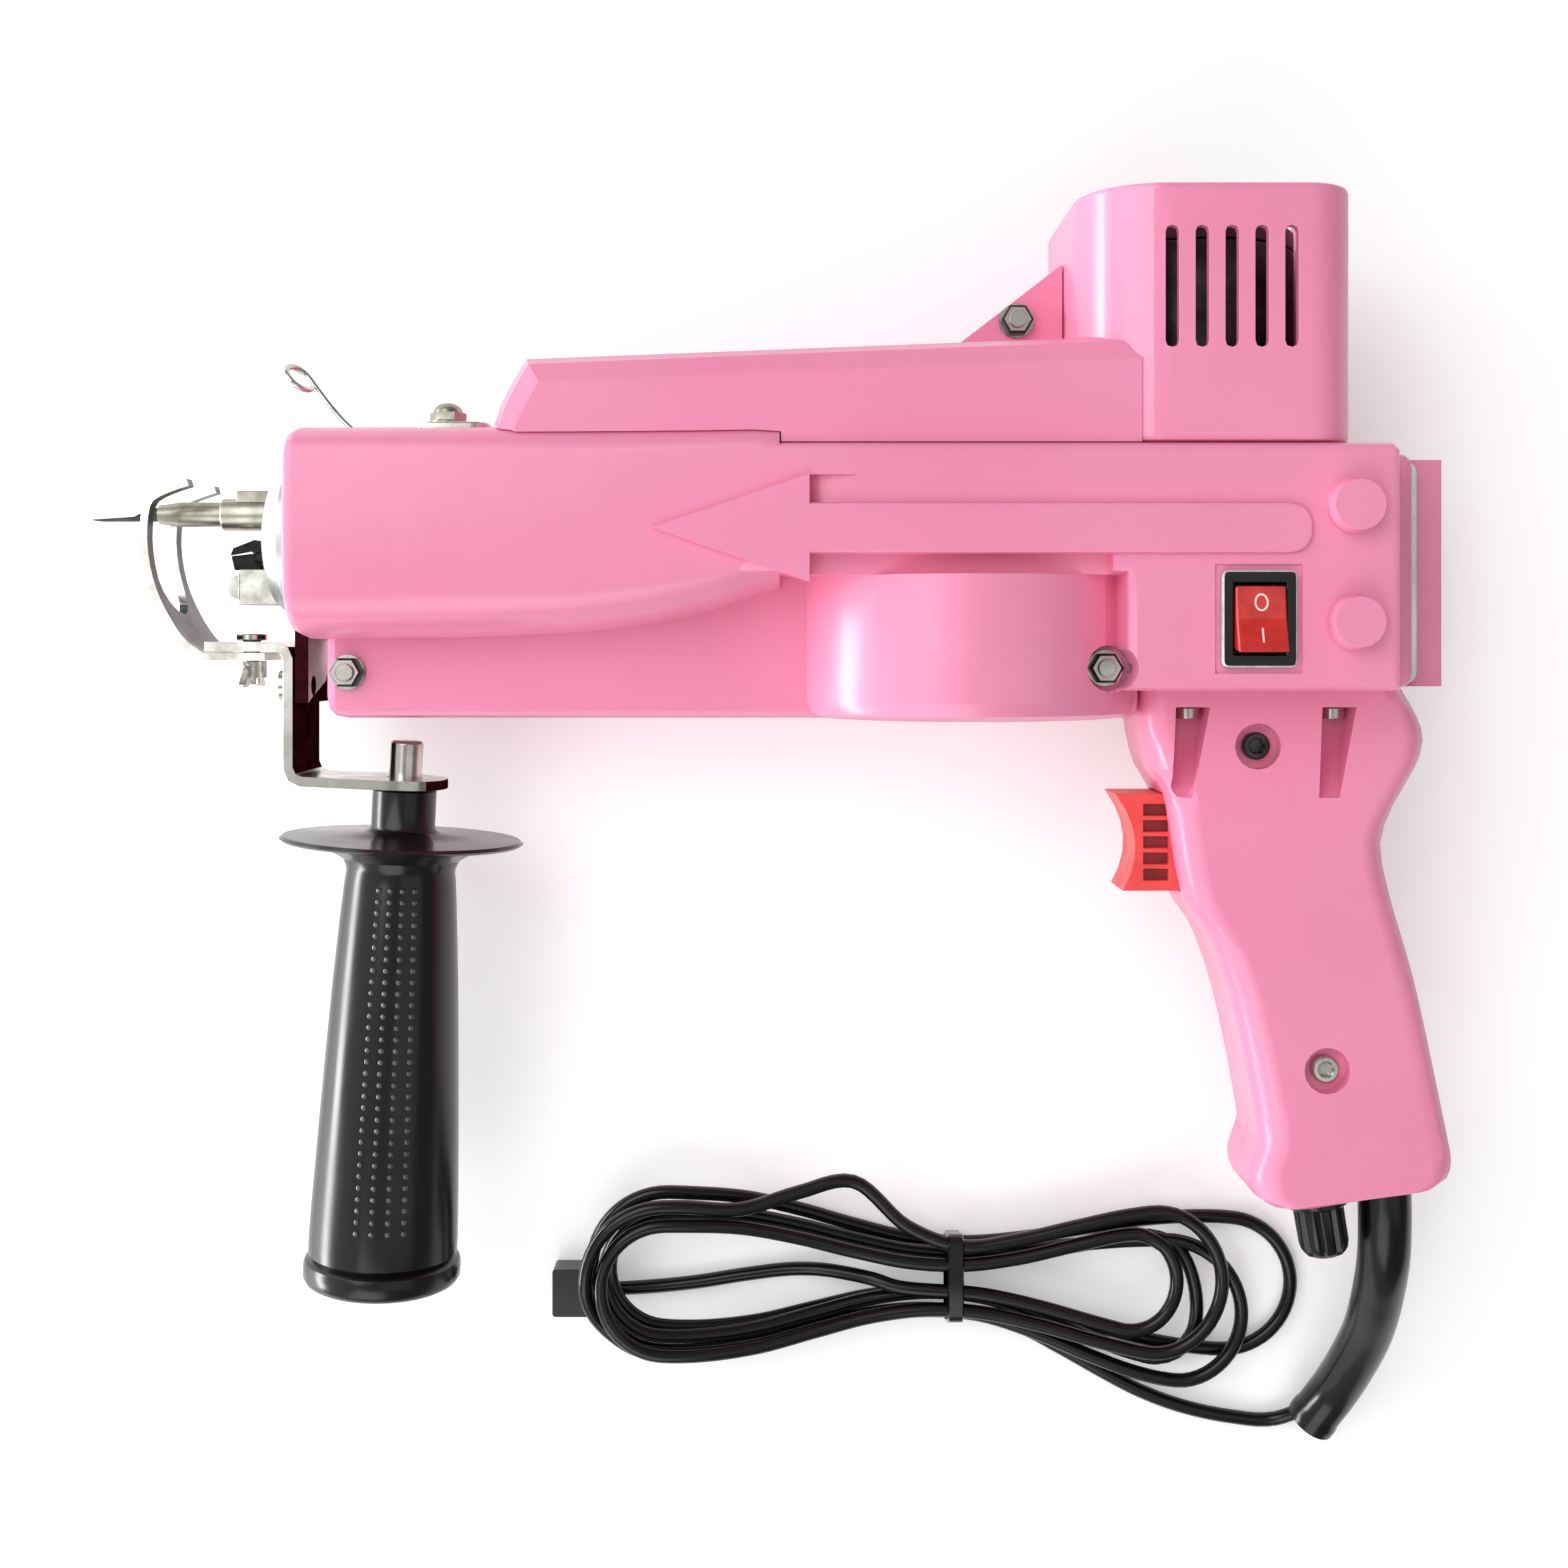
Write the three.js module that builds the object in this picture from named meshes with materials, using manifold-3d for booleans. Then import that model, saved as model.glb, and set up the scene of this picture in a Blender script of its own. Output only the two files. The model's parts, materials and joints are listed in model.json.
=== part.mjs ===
// Handheld tufting machine lying on its right side.
// Lengths are millimetres. X runs from the needle to the rear, Y to the machine's top, Z out of its left side.
// Places are measured from the crank axle (X), the needle line (Y) and the split between the covers (Z).
// The last lines move the whole machine so that the origin is under the middle of its box.

import * as THREE from 'three';
import { mergeVertices } from 'three/addons/utils/BufferGeometryUtils.js';
import Module from 'manifold-3d';

const wasm = await Module();
wasm.setup();

// Clearances and cutting sizes shared by all pieces
const gap = 0.3;
const overrun = 3;
const weldDistance = 0.0001;
const pointSpacing = 0.01;
const roundSteps = 2;
const coarseSides = 16;
const fineSides = 32;

// Body covers
const shellWall = 2.5;
const noseReach = 154.8;
const flangeFrontReach = 150.4;
const podRearReach = 47.7;
const flangeRearReach = 39.4;
const leftRearReach = 92.6;
const leftRearFlare = 10.9;
const rightRearReach = 115.6;
const podTopRise = 18.1;
const plateTopRise = 13.4;
const podBottomDrop = 30.2;
const plateBottomDrop = 15.6;
const rearBottomDrop = 41.4;
const flangeBottomDrop = 48.4;
const flangeHalfDepth = 15;
const faceHalfDepth = 39.5;
const restStandoff = 4;
const gearBulgeRadius = 41;
const flangeCornerRadius = 5;
const rearCornerCut = 1.6;
const rearPlateFront = 32;
const coverEdgeRound = 2.2;
const coverCornerRadius = 3.4;
const restEdgeRound = 4;
const bulgeShoulderShare = 0.3;
const rearLipWidth = 9;
const podNoseRound = 3.2;
const podTopPower = 0.27;
const podLowPower = 0.4;
const podProud = 0.35;
const podSectionSteps = 12;
const podStationShares = [0, 0.38, 0.6, 0.75, 0.88, 0.976, 1.03];
const podLowerRiseShares = [0, 0.03, 0.1, 0.24, 0.43, 0.68, 0.8];
const podNoseShares = [[0, 1], [0.3, 0.3], [1, 0]];

// Arrow relief on the left cover
const reliefDrop = 5.6;
const arrowTipReach = 72.4;
const arrowHeadLength = 34.5;
const arrowHeadHalfHeight = 11.8;
const arrowShaftHalfHeight = 5.6;
const arrowShaftLength = 110.5;
const arrowProud = 1.7;
const recessDepth = 6;
const recessRear = 29;
const rampLength = 11;
const rampDepth = 3.6;

// Round bosses at the rear of the left cover
const bossSetIn = 10.6;
const bossUpperDrop = 0.7;
const bossLowerDrop = 26.3;
const bossBaseRadius = 6.6;
const bossTopRadius = 5.6;
const bossProud = 4.6;

// Metal frame between the covers
const frameThickness = 3;
const frameRimWidth = 5;
const frameInset = 1;
const frameRearStep = 7.1;
const shaftBearingRadius = 6.5;
const shaftBearingLength = 5;

// Through bolts
const boltRadius = 2;
const boltHeadRadius = 4.04;
const boltHeadHeight = 3.2;
const frontBoltSetIn = 5.3;
const frontBoltRise = 10.7;
const rearBoltSetIn = 9.9;
const rearBoltRise = 11.8;
const rearBoltSeatDepth = 25;
const rearBoltSeatRadius = 5.2;
const webBoltSetback = 11;
const webBoltHeight = 7.2;

// Upper housing and its gusset web
const housingHalfDepth = 37;
const housingSetback = 45.1;
const housingSlopeRun = 8.4;
const housingShoulderHeight = 14.7;
const housingTopFall = 5.6;
const housingRearSetback = 15.3;
const housingHollowMargin = 6;
const housingEdgeRound = 6;
const housingSlopeShares = [[0.32, 0.3], [0.6, 0.62]];
const webLength = 31;
const webHeight = 20.6;
const webThickness = 6;
const webToeShare = 0.55;

// Motor shroud
const shroudWidth = 61;
const shroudDepth = 75.6;
const shroudHeadroom = 3.2;
const shroudWall = 2.5;
const shroudFrontRadius = 19;
const shroudRearRadius = 11;
const shroudCornerSteps = 8;
const shroudLip = 1.4;
const ventCount = 5;
const ventSpacing = 6.6;
const ventWidth = 3;
const ventLength = 27;
const ventDrop = 23.2;
const ventRearShift = 2;

// Motor and gear train
const shaftDistance = 53.5;
const motorRadius = 25;
const motorLength = 44;
const motorBossRadius = 8;
const motorBossHeight = 2;
const motorShaftRadius = 3;
const endBellHeight = 4.4;
const endBellHubRadius = 7;
const endBellHubHeight = 2;
const brushSlotWidth = 5;
const brushSlotLength = 12;
const brushSlotDepth = 1.5;
const deckThickness = 3;
const gearTeeth = 48;
const pinionTeeth = 24;
const gearTopDrop = 21;
const gearThickness = 8;
const gearWebCut = 2.5;
const gearRimWidth = 6;
const crankDiscRadius = 17;
const crankDiscHeight = 12;
const axleRadius = 4;
const gearDeckRadius = 30;
const pinionSpaceRadius = 19.8;
const toothRootShare = 0.29;
const toothTipShare = 0.12;
const addendumShare = 0.85;
const dedendumShare = 1.2;

// Crank, rod and needle drive
const crankThrow = 12;
const crankPinRadius = 3;
const rodLength = 60;
const rodThickness = 6;
const rodBigEyeRadius = 7;
const rodSmallEyeRadius = 5;
const rodShankWidth = 7;
const wristPinRadius = 2;
const crossheadFront = 12;
const crossheadRear = 8.6;
const crossheadHalfHeight = 6.7;
const crossheadHalfDepth = 9;
const needleBarRadius = 3;
const needleBarProud = 15.4;
const needleBarPointLength = 5;
const needleProud = 15.7;
const needleRadius = 1.7;
const needleBoreRadius = 1.1;
const needleGrip = 9;
const needleCutLength = 10;
const needlePointThickness = 0.5;

// Front head
const headLength = 11.4;
const headRadius = 19;
const headDrop = 6.1;
const headCrownRadius = 12;
const headCrownDepth = 5.2;
const headSpigotRadius = 16.6;
const headSpigotLength = 43.1;
const headLugHalfDepth = 12;
const headLugDrop = 45;
const headLugThickness = 3.2;
const bushProud = 12.3;
const bushRadius = 3.9;
const bushLength = 16;
const bushLugHeight = 5.6;
const bushLugHalfDepth = 2.6;
const bushLugFrontShare = 0.3;

// Scissors under the needle
const scissorDrop = 17.6;
const scissorBarRadius = 2.5;
const scissorBarLength = 52.6;
const scissorBarSeat = 3;
const scissorBlockLength = 9.9;
const scissorBlockSetIn = 2.7;
const scissorBlockHalfHeight = 4.2;
const scissorBlockHalfDepth = 5;
const scissorLugRadius = 2.8;
const scissorLugDepth = 4.9;
const bladeThickness = 1.7;
const bladeLength = 7.6;
const bladePivotSetback = 4.2;
const bladePivotRise = 3;
const bladePivotRadius = 1.1;
const bladeEyeRadius = 2;
const lowerJawShares = [[-1, 0.06], [-0.9, -0.38], [0.2, -0.5], [0.26, 0.1], [-0.3, 0.14]];
const upperJawShares = [[0.2, -0.2], [0.22, 0.5], [-0.2, 0.56], [-0.86, 0.3], [-0.95, 0.08], [-0.3, 0.2]];

// Strap bracket that carries the side handle and the presser foot
const strapWidth = 25.4;
const strapThickness = 2.3;
const strapLegLength = 31.5;
const strapFootLength = 35;
const strapFootTilt = 2.7;
const strapTopDrop = 30.6;
const strapShelfLength = 18.4;
const strapBendRadius = 3;
const bracketScrewBelow = 10.4;
const bracketScrewSpread = 7;
const bracketScrewRadius = 2;
const bracketScrewHeadRadius = 3.6;
const bracketScrewHeadHeight = 1.8;
const bracketScrewLength = 5.2;

// Side handle, its profile as radius and distance down its axis
const handleDistance = 24.95;
const handleNeckRadius = 7.6;
const handleNeckLength = 10.6;
const handleFlangeRadius = 28.9;
const handleFlangeEdge = 1.2;
const handleFlangeDepth = 4.4;
const handleTopRadius = 12.9;
const handleEndRadius = 17.6;
const handleRimRadius = 18.6;
const handleRimHeight = 6.5;
const handleGroove = 0.9;
const handleLength = 118.5;
const studRadius = 4;
const studProud = 8.9;
const studDepth = 18;

// Presser foot
const footThickness = 1.8;
const footHalfWidth = 12.5;
const footRearClearance = 4.3;
const footSlotHalfWidth = 8.6;
const footSlotDrop = 15.4;
const footTravel = 3;
const footScrewSetback = 7.6;
const footScrewRadius = 2;
const footScrewHeadRadius = 3.6;
const footScrewHeadHeight = 1.6;
const wingHubRadius = 3.6;
const wingHubHeight = 4;
const wingSpan = 9.5;
const wingHeight = 6.2;
const wingThickness = 1.8;
const footRise = 40.1;
const footCurveSteps = 22;
const footReachBack = 13;
const footCurveShares = [
  [0, 0], [-0.04, 0.02], [-0.29, 0.08], [-0.52, 0.18], [-0.73, 0.305], [-0.9, 0.45], [-1, 0.626], [-1, 0.788],
  [-0.915, 0.915], [-0.615, 0.975], [-0.21, 1.02],
];

// Yarn guide on top of the barrel
const guidePlateSetback = 23.3;
const guidePlateLength = 17.6;
const guidePlateThickness = 3.2;
const guidePlateHalfDepth = 8;
const guideNutSetback = 7.1;
const guideNutRadius = 4.4;
const guideNutHeight = 5;
const guideWireRadius = 0.8;
const guideWireBendSetback = 9.3;
const guideWireRun = 19.2;
const guideWireSlope = 132.2;
const guideEyeRadius = 3.6;
const guideEyeLean = 24;
const guideEyeTurn = 300;
const guideEyeSteps = 12;
const wireSides = 6;
const guideWireSteps = 30;

// Grip
const gripHalfDepth = 17;
const gripWall = 3;
const gripEdgeRound = 6.5;
const gripSetback = 0.8;
const gripLength = 122.7;
const gripSectionSteps = 3;
const gripStepsPerStation = 2;
const gripStationShares = [
  [0, 0, 0.5, 0], [0, 0.043, 0.531, 0.055], [0.002, 0.084, 0.541, 0.097],
  [0.02, 0.153, 0.526, 0.149], [0.047, 0.198, 0.484, 0.222], [0.06, 0.271, 0.46, 0.294],
  [0.083, 0.397, 0.474, 0.377], [0.127, 0.464, 0.497, 0.459], [0.16, 0.545, 0.522, 0.545],
  [0.191, 0.659, 0.548, 0.659], [0.223, 0.826, 0.579, 0.808], [0.226, 0.871, 0.59, 0.863],
  [0.209, 0.922, 0.595, 0.895], [0.22, 0.969, 0.587, 0.93], [0.272, 1, 0.546, 0.956],
];
const gripFootDepthShare = 0.76;
const gripScrewUpperSetIn = 26.3;
const gripScrewUpperBelow = 13.2;
const gripScrewLowerSetIn = 42.4;
const gripScrewLowerBelow = 88.5;
const gripScrewRecessRadius = 5.4;
const gripScrewRecessDepth = 4;
const gripScrewHeadRadius = 3.2;
const gripScrewHeadHeight = 2.4;
const gripScrewRadius = 1.6;
const gripPostRadius = 4.4;
const pocketFrontSetIn = 11.2;
const pocketRearSetIn = 7.2;
const pocketHalfWidth = 4;
const pocketRoof = 4.1;
const pocketDrop = 21;
const pocketFloorDepth = 5;
const pocketLean = 2.4;
const pocketToeShare = 0.6;
const pocketSteps = 6;
const pocketRampPower = 2.2;
const pocketScrewDepth = 10.4;
const mountScrewRadius = 1.6;
const mountScrewHeadRadius = 3;
const mountScrewHeadHeight = 2.6;
const mountScrewLength = 9;

// Trigger
const triggerBelow = 24.9;
const triggerHeight = 23;
const triggerHalfDepth = 8;
const triggerLength = 25;
const triggerTravel = 5;
const triggerProud = 5.2;
const triggerToeSetback = 1.6;
const triggerHollow = 3.4;
const triggerSlotCount = 5;
const triggerSlotSetback = 6.6;
const triggerSlotLength = 6;
const triggerSlotHeight = 2.8;
const triggerHollowSteps = 6;
const triggerSlotDepth = 1.2;
const springRadius = 3.2;
const springWireRadius = 0.5;
const springLength = 13.2;
const springTurns = 5;
const springSeatDepth = 8;
const switchLength = 18;
const switchHalfDepth = 6;
const switchMargin = 1.5;

// Speed knob under the grip
const knobSetIn = 44.4;
const knobRise = 1.4;
const knobTilt = 9.4;
const knobRadius = 6;
const knobLength = 13;
const knobFluteCount = 10;
const knobFluteRadius = 1.3;
const knobFlangeRadius = 7.7;
const knobFlangeThickness = 2.2;
const knobShaftRadius = 3;
const potRadius = 7;
const potHeight = 8;

// Rocker switch
const rockerSetIn = 31.7;
const rockerDrop = 25.6;
const rockerWidth = 16.4;
const rockerHeight = 21.3;
const rockerFlange = 1.8;
const rockerBodyInset = 1.4;
const rockerBodyDepth = 14;
const rockerRecessMargin = 1.4;
const rockerRecessDepth = 0.8;
const paddleWidth = 11;
const paddleHeight = 15.2;
const paddleProud = 2.2;
const paddleDepth = 4.5;
const paddleTiltRise = 1.5;

// Cord, from the boot under the grip to the connector
const cordDiameter = 3.6;
const cordSides = 8;
const cordStepSpacing = 9;
const bootDiameter = 12.6;
const bootSides = 14;
const bootSteps = 16;
const bootPoints = [
  [101.1, -160.6, 0], [101.4, -170, -0.4], [102, -179.6, -3], [103, -192, -11], [103.4, -204.2, -20.2],
  [101.8, -215, -28], [99.2, -224.2, -34], [94.2, -234, -38.3],
];
const leadPoints = [
  [93.9, -234.6, -41], [86, -235.3, -42.2], [74, -234.7, -42.2], [61, -231.9, -42.2], [50, -227.8, -42.2],
  [40, -222.6, -42.2], [29.4, -216.6, -42.2], [18.5, -210.9, -42.2],
];

// Hank: five turns in three layers, drawn in at the tie, its left end lying over the cord's tail
const hankCentreX = -1.9;
const hankCentreY = -196.4;
const hankTilt = -3;
const hankTiltStep = 1.1;
const hankHalfLength = 92.8;
const hankHalfWidth = 21;
const hankStep = 4.75;
const hankRightStep = 7;
const hankRightShift = 8;
const hankRightBlend = 0.2;
const hankLayerRise = 4.6;
const hankTurns = 5;
const hankLayers = 3;
const hankStepsPerTurn = 24;
const hankSides = 6;
const hankStepsPerEnd = 7;
const hankWaistDip = 10.8;
const hankWaistReach = 64;
const hankStartShare = 0.09;
const hankLift = 7.3;
const hankLiftStart = -14;
const hankLiftRun = 66;
const tableClearance = 1;
const tieWidth = 4;
const tieThickness = 0.7;
const tieX = 0.8;
const tieMargin = 1.2;
const connectorLength = 12.6;
const connectorWidth = 12.4;
const connectorHeight = 8;
const connectorReach = 104;
const connectorY = -200.6;
const connectorSlotCount = 2;
const connectorSlotSize = 3;
const connectorSlotDepth = 3;
const tailPoints = [
  [-13.9, -197.9, -34.1], [-19.9, -196.4, -35.5], [-25.9, -195.9, -38.2], [-33.9, -195.6, -41],
  [-41.9, -195.9, -42.2], [-53.9, -197.3, -42.2], [-65.9, -199.2, -42.2], [-76.9, -200.3, -42], [-85.9, -200.6, -41.2],
  [-90.8, -200.6, -41],
];

// Places worked out from the sizes above
const restHalfDepth = gearBulgeRadius + restStandoff;
const headReach = noseReach + headLength;
const headSpigotEnd = noseReach + gap - headSpigotLength;
const bushReach = headReach + bushProud;
const needleBarTipReach = bushReach + needleBarProud;
const needleTipReach = needleBarTipReach + needleProud;
const scissorBlockRear = headReach - scissorBlockSetIn;
const scissorBlockFront = scissorBlockRear + scissorBlockLength;
const bladePivotX = bladePivotSetback - scissorBlockFront;
const bladePivotDrop = scissorDrop - scissorBlockHalfHeight - bladePivotRise;
const strapFaceReach = noseReach + headLugThickness + strapThickness + 2 * gap;
const strapTopReach = strapFaceReach + strapShelfLength;
const strapFootTopDrop = strapTopDrop + strapLegLength;
const bracketScrewDrop = strapTopDrop + bracketScrewBelow;
const strapMiddleX = -strapFaceReach + strapThickness / 2;
const handleX = strapMiddleX + handleDistance;
const footBaseRear = strapFaceReach + footRearClearance;
const footScrewReach = strapTopReach - footScrewSetback;
const frontBoltX = frontBoltSetIn - flangeFrontReach;
const frontBoltDrop = flangeBottomDrop - frontBoltRise;
const rearBoltX = flangeRearReach - rearBoltSetIn;
const rearBoltDrop = flangeBottomDrop - rearBoltRise;
const housingFrontReach = noseReach - housingSetback;
const housingShoulderReach = housingFrontReach - housingSlopeRun;
const housingShoulderRise = podTopRise + housingShoulderHeight;
const housingRearRise = housingShoulderRise + housingTopFall;
const housingRearReach = shaftDistance - housingRearSetback;
const motorX = shaftDistance;
const shroudFront = motorX - shroudWidth / 2 - gap;
const webFrontX = shroudFront - webLength;
const webTopRise = housingRearRise + webHeight;
const webBoltX = shroudFront - webBoltSetback;
const webBoltRise = housingRearRise + webBoltHeight;
const motorDeckLow = plateTopRise + 2 * gap;
const motorLow = motorDeckLow + deckThickness + gap;
const motorHigh = motorLow + motorLength;
const shroudTopRise = motorHigh + gap + endBellHeight + endBellHubHeight + shroudHeadroom;
const ventCentreRise = shroudTopRise - ventDrop;
const bossX = leftRearReach - bossSetIn;
const rockerX = leftRearReach - rockerSetIn;
const guidePlateFront = noseReach - guidePlateSetback;
const guidePlateRear = guidePlateFront - guidePlateLength;
const guideNutX = guideNutSetback - guidePlateFront;
const guideWireBendX = guideWireBendSetback - noseReach;
const gripX = flangeRearReach + gripSetback;
const gripTopDrop = rearBottomDrop + gap;
const gripScrewUpperX = gripX + gripScrewUpperSetIn;
const gripScrewUpperDrop = gripTopDrop + gripScrewUpperBelow;
const gripScrewLowerX = gripX + gripScrewLowerSetIn;
const gripScrewLowerDrop = gripTopDrop + gripScrewLowerBelow;
const pocketFrontX = gripX + pocketFrontSetIn;
const pocketRearX = leftRearReach - pocketRearSetIn;
const pocketTopDrop = gripTopDrop + pocketRoof;
const triggerTopDrop = gripTopDrop + triggerBelow;
const triggerBottomDrop = triggerTopDrop + triggerHeight;
const triggerFrontTop = gripX - triggerProud;
const triggerFrontBottom = triggerFrontTop + triggerToeSetback;
const triggerRear = triggerFrontTop + triggerLength;
const triggerSlotFront = triggerFrontTop + triggerSlotSetback;
const triggerSlotRear = triggerSlotFront + triggerSlotLength;
const knobX = gripX + knobSetIn;
const knobY = knobRise - gripTopDrop - gripLength;

// Materials
const pinkPlastic = new THREE.MeshStandardMaterial({ color: 0xf58fb8, roughness: 0.32, metalness: 0 });
const blackPlastic = new THREE.MeshStandardMaterial({ color: 0x1c1c1e, roughness: 0.42, metalness: 0 });
const blackRubber = new THREE.MeshStandardMaterial({ color: 0x141414, roughness: 0.6, metalness: 0 });
const redPlastic = new THREE.MeshStandardMaterial({ color: 0xd8262b, roughness: 0.35, metalness: 0 });
const castAluminium = new THREE.MeshStandardMaterial({ color: 0xd3d5d4, roughness: 0.45, metalness: 0.9 });
const zincSteel = new THREE.MeshStandardMaterial({ color: 0xc9c9c6, roughness: 0.3, metalness: 0.95 });
const satinSteel = new THREE.MeshStandardMaterial({ color: 0xb9b4a6, roughness: 0.35, metalness: 0.9 });
const darkSteel = new THREE.MeshStandardMaterial({ color: 0x4a4d4b, roughness: 0.35, metalness: 0.8 });
const blackOxide = new THREE.MeshStandardMaterial({ color: 0x232222, roughness: 0.4, metalness: 0.6 });

const machine = new THREE.Group();
const cordSet = new THREE.Group();

// Turns a closed geometry into a solid for cutting and joining.
function solidOf(geometry) {
  const bare = geometry.clone();
  bare.deleteAttribute('normal');
  bare.deleteAttribute('uv');
  const welded = mergeVertices(bare, weldDistance);
  const places = welded.attributes.position;
  const corners = [];
  let volume = 0;
  const a = new THREE.Vector3();
  const b = new THREE.Vector3();
  const c = new THREE.Vector3();
  for (let i = 0; i < welded.index.count; i += 3) {
    const [p, q, r] = [welded.index.getX(i), welded.index.getX(i + 1), welded.index.getX(i + 2)];
    if (p === q || q === r || r === p) continue;
    corners.push(p, q, r);
    a.fromBufferAttribute(places, p);
    b.fromBufferAttribute(places, q);
    c.fromBufferAttribute(places, r);
    volume += a.dot(b.cross(c));
  }
  if (volume < 0) corners.reverse();
  const mesh = new wasm.Mesh({
    numProp: 3,
    vertProperties: new Float32Array(places.array),
    triVerts: new Uint32Array(corners),
  });
  return new wasm.Manifold(mesh);
}

// Turns a solid back into a geometry.
function geometryOf(solid) {
  const mesh = solid.getMesh();
  const geometry = new THREE.BufferGeometry();
  geometry.setAttribute('position', new THREE.BufferAttribute(mesh.vertProperties, 3));
  geometry.setIndex(new THREE.BufferAttribute(mesh.triVerts, 1));
  geometry.computeVertexNormals();
  return geometry;
}

function joined(...solids) {
  return solids.reduce((whole, solid) => whole.add(solid));
}

function cut(solid, ...tools) {
  return tools.reduce((left, tool) => left.subtract(tool), solid);
}

// Adds one named piece to a group.
function addPiece(name, solid, material, group = machine) {
  const mesh = new THREE.Mesh(geometryOf(solid), material.clone());
  mesh.name = name;
  group.add(mesh);
  return mesh;
}

// A box between two corners.
function block(xLow, xHigh, yLow, yHigh, zLow, zHigh) {
  const geometry = new THREE.BoxGeometry(xHigh - xLow, yHigh - yLow, zHigh - zLow);
  geometry.translate((xLow + xHigh) / 2, (yLow + yHigh) / 2, (zLow + zHigh) / 2);
  return solidOf(geometry);
}

// A round bar along one axis, from low to high, centred on the other two places.
function bar(axis, radius, low, high, first, second, sides = coarseSides, endRadius = radius) {
  const geometry = new THREE.CylinderGeometry(endRadius, radius, high - low, sides);
  geometry.translate(0, (low + high) / 2, 0);
  if (axis === 'x') geometry.rotateZ(-Math.PI / 2).translate(0, first, second);
  if (axis === 'y') geometry.translate(first, 0, second);
  if (axis === 'z') geometry.rotateX(Math.PI / 2).translate(first, second, 0);
  return solidOf(geometry);
}

// An outline whose corners are [x, y, radius], with the corners rounded.
function roundedShape(corners, curveSteps = 3) {
  const points = [];
  const addPoint = (point) => {
    const last = points[points.length - 1];
    if (!last || last.distanceTo(point) > pointSpacing) points.push(point);
  };
  corners.forEach(([x, y, radius], i) => {
    const here = new THREE.Vector2(x, y);
    if (radius === 0) {
      addPoint(here);
      return;
    }
    const [beforeX, beforeY] = corners[(i + corners.length - 1) % corners.length];
    const [afterX, afterY] = corners[(i + 1) % corners.length];
    const start = new THREE.Vector2(beforeX, beforeY).sub(here).setLength(radius).add(here);
    const end = new THREE.Vector2(afterX, afterY).sub(here).setLength(radius).add(here);
    const bend = new THREE.QuadraticBezierCurve(start, here, end);
    bend.getPoints(curveSteps).forEach(addPoint);
  });
  if (points[0].distanceTo(points[points.length - 1]) <= pointSpacing) points.pop();
  return new THREE.Shape(points);
}

// The corners of an outline moved inwards by one distance.
function inset(corners, distance) {
  const area = corners.reduce((sum, [x, y], i) => {
    const [nextX, nextY] = corners[(i + 1) % corners.length];
    return sum + x * nextY - nextX * y;
  }, 0);
  const side = Math.sign(area);
  return corners.map(([x, y, radius], i) => {
    const before = corners[(i + corners.length - 1) % corners.length];
    const after = corners[(i + 1) % corners.length];
    const inward = (from, to) => new THREE.Vector2(from[1] - to[1], to[0] - from[0]).normalize().multiplyScalar(side);
    const first = inward(before, [x, y]);
    const second = inward([x, y], after);
    const middle = first.clone().add(second).normalize();
    const reach = distance / middle.dot(first);
    return [x + middle.x * reach, y + middle.y * reach, Math.max(radius - distance, 0)];
  });
}

// A prism over an XY outline, from low to high along Z, with both edges rounded where edge is given.
function prism(corners, low, high, edge = 0, curveSteps = 3) {
  const geometry = new THREE.ExtrudeGeometry(roundedShape(corners, curveSteps), {
    depth: high - low - 2 * edge,
    bevelEnabled: edge > 0,
    bevelThickness: edge,
    bevelSize: edge,
    bevelOffset: -edge,
    bevelSegments: roundSteps,
  });
  geometry.translate(0, 0, low + edge);
  return solidOf(geometry);
}

// A prism over an XZ outline, from low to high along Y.
function uprightPrism(corners, low, high, edge = 0, curveSteps = 3) {
  const flat = corners.map(([x, z, radius]) => [x, -z, radius]);
  const geometry = new THREE.ExtrudeGeometry(roundedShape(flat, curveSteps), {
    depth: high - low - 2 * edge,
    bevelEnabled: edge > 0,
    bevelThickness: edge,
    bevelSize: edge,
    bevelOffset: -edge,
    bevelSegments: roundSteps,
  });
  geometry.translate(0, 0, low + edge);
  geometry.rotateX(-Math.PI / 2);
  return solidOf(geometry);
}

// A turned body about the Y axis from points [radius, height] that start and end on the axis.
function turned(profile, sides = coarseSides) {
  const points = profile.map(([radius, height]) => new THREE.Vector2(radius, height));
  return solidOf(new THREE.LatheGeometry(points, sides));
}

// A closed skin over rings that all have as many points, with both ends closed.
function loftGeometry(rings) {
  const count = rings[0].length;
  const places = rings.flat().flatMap((point) => [point.x, point.y, point.z]);
  const faces = [];
  for (let ring = 0; ring < rings.length - 1; ring += 1) {
    for (let i = 0; i < count; i += 1) {
      const here = ring * count + i;
      const next = ring * count + ((i + 1) % count);
      faces.push(here, next, here + count, next, next + count, here + count);
    }
  }
  const lastRing = (rings.length - 1) * count;
  for (let i = 1; i < count - 1; i += 1) {
    faces.push(0, i + 1, i, lastRing, lastRing + i, lastRing + i + 1);
  }
  const geometry = new THREE.BufferGeometry();
  geometry.setAttribute('position', new THREE.Float32BufferAttribute(places, 3));
  geometry.setIndex(faces);
  return geometry;
}

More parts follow.
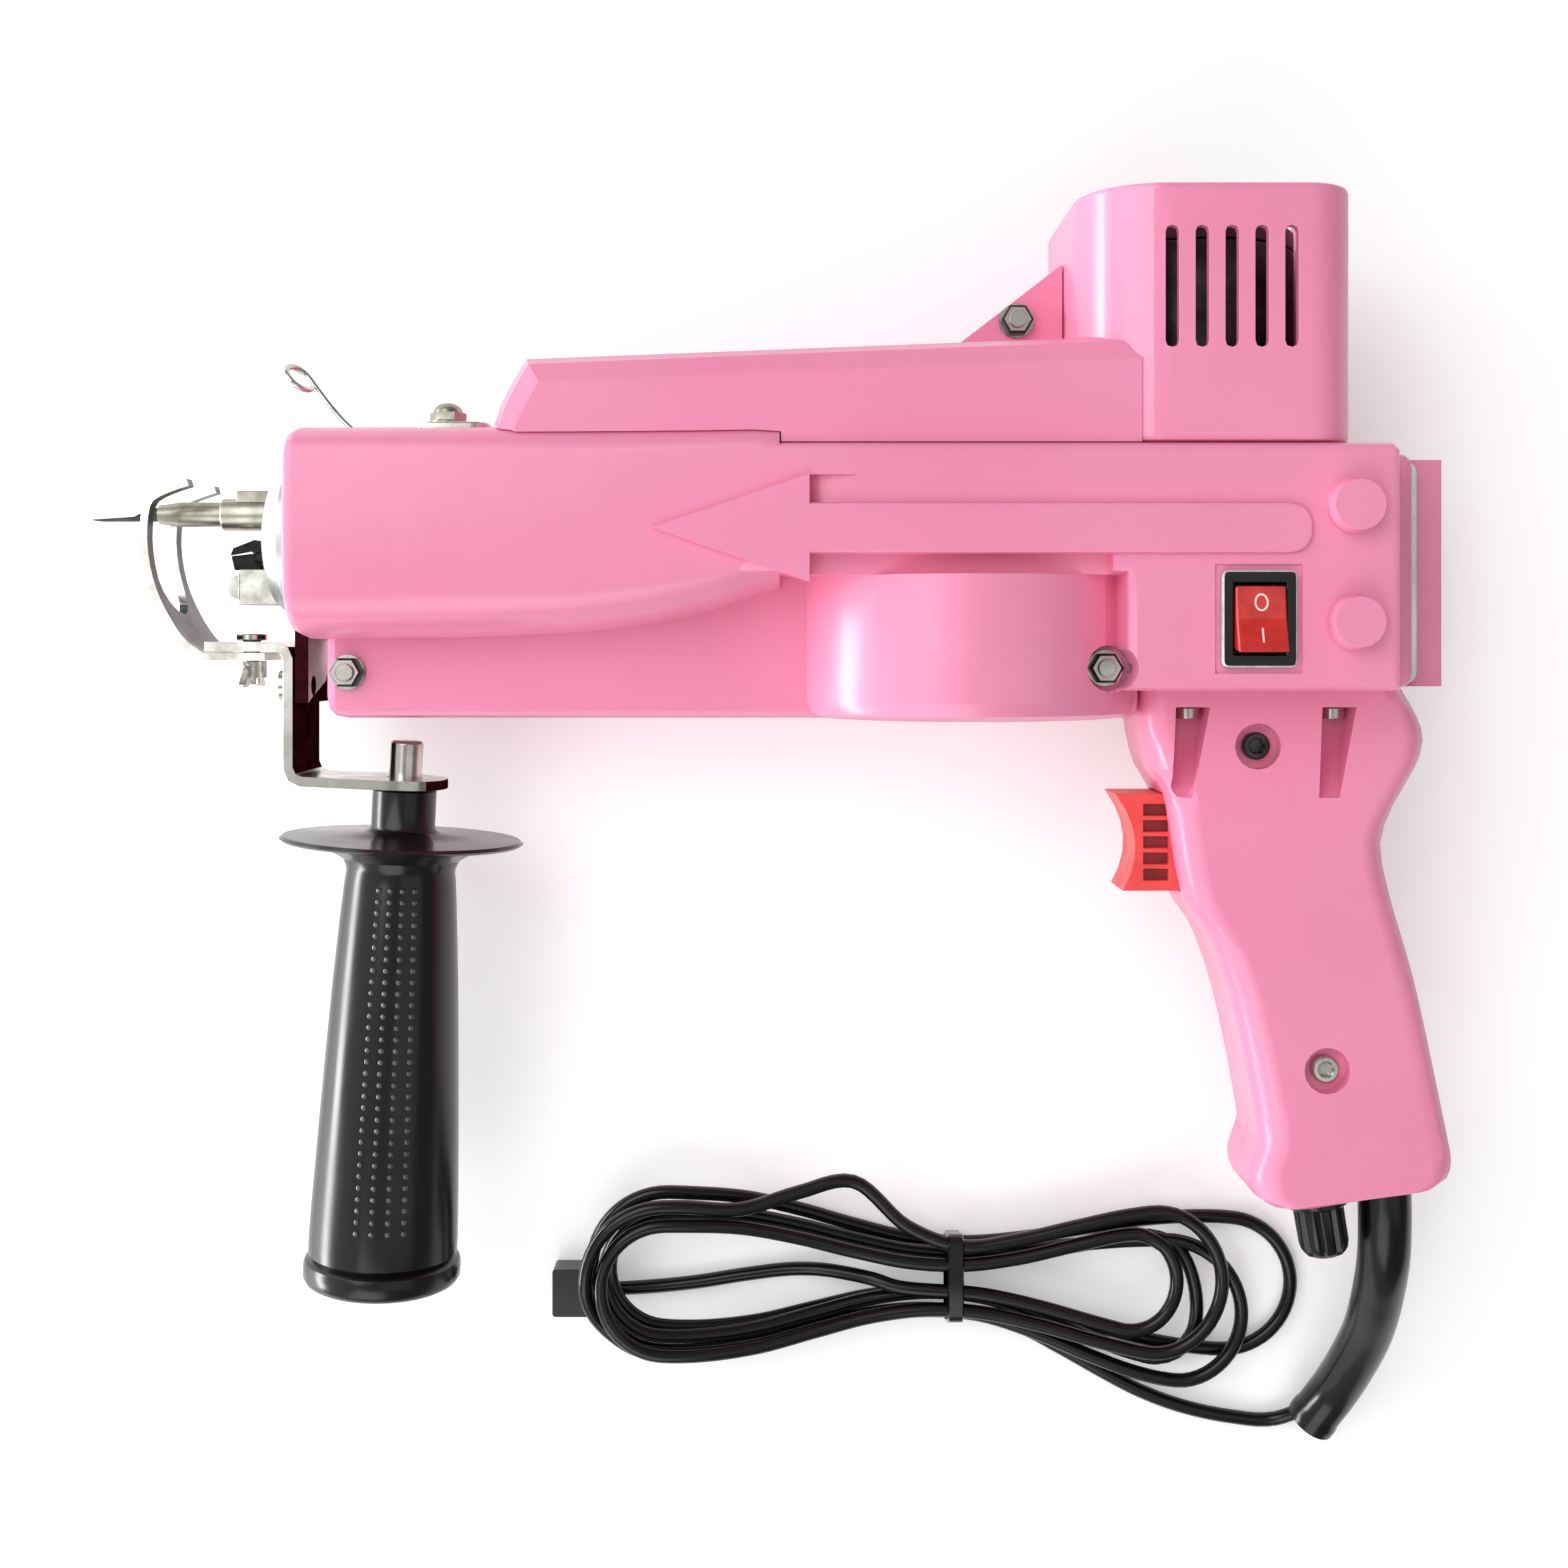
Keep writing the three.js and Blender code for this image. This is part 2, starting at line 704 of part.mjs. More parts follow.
// Rings of a round wire along points, carried on without twist.
function wireRings(points, radius, sides) {
  const rings = [];
  const across = new THREE.Vector3();
  const up = new THREE.Vector3(0, 0, 1);
  points.forEach((point, i) => {
    const before = points[Math.max(i - 1, 0)];
    const after = points[Math.min(i + 1, points.length - 1)];
    const along = after.clone().sub(before).normalize();
    if (i === 0) across.crossVectors(along, up);
    across.addScaledVector(along, -across.dot(along)).normalize();
    const other = along.clone().cross(across);
    const ring = [];
    for (let side = 0; side < sides; side += 1) {
      const turn = (2 * Math.PI * (side + 0.5)) / sides;
      const offset = across.clone().multiplyScalar(Math.cos(turn) * radius).addScaledVector(other, Math.sin(turn) * radius);
      ring.push(point.clone().add(offset));
    }
    rings.push(ring);
  });
  return rings;
}

// A tube along a smooth curve through points, made by extruding its round section.
function tube(points, radius, sides, steps) {
  const path = new THREE.CatmullRomCurve3(points.map(([x, y, z]) => new THREE.Vector3(x, y, z)), false, 'centripetal');
  const section = new THREE.Shape();
  for (let side = 0; side < sides; side += 1) {
    const turn = (2 * Math.PI * (side + 0.5)) / sides;
    const place = [Math.cos(turn) * radius, Math.sin(turn) * radius];
    if (side === 0) section.moveTo(...place);
    else section.lineTo(...place);
  }
  section.closePath();
  return solidOf(new THREE.ExtrudeGeometry(section, { steps, extrudePath: path }));
}

// A flat plate along a polyline in XY, of one thickness, between two Z places.
function stripOutline(line, thickness) {
  const left = [];
  const right = [];
  line.forEach(([x, y], i) => {
    const before = line[Math.max(i - 1, 0)];
    const after = line[Math.min(i + 1, line.length - 1)];
    const inDirection = new THREE.Vector2(x - before[0], y - before[1]).normalize();
    const outDirection = new THREE.Vector2(after[0] - x, after[1] - y).normalize();
    const along = inDirection.clone().add(outDirection).normalize();
    const reach = thickness / 2 / Math.max(Math.abs(along.dot(i === 0 ? outDirection : inDirection)), 0.5);
    left.push([x - along.y * reach, y + along.x * reach, 0]);
    right.unshift([x + along.y * reach, y - along.x * reach, 0]);
  });
  return [...left, ...right];
}

const splitHalf = frameThickness / 2 + gap;
const barrelMiddle = (podTopRise - podBottomDrop) / 2;
const headY = -headDrop;
const coverTop = plateTopRise + gap;

// The barrel pod between the nose and the plate, one wall smaller where margin is given.
function barrelPod(depth, margin) {
  const length = noseReach - podRearReach;
  const rings = [];
  const addRing = (x, lowerRise, shrink, sink = 0) => {
    const low = -podBottomDrop + lowerRise + margin + shrink;
    const high = podTopRise - margin - shrink;
    const middle = (low + high) / 2;
    const halfHeight = (high - low) / 2;
    const ring = [];
    for (let step = 0; step <= podSectionSteps; step += 1) {
      const turn = (Math.PI * step) / podSectionSteps;
      const power = Math.cos(turn) > 0 ? podLowPower : podTopPower;
      const y = -Math.sign(Math.cos(turn)) * Math.abs(Math.cos(turn)) ** power * halfHeight;
      const z = Math.sin(turn) ** power * (depth + podProud - margin - shrink - sink);
      ring.push(new THREE.Vector3(x, middle + y, step === podSectionSteps ? 0 : z));
    }
    rings.push(ring);
  };
  podNoseShares.forEach(([along, shrink]) => {
    addRing(-noseReach + margin + along * podNoseRound, 0, shrink * podNoseRound);
  });
  podStationShares.slice(1).forEach((share, i) => {
    const rise = podLowerRiseShares[i + 1] * (podBottomDrop - plateBottomDrop);
    const isEnd = i === podStationShares.length - 2;
    addRing(-noseReach + share * length - (isEnd ? margin : 0), rise, 0, isEnd ? 2 * podProud : 0);
  });
  return solidOf(loftGeometry(rings));
}

// The gear bulge about the crank axle, a turned body with its lower edge rounded.
function gearBulge(margin) {
  const radius = gearBulgeRadius - margin;
  const low = -flangeBottomDrop + margin;
  const high = margin > 0 ? -plateBottomDrop - margin : -plateBottomDrop + overrun;
  const shoulder = restEdgeRound * bulgeShoulderShare;
  const profile = [
    [0, low], [radius - restEdgeRound, low], [radius - shoulder, low + shoulder],
    [radius, low + restEdgeRound], [radius, high], [0, high],
  ];
  return turned(profile, fineSides);
}

// The outline that both covers and the frame share, with its own rear edge.
function bodyOutline(rearReach) {
  return [
    [-flangeFrontReach, -flangeBottomDrop, flangeCornerRadius],
    [flangeRearReach, -flangeBottomDrop, coverCornerRadius],
    [flangeRearReach, -rearBottomDrop, 0],
    [rearReach, -rearBottomDrop, coverCornerRadius],
    [rearReach, plateTopRise, coverCornerRadius],
    [-podRearReach, plateTopRise, 0],
    [-podRearReach, podTopRise, coverCornerRadius],
    [-flangeFrontReach, podTopRise, flangeCornerRadius],
  ];
}

const spigotHole = bar('x', headSpigotRadius + gap, -noseReach - overrun, -flangeFrontReach + 3 * overrun, headY, 0, fineSides);
const pinionSpace = bar('y', pinionSpaceRadius, -gearTopDrop - gearThickness - overrun, -plateBottomDrop, motorX, 0, fineSides);
const shaftHole = bar('y', motorShaftRadius + 2 * gap, plateTopRise - 3 * overrun, plateTopRise + overrun, motorX, 0);
const mountScrewPlaces = [pocketFrontX, pocketRearX];

// Left cover: a moulded tray with the barrel pod, the raised plate, the gear bulge and the arrow.
function leftCover() {
  const rear = leftRearReach + leftRearFlare;
  const flange = prism(bodyOutline(rear), -flangeHalfDepth, flangeHalfDepth, coverEdgeRound);
  const plateOutline = [
    [-podRearReach - 2 * overrun, -plateBottomDrop, 0],
    [rearPlateFront, -plateBottomDrop, 0],
    [rearPlateFront, -rearBottomDrop, 0],
    [leftRearReach, -rearBottomDrop, 0],
    [leftRearReach, plateTopRise - rearCornerCut, 0],
    [leftRearReach - rearCornerCut, plateTopRise, 0],
    [-podRearReach - 2 * overrun, plateTopRise, 0],
  ];
  const plate = prism(plateOutline, -faceHalfDepth, faceHalfDepth, coverEdgeRound);
  const flareOutline = [
    [flangeRearReach + shellWall, 0, 0],
    [rear, 0, 0],
    [leftRearReach, faceHalfDepth - coverEdgeRound, 0],
    [flangeRearReach + shellWall, faceHalfDepth - coverEdgeRound, 0],
  ];
  const flare = uprightPrism(flareOutline, -rearBottomDrop, plateTopRise - rearCornerCut);
  const outside = joined(flange, plate, flare, barrelPod(faceHalfDepth, 0), gearBulge(0));
  const deepFloor = faceHalfDepth - recessDepth - shellWall;
  const flangeHollow = prism(inset(bodyOutline(rear), shellWall), -flangeHalfDepth, flangeHalfDepth - shellWall);
  const plateHollow = prism(inset(plateOutline, shellWall), -deepFloor, deepFloor);
  const podHollow = barrelPod(faceHalfDepth, shellWall);
  const bulgeMouth = bar('y', deepFloor, -plateBottomDrop - 2 * shellWall, -plateBottomDrop + 2 * shellWall, 0, 0,
    fineSides);
  let cover = cut(outside, joined(flangeHollow, plateHollow, podHollow, gearBulge(shellWall), bulgeMouth));

  const shaftFront = arrowHeadLength - arrowTipReach;
  const shaftRear = shaftFront + arrowShaftLength;
  const recess = block(shaftFront, recessRear, -plateBottomDrop, -reliefDrop - arrowShaftHalfHeight,
    faceHalfDepth - recessDepth, faceHalfDepth + overrun);
  const ramp = uprightPrism([
    [shaftFront, faceHalfDepth - rampDepth, 0],
    [shaftFront + rampLength, faceHalfDepth, 0],
    [shaftFront + rampLength + overrun, faceHalfDepth + overrun, 0],
    [shaftFront, faceHalfDepth + overrun, 0],
  ], -reliefDrop + arrowShaftHalfHeight, -reliefDrop + arrowHeadHalfHeight);
  const arrowTop = faceHalfDepth + arrowProud;
  const arrowHead = prism([
    [-arrowTipReach, -reliefDrop, 0],
    [shaftFront, -reliefDrop - arrowHeadHalfHeight, 0],
    [shaftFront, -reliefDrop + arrowHeadHalfHeight, 0],
  ], faceHalfDepth - rampDepth - shellWall / 2, arrowTop);
  const arrowShaft = prism([
    [shaftFront - overrun, -reliefDrop - arrowShaftHalfHeight, 0],
    [shaftRear, -reliefDrop - arrowShaftHalfHeight, arrowShaftHalfHeight],
    [shaftRear, -reliefDrop + arrowShaftHalfHeight, arrowShaftHalfHeight],
    [shaftFront - overrun, -reliefDrop + arrowShaftHalfHeight, 0],
  ], faceHalfDepth - rampDepth - shellWall / 2, arrowTop, arrowProud / 2, 5);
  cover = joined(cut(cover, recess, ramp), arrowHead, arrowShaft);

  [bossUpperDrop, bossLowerDrop].forEach((drop) => {
    const low = faceHalfDepth - shellWall / 2;
    cover = cover.add(bar('z', bossBaseRadius, low, faceHalfDepth + bossProud, bossX, -drop, coarseSides, bossTopRadius));
  });

  const recessHalfWidth = rockerWidth / 2 + rockerRecessMargin;
  const recessHalfHeight = rockerHeight / 2 + rockerRecessMargin;
  const cutHalfWidth = rockerWidth / 2 - rockerBodyInset + gap;
  const cutHalfHeight = rockerHeight / 2 - rockerBodyInset + gap;
  const faceTop = faceHalfDepth + overrun;
  const rockerSeat = block(rockerX - recessHalfWidth, rockerX + recessHalfWidth, -rockerDrop - recessHalfHeight,
    -rockerDrop + recessHalfHeight, faceHalfDepth - rockerRecessDepth, faceTop);
  const rockerHole = block(rockerX - cutHalfWidth, rockerX + cutHalfWidth, -rockerDrop - cutHalfHeight,
    -rockerDrop + cutHalfHeight, deepFloor - overrun, faceTop);
  const boltHole = bar('z', boltRadius + gap, 0, faceHalfDepth, frontBoltX, -frontBoltDrop);
  const rearBoltHole = bar('z', boltRadius + gap, 0, faceHalfDepth, rearBoltX, -rearBoltDrop);
  const boltSeat = bar('z', rearBoltSeatRadius, rearBoltSeatDepth, faceHalfDepth + overrun, rearBoltX, -rearBoltDrop);
  const seatWall = bar('z', rearBoltSeatRadius + shellWall / 2, rearBoltSeatDepth - shellWall,
    rearBoltSeatDepth, rearBoltX, -rearBoltDrop);
  const screwHoles = mountScrewPlaces.map((x) => (
    bar('y', mountScrewRadius + gap, -rearBottomDrop - overrun, -rearBottomDrop + overrun, x, pocketScrewDepth)
  ));
  const rim = block(-noseReach - overrun, rightRearReach + overrun, -flangeBottomDrop - overrun,
    podTopRise + overrun, -faceHalfDepth - overrun, splitHalf);
  return cut(cover.add(seatWall), rockerSeat, rockerHole, boltHole, rearBoltHole, boltSeat, spigotHole, shaftHole,
    pinionSpace, ...screwHoles, rim);
}

// Right cover: the deep flat tray that the machine lies on, with the gear bulge below it.
function rightCover() {
  const deepOutline = [
    [-noseReach, -podBottomDrop, 0],
    [flangeRearReach, -podBottomDrop, 0],
    [flangeRearReach, -rearBottomDrop, 0],
    [rightRearReach, -rearBottomDrop, 0],
    [rightRearReach, plateTopRise, 0],
    [-podRearReach, plateTopRise, 0],
    [-podRearReach, podTopRise, 0],
    [-noseReach, podTopRise, 0],
  ];
  const flange = prism(bodyOutline(rightRearReach), -flangeHalfDepth, flangeHalfDepth, coverEdgeRound);
  const deep = prism(deepOutline, -restHalfDepth, restHalfDepth, restEdgeRound);
  const flangeHollow = prism(inset(bodyOutline(rightRearReach), shellWall), -flangeHalfDepth + shellWall, flangeHalfDepth);
  const deepHollow = prism(inset(deepOutline, shellWall), -restHalfDepth + shellWall, restHalfDepth);
  const outside = joined(flange, deep, gearBulge(0));
  const frontBoltHole = bar('z', boltRadius + gap, -restHalfDepth, 0, frontBoltX, -frontBoltDrop);
  const rearBoltHole = bar('z', boltRadius + gap, -restHalfDepth, 0, rearBoltX, -rearBoltDrop);
  const rearHeadSeat = bar('z', rearBoltSeatRadius, -restHalfDepth, -rearBoltSeatDepth, rearBoltX, -rearBoltDrop);
  const seatWall = bar('z', rearBoltSeatRadius + shellWall / 2, -rearBoltSeatDepth,
    -rearBoltSeatDepth + shellWall, rearBoltX, -rearBoltDrop);
  const rim = block(-noseReach - overrun, rightRearReach + overrun, -flangeBottomDrop - overrun,
    podTopRise + overrun, -splitHalf, restHalfDepth + overrun);
  const lip = block(rightRearReach - rearLipWidth, rightRearReach - shellWall / 2, -rearBottomDrop + shellWall / 2,
    plateTopRise - shellWall / 2, -splitHalf - shellWall, -splitHalf);
  const tray = joined(cut(outside, joined(flangeHollow, deepHollow, gearBulge(shellWall))), seatWall, lip);
  return cut(tray, frontBoltHole, rearBoltHole, rearHeadSeat, spigotHole, shaftHole, pinionSpace, rim);
}

// Metal frame: a rim between the covers whose rear edge stands behind the left cover.
function bodyFrame() {
  const outline = inset(bodyOutline(rightRearReach - frameRearStep + frameInset), frameInset);
  const half = frameThickness / 2;
  const window = prism(inset(outline, frameRimWidth), -half - overrun, half + overrun);
  const frontBoltHole = bar('z', boltRadius + gap, -half - overrun, half + overrun, frontBoltX, -frontBoltDrop);
  const bearingTop = plateTopRise - shellWall - gap;
  const bearing = bar('y', shaftBearingRadius, bearingTop - shaftBearingLength, bearingTop, motorX, 0);
  return cut(cut(prism(outline, -half, half), window).add(bearing), spigotHole, shaftHole, frontBoltHole);
}

addPiece('left_cover', leftCover(), pinkPlastic);
addPiece('right_cover', rightCover(), pinkPlastic);
addPiece('body_frame', bodyFrame(), castAluminium);

// A through bolt along Z: its head low, its nut high, screwed up as one.
function throughBolt(x, y, low, high) {
  const head = bar('z', boltHeadRadius, low - boltHeadHeight, low, x, y, 6);
  const nut = bar('z', boltHeadRadius, high, high + boltHeadHeight, x, y, 6);
  const shank = bar('z', boltRadius, low - boltHeadHeight / 2, high + boltHeadHeight + boltRadius / 2, x, y);
  return joined(head, nut, shank);
}

addPiece('shell_bolt_front',
  throughBolt(frontBoltX, -frontBoltDrop, -flangeHalfDepth - gap, flangeHalfDepth + gap), zincSteel);
addPiece('shell_bolt_rear',
  throughBolt(rearBoltX, -rearBoltDrop, -rearBoltSeatDepth - gap, rearBoltSeatDepth + gap), zincSteel);

// The rounded oblong of the motor shroud, in XZ about the motor shaft.
function shroudOutline(margin) {
  const halfWidth = shroudWidth / 2 - margin;
  const halfDepth = shroudDepth / 2 - margin;
  const corners = [];
  [[1, 1, shroudRearRadius], [-1, 1, shroudFrontRadius], [-1, -1, shroudFrontRadius], [1, -1, shroudRearRadius]]
    .forEach(([across, deep, fullRadius], quarter) => {
      const radius = fullRadius - margin;
      for (let step = 0; step <= shroudCornerSteps; step += 1) {
        const turn = (Math.PI / 2) * (quarter + step / shroudCornerSteps);
        const x = across * (halfWidth - radius) + Math.cos(turn) * radius;
        const z = deep * (halfDepth - radius) + Math.sin(turn) * radius;
        corners.push([motorX + x, z, 0]);
      }
    });
  return corners;
}

// The gusset between the housing top and the shroud's side, between two Z places.
function gusset(low, high) {
  const toe = housingShoulderRise + (housingRearRise - housingShoulderRise) * webToeShare - shellWall;
  return prism([
    [webFrontX - shellWall, toe, 0],
    [shroudFront, toe, 0],
    [shroudFront, webTopRise, 0],
    [shroudFront - gap, webTopRise, 0],
  ], low, high);
}

const webHole = bar('z', boltRadius + gap, -webThickness - overrun, webThickness + overrun, webBoltX, webBoltRise);

// Upper housing: a long hood over the covers with a sloping top and one cheek of the gusset.
function upperHousing() {
  const slopeWidth = housingFrontReach - housingShoulderReach;
  const slopeHeight = housingShoulderRise - podTopRise;
  const slope = housingSlopeShares.map(([along, up]) => (
    [-housingFrontReach + along * slopeWidth, podTopRise + up * slopeHeight, 0]
  ));
  const skirtLow = plateTopRise - 2 * housingEdgeRound;
  const outline = [
    [-housingFrontReach - slopeWidth / 2, skirtLow, 0],
    [housingRearReach + housingEdgeRound, skirtLow, 0],
    [housingRearReach + housingEdgeRound, housingRearRise, 0],
    [-housingShoulderReach, housingShoulderRise, 0],
    ...slope.reverse(),
  ];
  const hood = prism(outline, -housingHalfDepth, housingHalfDepth, housingEdgeRound);
  const hollow = block(-housingShoulderReach + housingHollowMargin, motorX - shroudWidth / 2 - housingHollowMargin,
    plateTopRise - overrun, housingShoulderRise - shellWall, -housingHalfDepth + housingHollowMargin,
    housingHalfDepth - housingHollowMargin);
  const shroudSpace = uprightPrism(shroudOutline(-gap), plateTopRise - overrun, shroudTopRise);
  const cheek = gusset(gap / 2, webThickness);
  const otherCheekSpace = block(webFrontX - shellWall, housingRearReach, housingShoulderRise,
    webTopRise, -webThickness - gap, gap / 2);
  const frontReach = housingFrontReach + housingEdgeRound;
  const rearEnd = housingRearReach + 2 * housingEdgeRound;
  const barrelSpace = block(-frontReach, -podRearReach + gap, skirtLow - overrun, podTopRise + gap,
    -housingHalfDepth - overrun, flangeHalfDepth);
  const podShape = barrelPod(faceHalfDepth, -gap);
  const plateSpace = block(-frontReach, rearEnd, skirtLow - overrun, plateTopRise + gap,
    -housingHalfDepth - overrun, housingHalfDepth + overrun);
  const rearSpace = block(housingRearReach, rearEnd, skirtLow - overrun, webTopRise,
    -housingHalfDepth - overrun, housingHalfDepth + overrun);
  const body = cut(hood.add(cheek), barrelSpace, podShape, plateSpace, rearSpace, shroudSpace, hollow);
  return cut(body, otherCheekSpace, webHole);
}

// Motor shroud: an open oblong cup round the motor, with round-ended vents and the other gusset cheek.
function motorShroud() {
  const outer = uprightPrism(shroudOutline(0), coverTop, shroudTopRise, shroudLip);
  const inner = uprightPrism(shroudOutline(shroudWall), coverTop - overrun, shroudTopRise + overrun);
  const vents = [];
  for (let i = 0; i < ventCount; i += 1) {
    const x = motorX + ventRearShift + (i - (ventCount - 1) / 2) * ventSpacing;
    vents.push(prism([
      [x - ventWidth / 2, ventCentreRise - ventLength / 2, ventWidth / 2],
      [x + ventWidth / 2, ventCentreRise - ventLength / 2, ventWidth / 2],
      [x + ventWidth / 2, ventCentreRise + ventLength / 2, ventWidth / 2],
      [x - ventWidth / 2, ventCentreRise + ventLength / 2, ventWidth / 2],
    ], -shroudDepth, shroudDepth, 0, 2));
  }
  const cheek = gusset(-webThickness, -gap / 2);
  const cheekRoot = block(motorX - shroudWidth / 2 - 2 * gap, motorX - shroudWidth / 2 + shroudWall / 2,
    housingRearRise, webTopRise, -webThickness, -gap / 2);
  const cheekClear = block(webFrontX - 2 * shellWall, housingRearReach, 0,
    housingRearRise + gap, -webThickness - overrun, overrun);
  const ear = cut(cheek.add(cheekRoot), cheekClear, webHole);
  return cut(outer, inner, ...vents).add(ear);
}

addPiece('upper_housing', upperHousing(), pinkPlastic);
addPiece('motor_shroud', motorShroud(), pinkPlastic);
addPiece('shroud_bolt', throughBolt(webBoltX, webBoltRise, -webThickness - gap, webThickness + gap), zincSteel);

// Motor on its deck above the covers
const deckOutline = shroudOutline(shroudWall + gap);
const deckHole = bar('y', motorBossRadius + gap, motorDeckLow - overrun, motorLow + overrun, motorX, 0);
addPiece('motor_deck', cut(uprightPrism(deckOutline, motorDeckLow, motorDeckLow + deckThickness), deckHole), castAluminium);

const canBore = bar('y', motorShaftRadius + gap, motorLow - 2 * overrun, motorLow + 3 * overrun, motorX, 0);
const motorCan = joined(
  bar('y', motorRadius, motorLow, motorHigh, motorX, 0, fineSides),
  bar('y', motorBossRadius, motorLow - motorBossHeight, motorLow + overrun, motorX, 0),
);
addPiece('motor_can', cut(motorCan, canBore), zincSteel);

// End bell with its bearing hub and two brush slots
function endBell() {
  const low = motorHigh + gap;
  const high = low + endBellHeight;
  const disc = bar('y', motorRadius, low, high, motorX, 0, fineSides);
  const hub = bar('y', endBellHubRadius, high - gap, high + endBellHubHeight, motorX, 0);
  const slots = [-1, 1].map((side) => {
    const middle = motorX + side * (motorRadius + endBellHubRadius) / 2;
    return block(middle - brushSlotWidth / 2, middle + brushSlotWidth / 2, high - brushSlotDepth, high + overrun,
      -brushSlotLength / 2, brushSlotLength / 2);
  });
  return cut(disc.add(hub), ...slots);
}
addPiece('motor_end_bell', endBell(), blackPlastic);

// A spur gear about the Y axis, with one tooth or one space turned to the given angle.
function spurGear(teeth, pitchRadius, module, phase, low, high) {
  const corners = [];
  const pitchTurn = (2 * Math.PI) / teeth;
  const tip = pitchRadius + addendumShare * module;
  const root = pitchRadius - dedendumShare * module;
  for (let tooth = 0; tooth < teeth; tooth += 1) {
    const middle = phase + tooth * pitchTurn;
    [[-toothRootShare, root], [-toothTipShare, tip], [toothTipShare, tip], [toothRootShare, root]].forEach(
      ([share, radius]) => {
        const turn = middle + share * pitchTurn;
        corners.push([Math.cos(turn) * radius, Math.sin(turn) * radius, 0]);
      },
    );
  }
  return uprightPrism(corners, low, high);
}

const gearModule = (2 * shaftDistance) / (gearTeeth + pinionTeeth);
const gearPitchRadius = (gearModule * gearTeeth) / 2;
const pinionPitchRadius = (gearModule * pinionTeeth) / 2;
const gearLow = -gearTopDrop - gearThickness;
const discTop = -gearTopDrop + crankDiscHeight;

// Crank gear: toothed rim, thinner web and the raised crank disc.
function crankGear() {
  const blank = spurGear(gearTeeth, gearPitchRadius, gearModule, 0, gearLow, -gearTopDrop);
  const rimInside = gearPitchRadius - dedendumShare * gearModule - gearRimWidth;
  const lowerCut = bar('y', rimInside, gearLow - overrun, gearLow + gearWebCut, 0, 0, fineSides);
  const hub = bar('y', crankDiscRadius, gearLow, discTop, 0, 0, fineSides);
  const axleBore = bar('y', axleRadius + gap, gearLow - overrun, discTop + overrun, 0, 0);
  const pinBore = bar('y', crankPinRadius + gap, -gearTopDrop, discTop + overrun, -crankThrow, 0);
  return cut(cut(blank, lowerCut).add(hub), axleBore, pinBore);
}

const pinionLow = gearLow + shellWall / 2;
const pinion = cut(
  spurGear(pinionTeeth, pinionPitchRadius, gearModule, Math.PI / pinionTeeth, pinionLow, -gearTopDrop - shellWall / 2),
  bar('y', motorShaftRadius + gap, pinionLow - overrun, 0, 0, 0),
);
addPiece('pinion', pinion, satinSteel).position.set(motorX, 0, 0);
addPiece('motor_shaft', bar('y', motorShaftRadius, pinionLow - shellWall / 2, motorLow + 2 * overrun, motorX, 0), satinSteel);
addPiece('crank_gear', crankGear(), satinSteel);

const rodLow = -rodThickness / 2;
addPiece('crank_pin', bar('y', crankPinRadius, -gearTopDrop + gap, rodLow - gap, -crankThrow, 0), satinSteel);

// Gear deck on the frame's lower rim, with the axle standing on it
const gearDeckLow = -flangeBottomDrop + frameInset + frameRimWidth + gap;
const gearDeckTop = gearDeckLow + deckThickness;
addPiece('gear_deck', bar('y', gearDeckRadius, gearDeckLow, gearDeckTop, 0, 0, fineSides), castAluminium);
const axleFoot = bar('y', 2 * axleRadius, gearDeckTop + gap, gearLow - gap, 0, 0);
addPiece('gear_axle', axleFoot.add(bar('y', axleRadius, gearDeckTop + gap, discTop - gap, 0, 0)), satinSteel);

// Connecting rod between the crank and the crosshead
const wristX = -crankThrow - rodLength;
function connectingRod() {
  const low = -rodThickness / 2;
  const high = rodThickness / 2;
  const shank = block(wristX, -crankThrow, low, high, -rodShankWidth / 2, rodShankWidth / 2);
  const body = joined(
    shank,
    bar('y', rodBigEyeRadius, low, high, -crankThrow, 0, coarseSides),
    bar('y', rodSmallEyeRadius, low, high, wristX, 0, coarseSides),
  );
  return cut(
    body,
    bar('y', crankPinRadius + gap, low - overrun, high + overrun, -crankThrow, 0),
    bar('y', wristPinRadius + gap, low - overrun, high + overrun, wristX, 0),
  );
}
addPiece('connecting_rod', connectingRod(), satinSteel);

// Crosshead: a block on the needle bar, slotted for the rod's small end
function crosshead() {
  const body = block(wristX - crossheadFront, wristX + crossheadRear, -crossheadHalfHeight, crossheadHalfHeight,
    -crossheadHalfDepth, crossheadHalfDepth);
  const slot = block(wristX - rodSmallEyeRadius - 2 * gap, wristX + crossheadRear + overrun, rodLow - gap, -rodLow + gap,
    -crossheadHalfDepth - overrun, crossheadHalfDepth + overrun);
  const barHole = bar('x', needleBarRadius + gap, wristX - crossheadFront - overrun,
    wristX - rodSmallEyeRadius - overrun / 2, 0, 0);
  const pinHole = bar('y', wristPinRadius + gap, -crossheadHalfHeight - overrun, crossheadHalfHeight + overrun, wristX, 0);
  return cut(body, slot, barHole, pinHole);
}
addPiece('crosshead', crosshead(), castAluminium);
addPiece('wrist_pin', bar('y', wristPinRadius, -crossheadHalfHeight, crossheadHalfHeight, wristX, 0), satinSteel);

// Needle bar with its tapered nose, bored for the needle
function needleBar() {
  const rear = wristX - rodSmallEyeRadius - overrun / 2 - gap;
  const front = -needleBarTipReach + needleBarPointLength;
  const nose = bar('x', needleRadius + 2 * gap, -needleBarTipReach, front, 0, 0, coarseSides, needleBarRadius);
  const shank = bar('x', needleBarRadius, front, rear, 0, 0);
  const bore = bar('x', needleRadius + gap, -needleBarTipReach - overrun, -needleBarTipReach + needleGrip + gap, 0, 0);
  return cut(nose.add(shank), bore);
}
addPiece('needle_bar', needleBar(), satinSteel);

